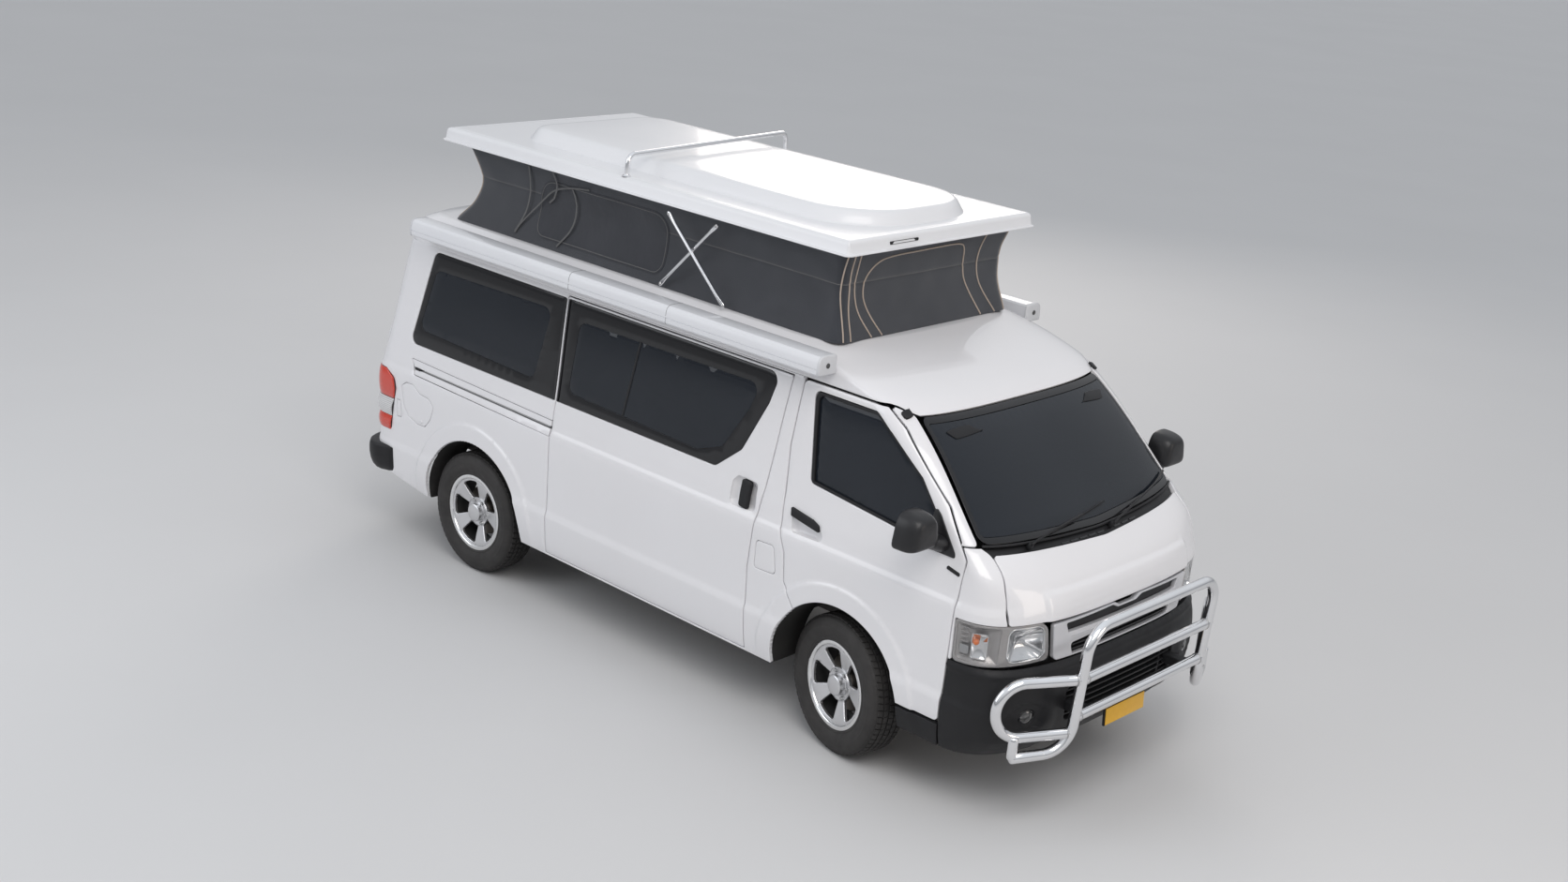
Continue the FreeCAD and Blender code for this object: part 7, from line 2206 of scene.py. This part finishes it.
def makeBullBar():
    f = barForm

    def lean(z):
        return f["lowX"] + (f["topX"] - f["lowX"]) * (z - f["low"]) / (f["top"] - f["low"])

    half = [(f["stub"][0], -f["stub"][1], f["low"]), (f["lowX"], -f["half"], f["low"]),
            (f["topX"], -f["half"], f["top"])]
    points = half + [(x, -y, z) for x, y, z in half[::-1]]
    path = roundedPath(points, [f["lowBend"], f["topBend"], f["topBend"], f["lowBend"]], 0.07)
    hoop = sweep("barHoop", path, f["radius"], "polished", steps=24)
    pieces = [hoop]
    for z in f["rails"]:
        ends2 = [(lean(z), -f["half"] + 0.004, z), (lean(z), f["half"] - 0.004, z)]
        rail = [tuple(np.array(ends2[0]) * (1 - t) + np.array(ends2[1]) * t)
                for t in np.linspace(0, 1, 12)]
        pieces.append(sweep("barRail", rail, f["radius"], "polished", steps=24,
                            caps=False))
        for side in (-1, 1):
            pieces.append(turned("railBead", [(-0.0035, 0.025), (-0.002, 0.0272),
                                              (0.002, 0.0272), (0.0035, 0.025)],
                                 (lean(z), side * (f["half"] - 0.0255), z), (0, 1, 0),
                                 "steel", steps=24))
    x, y, top, low = f["loop"]
    for side in (-1, 1):
        loop = [(lean(top), side * (f["half"] - 0.004), top), (x, side * y, top),
                (x, side * y, low), (lean(low), side * (f["half"] - 0.004), low)]
        path = roundedPath(loop, [f["loopBend"], f["loopBend"]], 0.08)
        pieces.append(sweep("barLoop", path, f["radius"], "polished", steps=24,
                            caps=False))
        way = Vector((x, side * y, top)) - Vector((lean(top), side * f["half"], top))
        way.normalize()
        for z in (top, low):
            spot = Vector((lean(z), side * f["half"], z)) + way * 0.0255
            pieces.append(turned("loopBead", [(-0.0035, 0.025), (-0.002, 0.027),
                                              (0.002, 0.027), (0.0035, 0.025)],
                                 tuple(spot), tuple(way), "steel", steps=24))
        sx, sy = f["stub"]
        stub = [(sx, side * sy, f["low"] + 0.005 + (low - f["low"]) * t)
                for t in np.linspace(0, 1, 5)]
        pieces.append(sweep("barStub", stub, 0.0235, "polished", steps=24))
    placeOn(joined("bullBar", pieces), "chassis", "bull_bar", slot="polished_steel")
    for side in (-1, 1):
        arm = [(2.085, side * 0.4 - 0.03, 0.503), (2.375, side * 0.4 + 0.03, 0.548)]
        roundedBox("barArm%d" % side, arm[0], arm[1], 0.006, "blackPlastic", "chassis",
                   "steel")


linerForm = {"inner": 0.615, "turns": (-6, 186)}


# black liners in the wheel arches; their rear ends hang down as mud flaps
def makeLiners():
    for index, key in enumerate(("front", "rear")):
        ax, az, r = arches[index]
        for side, name in bothSides:
            rows = []
            for turn in np.radians(np.linspace(*linerForm["turns"], 56)):
                ring = []
                low = turn > math.pi or turn < 0
                out = r + 0.004
                for away, y in ((out, linerForm["inner"]), (out - 0.004, 0.7),
                                (out - 0.004, 0.79), (out - 0.002, 0.812), (out, 0.822),
                                (out + 0.004, 0.824), (out + 0.006, 0.812),
                                (out + 0.006, linerForm["inner"])):
                    if low:
                        x = ax + math.copysign(away, math.cos(turn))
                        z = az - abs(math.sin(turn)) * r
                    else:
                        x, z = ax + away * math.cos(turn), az + away * math.sin(turn)
                    edge = float(halfWidth(max(z, 0.26))) - 0.024
                    ring.append((x, side * min(y, edge) if y > 0.7 else side * y, z))
                rows.append(ring)
            gridMesh("archLiner.%s.%s" % (key, name), rows, "linerBlack", closed=True,
                     caps=True, body="chassis", slot="black_plastic")


def makePlates():
    low, high = (2.3, -0.125, 0.345), (2.3035, 0.185, 0.425)
    tilt = Matrix.Translation((2.3, 0, 0.38)) @ Matrix.Rotation(math.radians(-4), 4, "Y") \
        @ Matrix.Translation((-2.3, 0, -0.38))
    roundedBox("frontPlate", low, high, 0.0012, "plate", "chassis", "body_paint",
               matrix=tilt)
    roundedBox("frontPlateBack", (2.288, -0.13, 0.341), (2.2995, 0.19, 0.429), 0.003,
               "blackPlastic", "chassis", "black_plastic", matrix=tilt)


makeHandles()
makeSideDetails()
makeTailLamps()
makeRearBumper()
makeTailgateTrim()
makeMirrors()
makeBullBar()
makeLiners()
makePlates()
print("stage: outer trim made")

# cabin, living space and the underside


padForm = {"voxel": 0.006, "pressure": 4.0, "frames": 20, "cap": 0.022, "fill": 0.7,
           "rows": 14, "power": 4.0, "draw": 0.03}


# cushion: a rounded block blown up as cloth, with its movement held under a cap
def plump(name, outline, place, key, body, slot, cap=None):
    made = softBlock(name + ".start", outline, place, key)
    made = blownUp(made, cap or padForm["cap"])
    made.name = name
    made.data.name = name
    for polygon in made.data.polygons:
        polygon.use_smooth = True
    placeOn(made, body, slot=slot)
    return made


# block with crowned faces and sides that draw in between the corners
def softBlock(name, size, place, key):
    rows, power, draw = [], padForm["power"], padForm["draw"]
    wide, deep, tall = (v / 2 for v in size)
    for t in np.linspace(-1, 1, padForm["rows"]):
        t = math.sin(t * math.pi / 2)
        share = max(1e-3, (1 - abs(t) ** power) ** (1 / power))
        ring = []
        for a in np.linspace(0, 2 * math.pi, 48, endpoint=False):
            c, s = math.cos(a), math.sin(a)
            x = math.copysign(abs(c) ** (2 / power), c)
            y = math.copysign(abs(s) ** (2 / power), s)
            crown = 0.94 + 0.06 * share
            ring.append((x * wide * crown,
                         y * deep * (1 - draw * (1 - x * x) * (1 - t * t)) * crown, t * tall))
        flat = [(x * share, y * share, z) for x, y, z in ring]
        rows.append(ring if abs(t) < 0.9 else flat)
    made = gridMesh(name, rows, key, closed=True, caps=True)
    made.data.transform(place)
    return made


def blownUp(start, cap):
    f = padForm
    copy = start.copy()
    copy.data = start.data.copy()
    bpy.context.collection.objects.link(copy)
    remesh = copy.modifiers.new("remesh", "REMESH")
    remesh.mode, remesh.voxel_size = "VOXEL", f["voxel"]
    graph = bpy.context.evaluated_depsgraph_get()
    mesh = bpy.data.meshes.new_from_object(copy.evaluated_get(graph))
    copy.modifiers.clear()
    copy.data = mesh
    rest = np.array([v.co[:] for v in mesh.vertices])
    cloth = copy.modifiers.new("cloth", "CLOTH")
    cloth.settings.use_pressure = True
    cloth.settings.uniform_pressure_force = f["pressure"]
    cloth.settings.quality = 4
    cloth.settings.effector_weights.gravity = 0
    cloth.point_cache.frame_start, cloth.point_cache.frame_end = 1, f["frames"]
    scene = bpy.context.scene
    for number in range(1, f["frames"] + 1):
        scene.frame_set(number)
    graph = bpy.context.evaluated_depsgraph_get()
    blown = bpy.data.meshes.new_from_object(copy.evaluated_get(graph))
    copy.modifiers.clear()
    moved = np.array([v.co[:] for v in blown.vertices]) - rest
    reach = np.maximum(np.linalg.norm(moved, axis=1, keepdims=True), 1e-9)
    kept = rest + moved / reach * np.minimum(reach, cap)
    blown.vertices.foreach_set("co", kept.astype(np.float32).ravel())
    blown.update()
    material = start.data.materials[0]
    copy.data = blown
    copy.data.materials.clear()
    copy.data.materials.append(material)
    bpy.data.meshes.remove(mesh)
    bpy.data.objects.remove(start)
    scene.frame_set(1)
    return copy


seatForm = {"y": 0.415, "cushion": (0.42, 0.44, 0.115), "back": (0.44, 0.58, 0.105),
            "head": (0.25, 0.16, 0.095), "lean": 9.5}


def makeSeats():
    f = seatForm
    for side, name in bothSides:
        y = side * f["y"]
        place = Matrix.Translation((1.275, y, 0.862)) @ Matrix.Rotation(math.radians(-4), 4, "Y")
        plump("seatCushion." + name, f["cushion"], place, "seat", "chassis", "cloth")
        lean = Matrix.Rotation(math.radians(-f["lean"]), 4, "Y")
        up = Matrix.Rotation(math.radians(90), 4, "Y") @ Matrix.Rotation(math.radians(90), 4, "Z")
        place = Matrix.Translation((1.045, y, 1.16)) @ lean @ up
        plump("seatBack." + name, f["back"], place, "seat", "chassis", "cloth")
        place = Matrix.Translation((0.972, y, 1.49)) @ lean @ up
        plump("headRest." + name, f["head"], place, "seat", "chassis", "cloth", 0.014)
        for off in (-0.055, 0.055):
            tube("headRod", [(0.998, y + off, 1.385), (0.988, y + off, 1.445)], 0.006,
                 "steel", "chassis", "steel")
        roundedBox("seatBase." + name, (1.06, y - 0.19, 0.7725), (1.46, y + 0.19, 0.815),
                   0.01, "trim", "chassis", "trim",
                   replaced=("seats",) if side < 0 else ())
        for edge in (-0.226, 0.214):
            roundedBox("seatHinge", (1.05, y + edge, 0.845), (1.13, y + edge + 0.012, 0.945),
                       0.005, "trim", "chassis", "trim")


wheelForm = {"centre": (1.656, 0.415, 1.175), "lean": -35, "radius": 0.185, "tube": 0.0135}


def makeDriver():
    f = wheelForm
    place = Matrix.Translation(f["centre"]) @ Matrix.Rotation(math.radians(f["lean"]), 4, "Y")
    pieces = []
    rim = [(f["radius"] * math.cos(a), f["radius"] * math.sin(a), 0)
           for a in np.linspace(0, 2 * math.pi, 73)]
    pieces.append(sweep("wheelRim", rim, f["tube"], "trim", steps=14, caps=False))
    for turn in (0, 90, -90):
        a = math.radians(turn + 180)
        spoke = [(r * math.cos(a), r * math.sin(a), h) for r, h in
                 ((0.05, -0.02), (0.1, -0.018), (0.15, -0.006), (0.182, 0.0))]
        pieces.append(tube("wheelSpoke", spoke, 0.011, "trim"))
    pieces.append(turned("wheelPad", [(-0.045, 0.0), (-0.045, 0.06), (-0.03, 0.074),
                                      (-0.012, 0.076), (0.0, 0.07), (0.006, 0.045),
                                      (0.008, 0.0)], (0, 0, 0), (0, 0, 1), "trim"))
    pieces.append(turned("column", [(-0.15, 0.0), (-0.15, 0.013), (-0.045, 0.013),
                                    (-0.04, 0.0)], (0, 0, 0), (0, 0, 1), "trim",
                         steps=24))
    made = joined("steeringWheel", pieces, place)
    placeOn(made, "steering_wheel", "steering_wheel", slot="trim")
    rows = []
    for t in np.linspace(0, 1, 9):
        x = 1.768 + 0.107 * t
        lift = 0.06 * math.sin(math.pi * min(1, 0.25 + t * 0.75)) ** 0.7
        rows.append([(x, 0.415 + 0.19 * math.cos(a), 1.172 + lift * abs(math.sin(a)) ** 0.6)
                     for a in np.linspace(0, math.pi, 24)]
                    + [(x, 0.415 - 0.17, 1.165), (x, 0.415 + 0.17, 1.165)])
    gridMesh("clusterHood", rows, "trim", closed=True, caps=True, body="chassis",
             slot="trim")
    roundedBox("radioPanel", (1.694, -0.115, 0.93), (1.704, 0.115, 1.1), 0.004,
               "blackGloss", "chassis", "trim")
    for y in (-0.56, -0.2, 0.2, 0.66):
        vent = roundedBox("ventSlat", (1.69, y - 0.055, 1.1), (1.702, y + 0.055, 1.1045),
                          0.0015, "blackPlastic")
        slats = repeat("dashVent", vent, 6, "blackPlastic", step3=(0, 0, 0.0105))
        placeOn(slats, "chassis", slot="trim")
    tube("gearLever", [(1.69, 0.06, 0.96), (1.64, 0.06, 1.0), (1.6, 0.06, 1.06)], 0.009,
         "steel", "chassis", "steel")
    ball("gearKnob", (1.596, 0.06, 1.072), 0.024, "trim", "chassis", "trim")


unitForm = {"x": (-0.936, 0.11), "y": (0.432, 0.698), "z": (0.587, 1.018), "top": 0.028,
            "doors": 3}


def makeLiving():
    f = unitForm
    x0, x1 = f["x"]
    y0, y1 = f["y"]
    z0, z1 = f["z"]
    roundedBox("unitCarcass", (x0 + 0.004, y0 + 0.018, z0), (x1 - 0.004, y1, z1 - f["top"]),
               0.004, "wood", "chassis", "wood", replaced=("kitchen_unit",))
    roundedBox("unitTop", (x0, y0, z1 - f["top"]), (x1, y1, z1), 0.008, "laminate",
               "chassis", "wood")
    wide = (x1 - x0 - 0.012) / f["doors"]
    for k in range(f["doors"]):
        a = x0 + 0.006 + wide * k
        roundedBox("unitDoor%d" % k, (a + 0.003, y0 + 0.002, z0 + 0.045),
                   (a + wide - 0.003, y0 + 0.018, z1 - f["top"] - 0.006), 0.003,
                   "wood", "chassis", "wood")
        ball("unitKnob%d" % k, (a + wide - 0.05, y0 - 0.004, z1 - 0.09), 0.011, "steel",
             "chassis", "steel")
    turned("unitSink", [(0.0005, 0.132), (0.004, 0.134), (0.006, 0.128), (0.003, 0.118),
                        (0.0015, 0.0)], (-0.7, 0.565, z1), (0, 0, 1), "steel",
           body="chassis", slot="steel")
    for x in (-0.36, -0.13):
        turned("unitBurner", [(0.0005, 0.09), (0.005, 0.088), (0.006, 0.06), (0.012, 0.055),
                              (0.013, 0.025), (0.018, 0.022), (0.019, 0.0)], (x, 0.565, z1),
               (0, 0, 1), "blackGloss", body="chassis", slot="steel")
    roundedBox("benchBox", (-2.166, -0.423, 0.587), (-1.21, 0.423, 0.775), 0.006,
               "wood", "chassis", "wood", replaced=("rear_bench",))
    for k, x in enumerate((-1.928, -1.448)):
        place = Matrix.Translation((x, 0, 0.832))
        plump("benchCushion%d" % k, (0.455, 0.825, 0.095), place, "benchCloth",
              "chassis", "cloth", 0.016)


# grey trim inside the doors and the tailgate
def makeLinings():
    for side, name in bothSides:
        flatLoop = outlineOfDoor(gap + 0.03)
        flat = np.stack([sideU("nose", flatLoop[:, 0], flatLoop[:, 1], side), flatLoop[:, 1]], 1)
        hole = moveLoop(sideLoop("nose", side, outlines["doorWindow"], 0.03), 0.01)
        fitted("doorLining." + name, flat, [hole], onBody("nose", 0.0305), "trim",
               "front_door_" + name, "trim", lip=0.004, depth=0.014, grid=0.06)
        y = side * (0.845 - 0.062)
        roundedBox("doorRest." + name, (1.05, min(y, y - side * 0.03), 0.985),
                   (1.42, max(y, y - side * 0.03), 1.03), 0.012, "trim",
                   "front_door_" + name, "trim")
    loop = frontLoop("tail", outlines["tailgate"], 0.03)
    hole = frontLoop("tail", outlines["rearWindow"], 0.05)
    fitted("tailgateLining", moveLoop(loop, -0.05), [moveLoop(hole, 0.012)],
           onBody("tail", 0.0185), "trim", "tailgate", "trim", lip=0.004, depth=0.012,
           grid=0.06)


barPath = {"near": (-0.498, -0.648), "far": (-0.648, 0.648), "foot": 2.36, "top": 2.461,
           "bend": 0.045, "radius": 0.0125}


def makeRoofBar():
    f = barPath
    points = [(f["near"][0], f["near"][1], f["foot"]),
              (f["near"][0], f["near"][1] + 0.006, f["top"]),
              (f["far"][0], f["far"][1] - 0.006, f["top"]), (f["far"][0], f["far"][1], f["foot"])]
    sweep("roofBar", roundedPath(points, f["bend"]), f["radius"], "polished", "pop_top",
          "polished_steel", ("roof_cross_bar",), steps=20)


nodeFinishes = {"dashboard": "trim", "floor_pan": "under", "chassis_frame": "under",
                "front_suspension": "under", "knuckle_left": "under", "knuckle_right": "under",
                "rear_axle": "under", "leaf_spring_left": "under", "leaf_spring_right": "under",
                "engine": "discIron", "fuel_tank": "under", "exhaust": "exhaustSteel",
                "wheel_wells": "under"}


def dressNodes():
    for node, key in nodeFinishes.items():
        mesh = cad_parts[node].data
        mesh.materials.clear()
        mesh.materials.append(finish[key])


makeSeats()
makeDriver()
makeLiving()
makeLinings()
makeRoofBar()
dressNodes()
print("stage: cabin, living space and underside made")
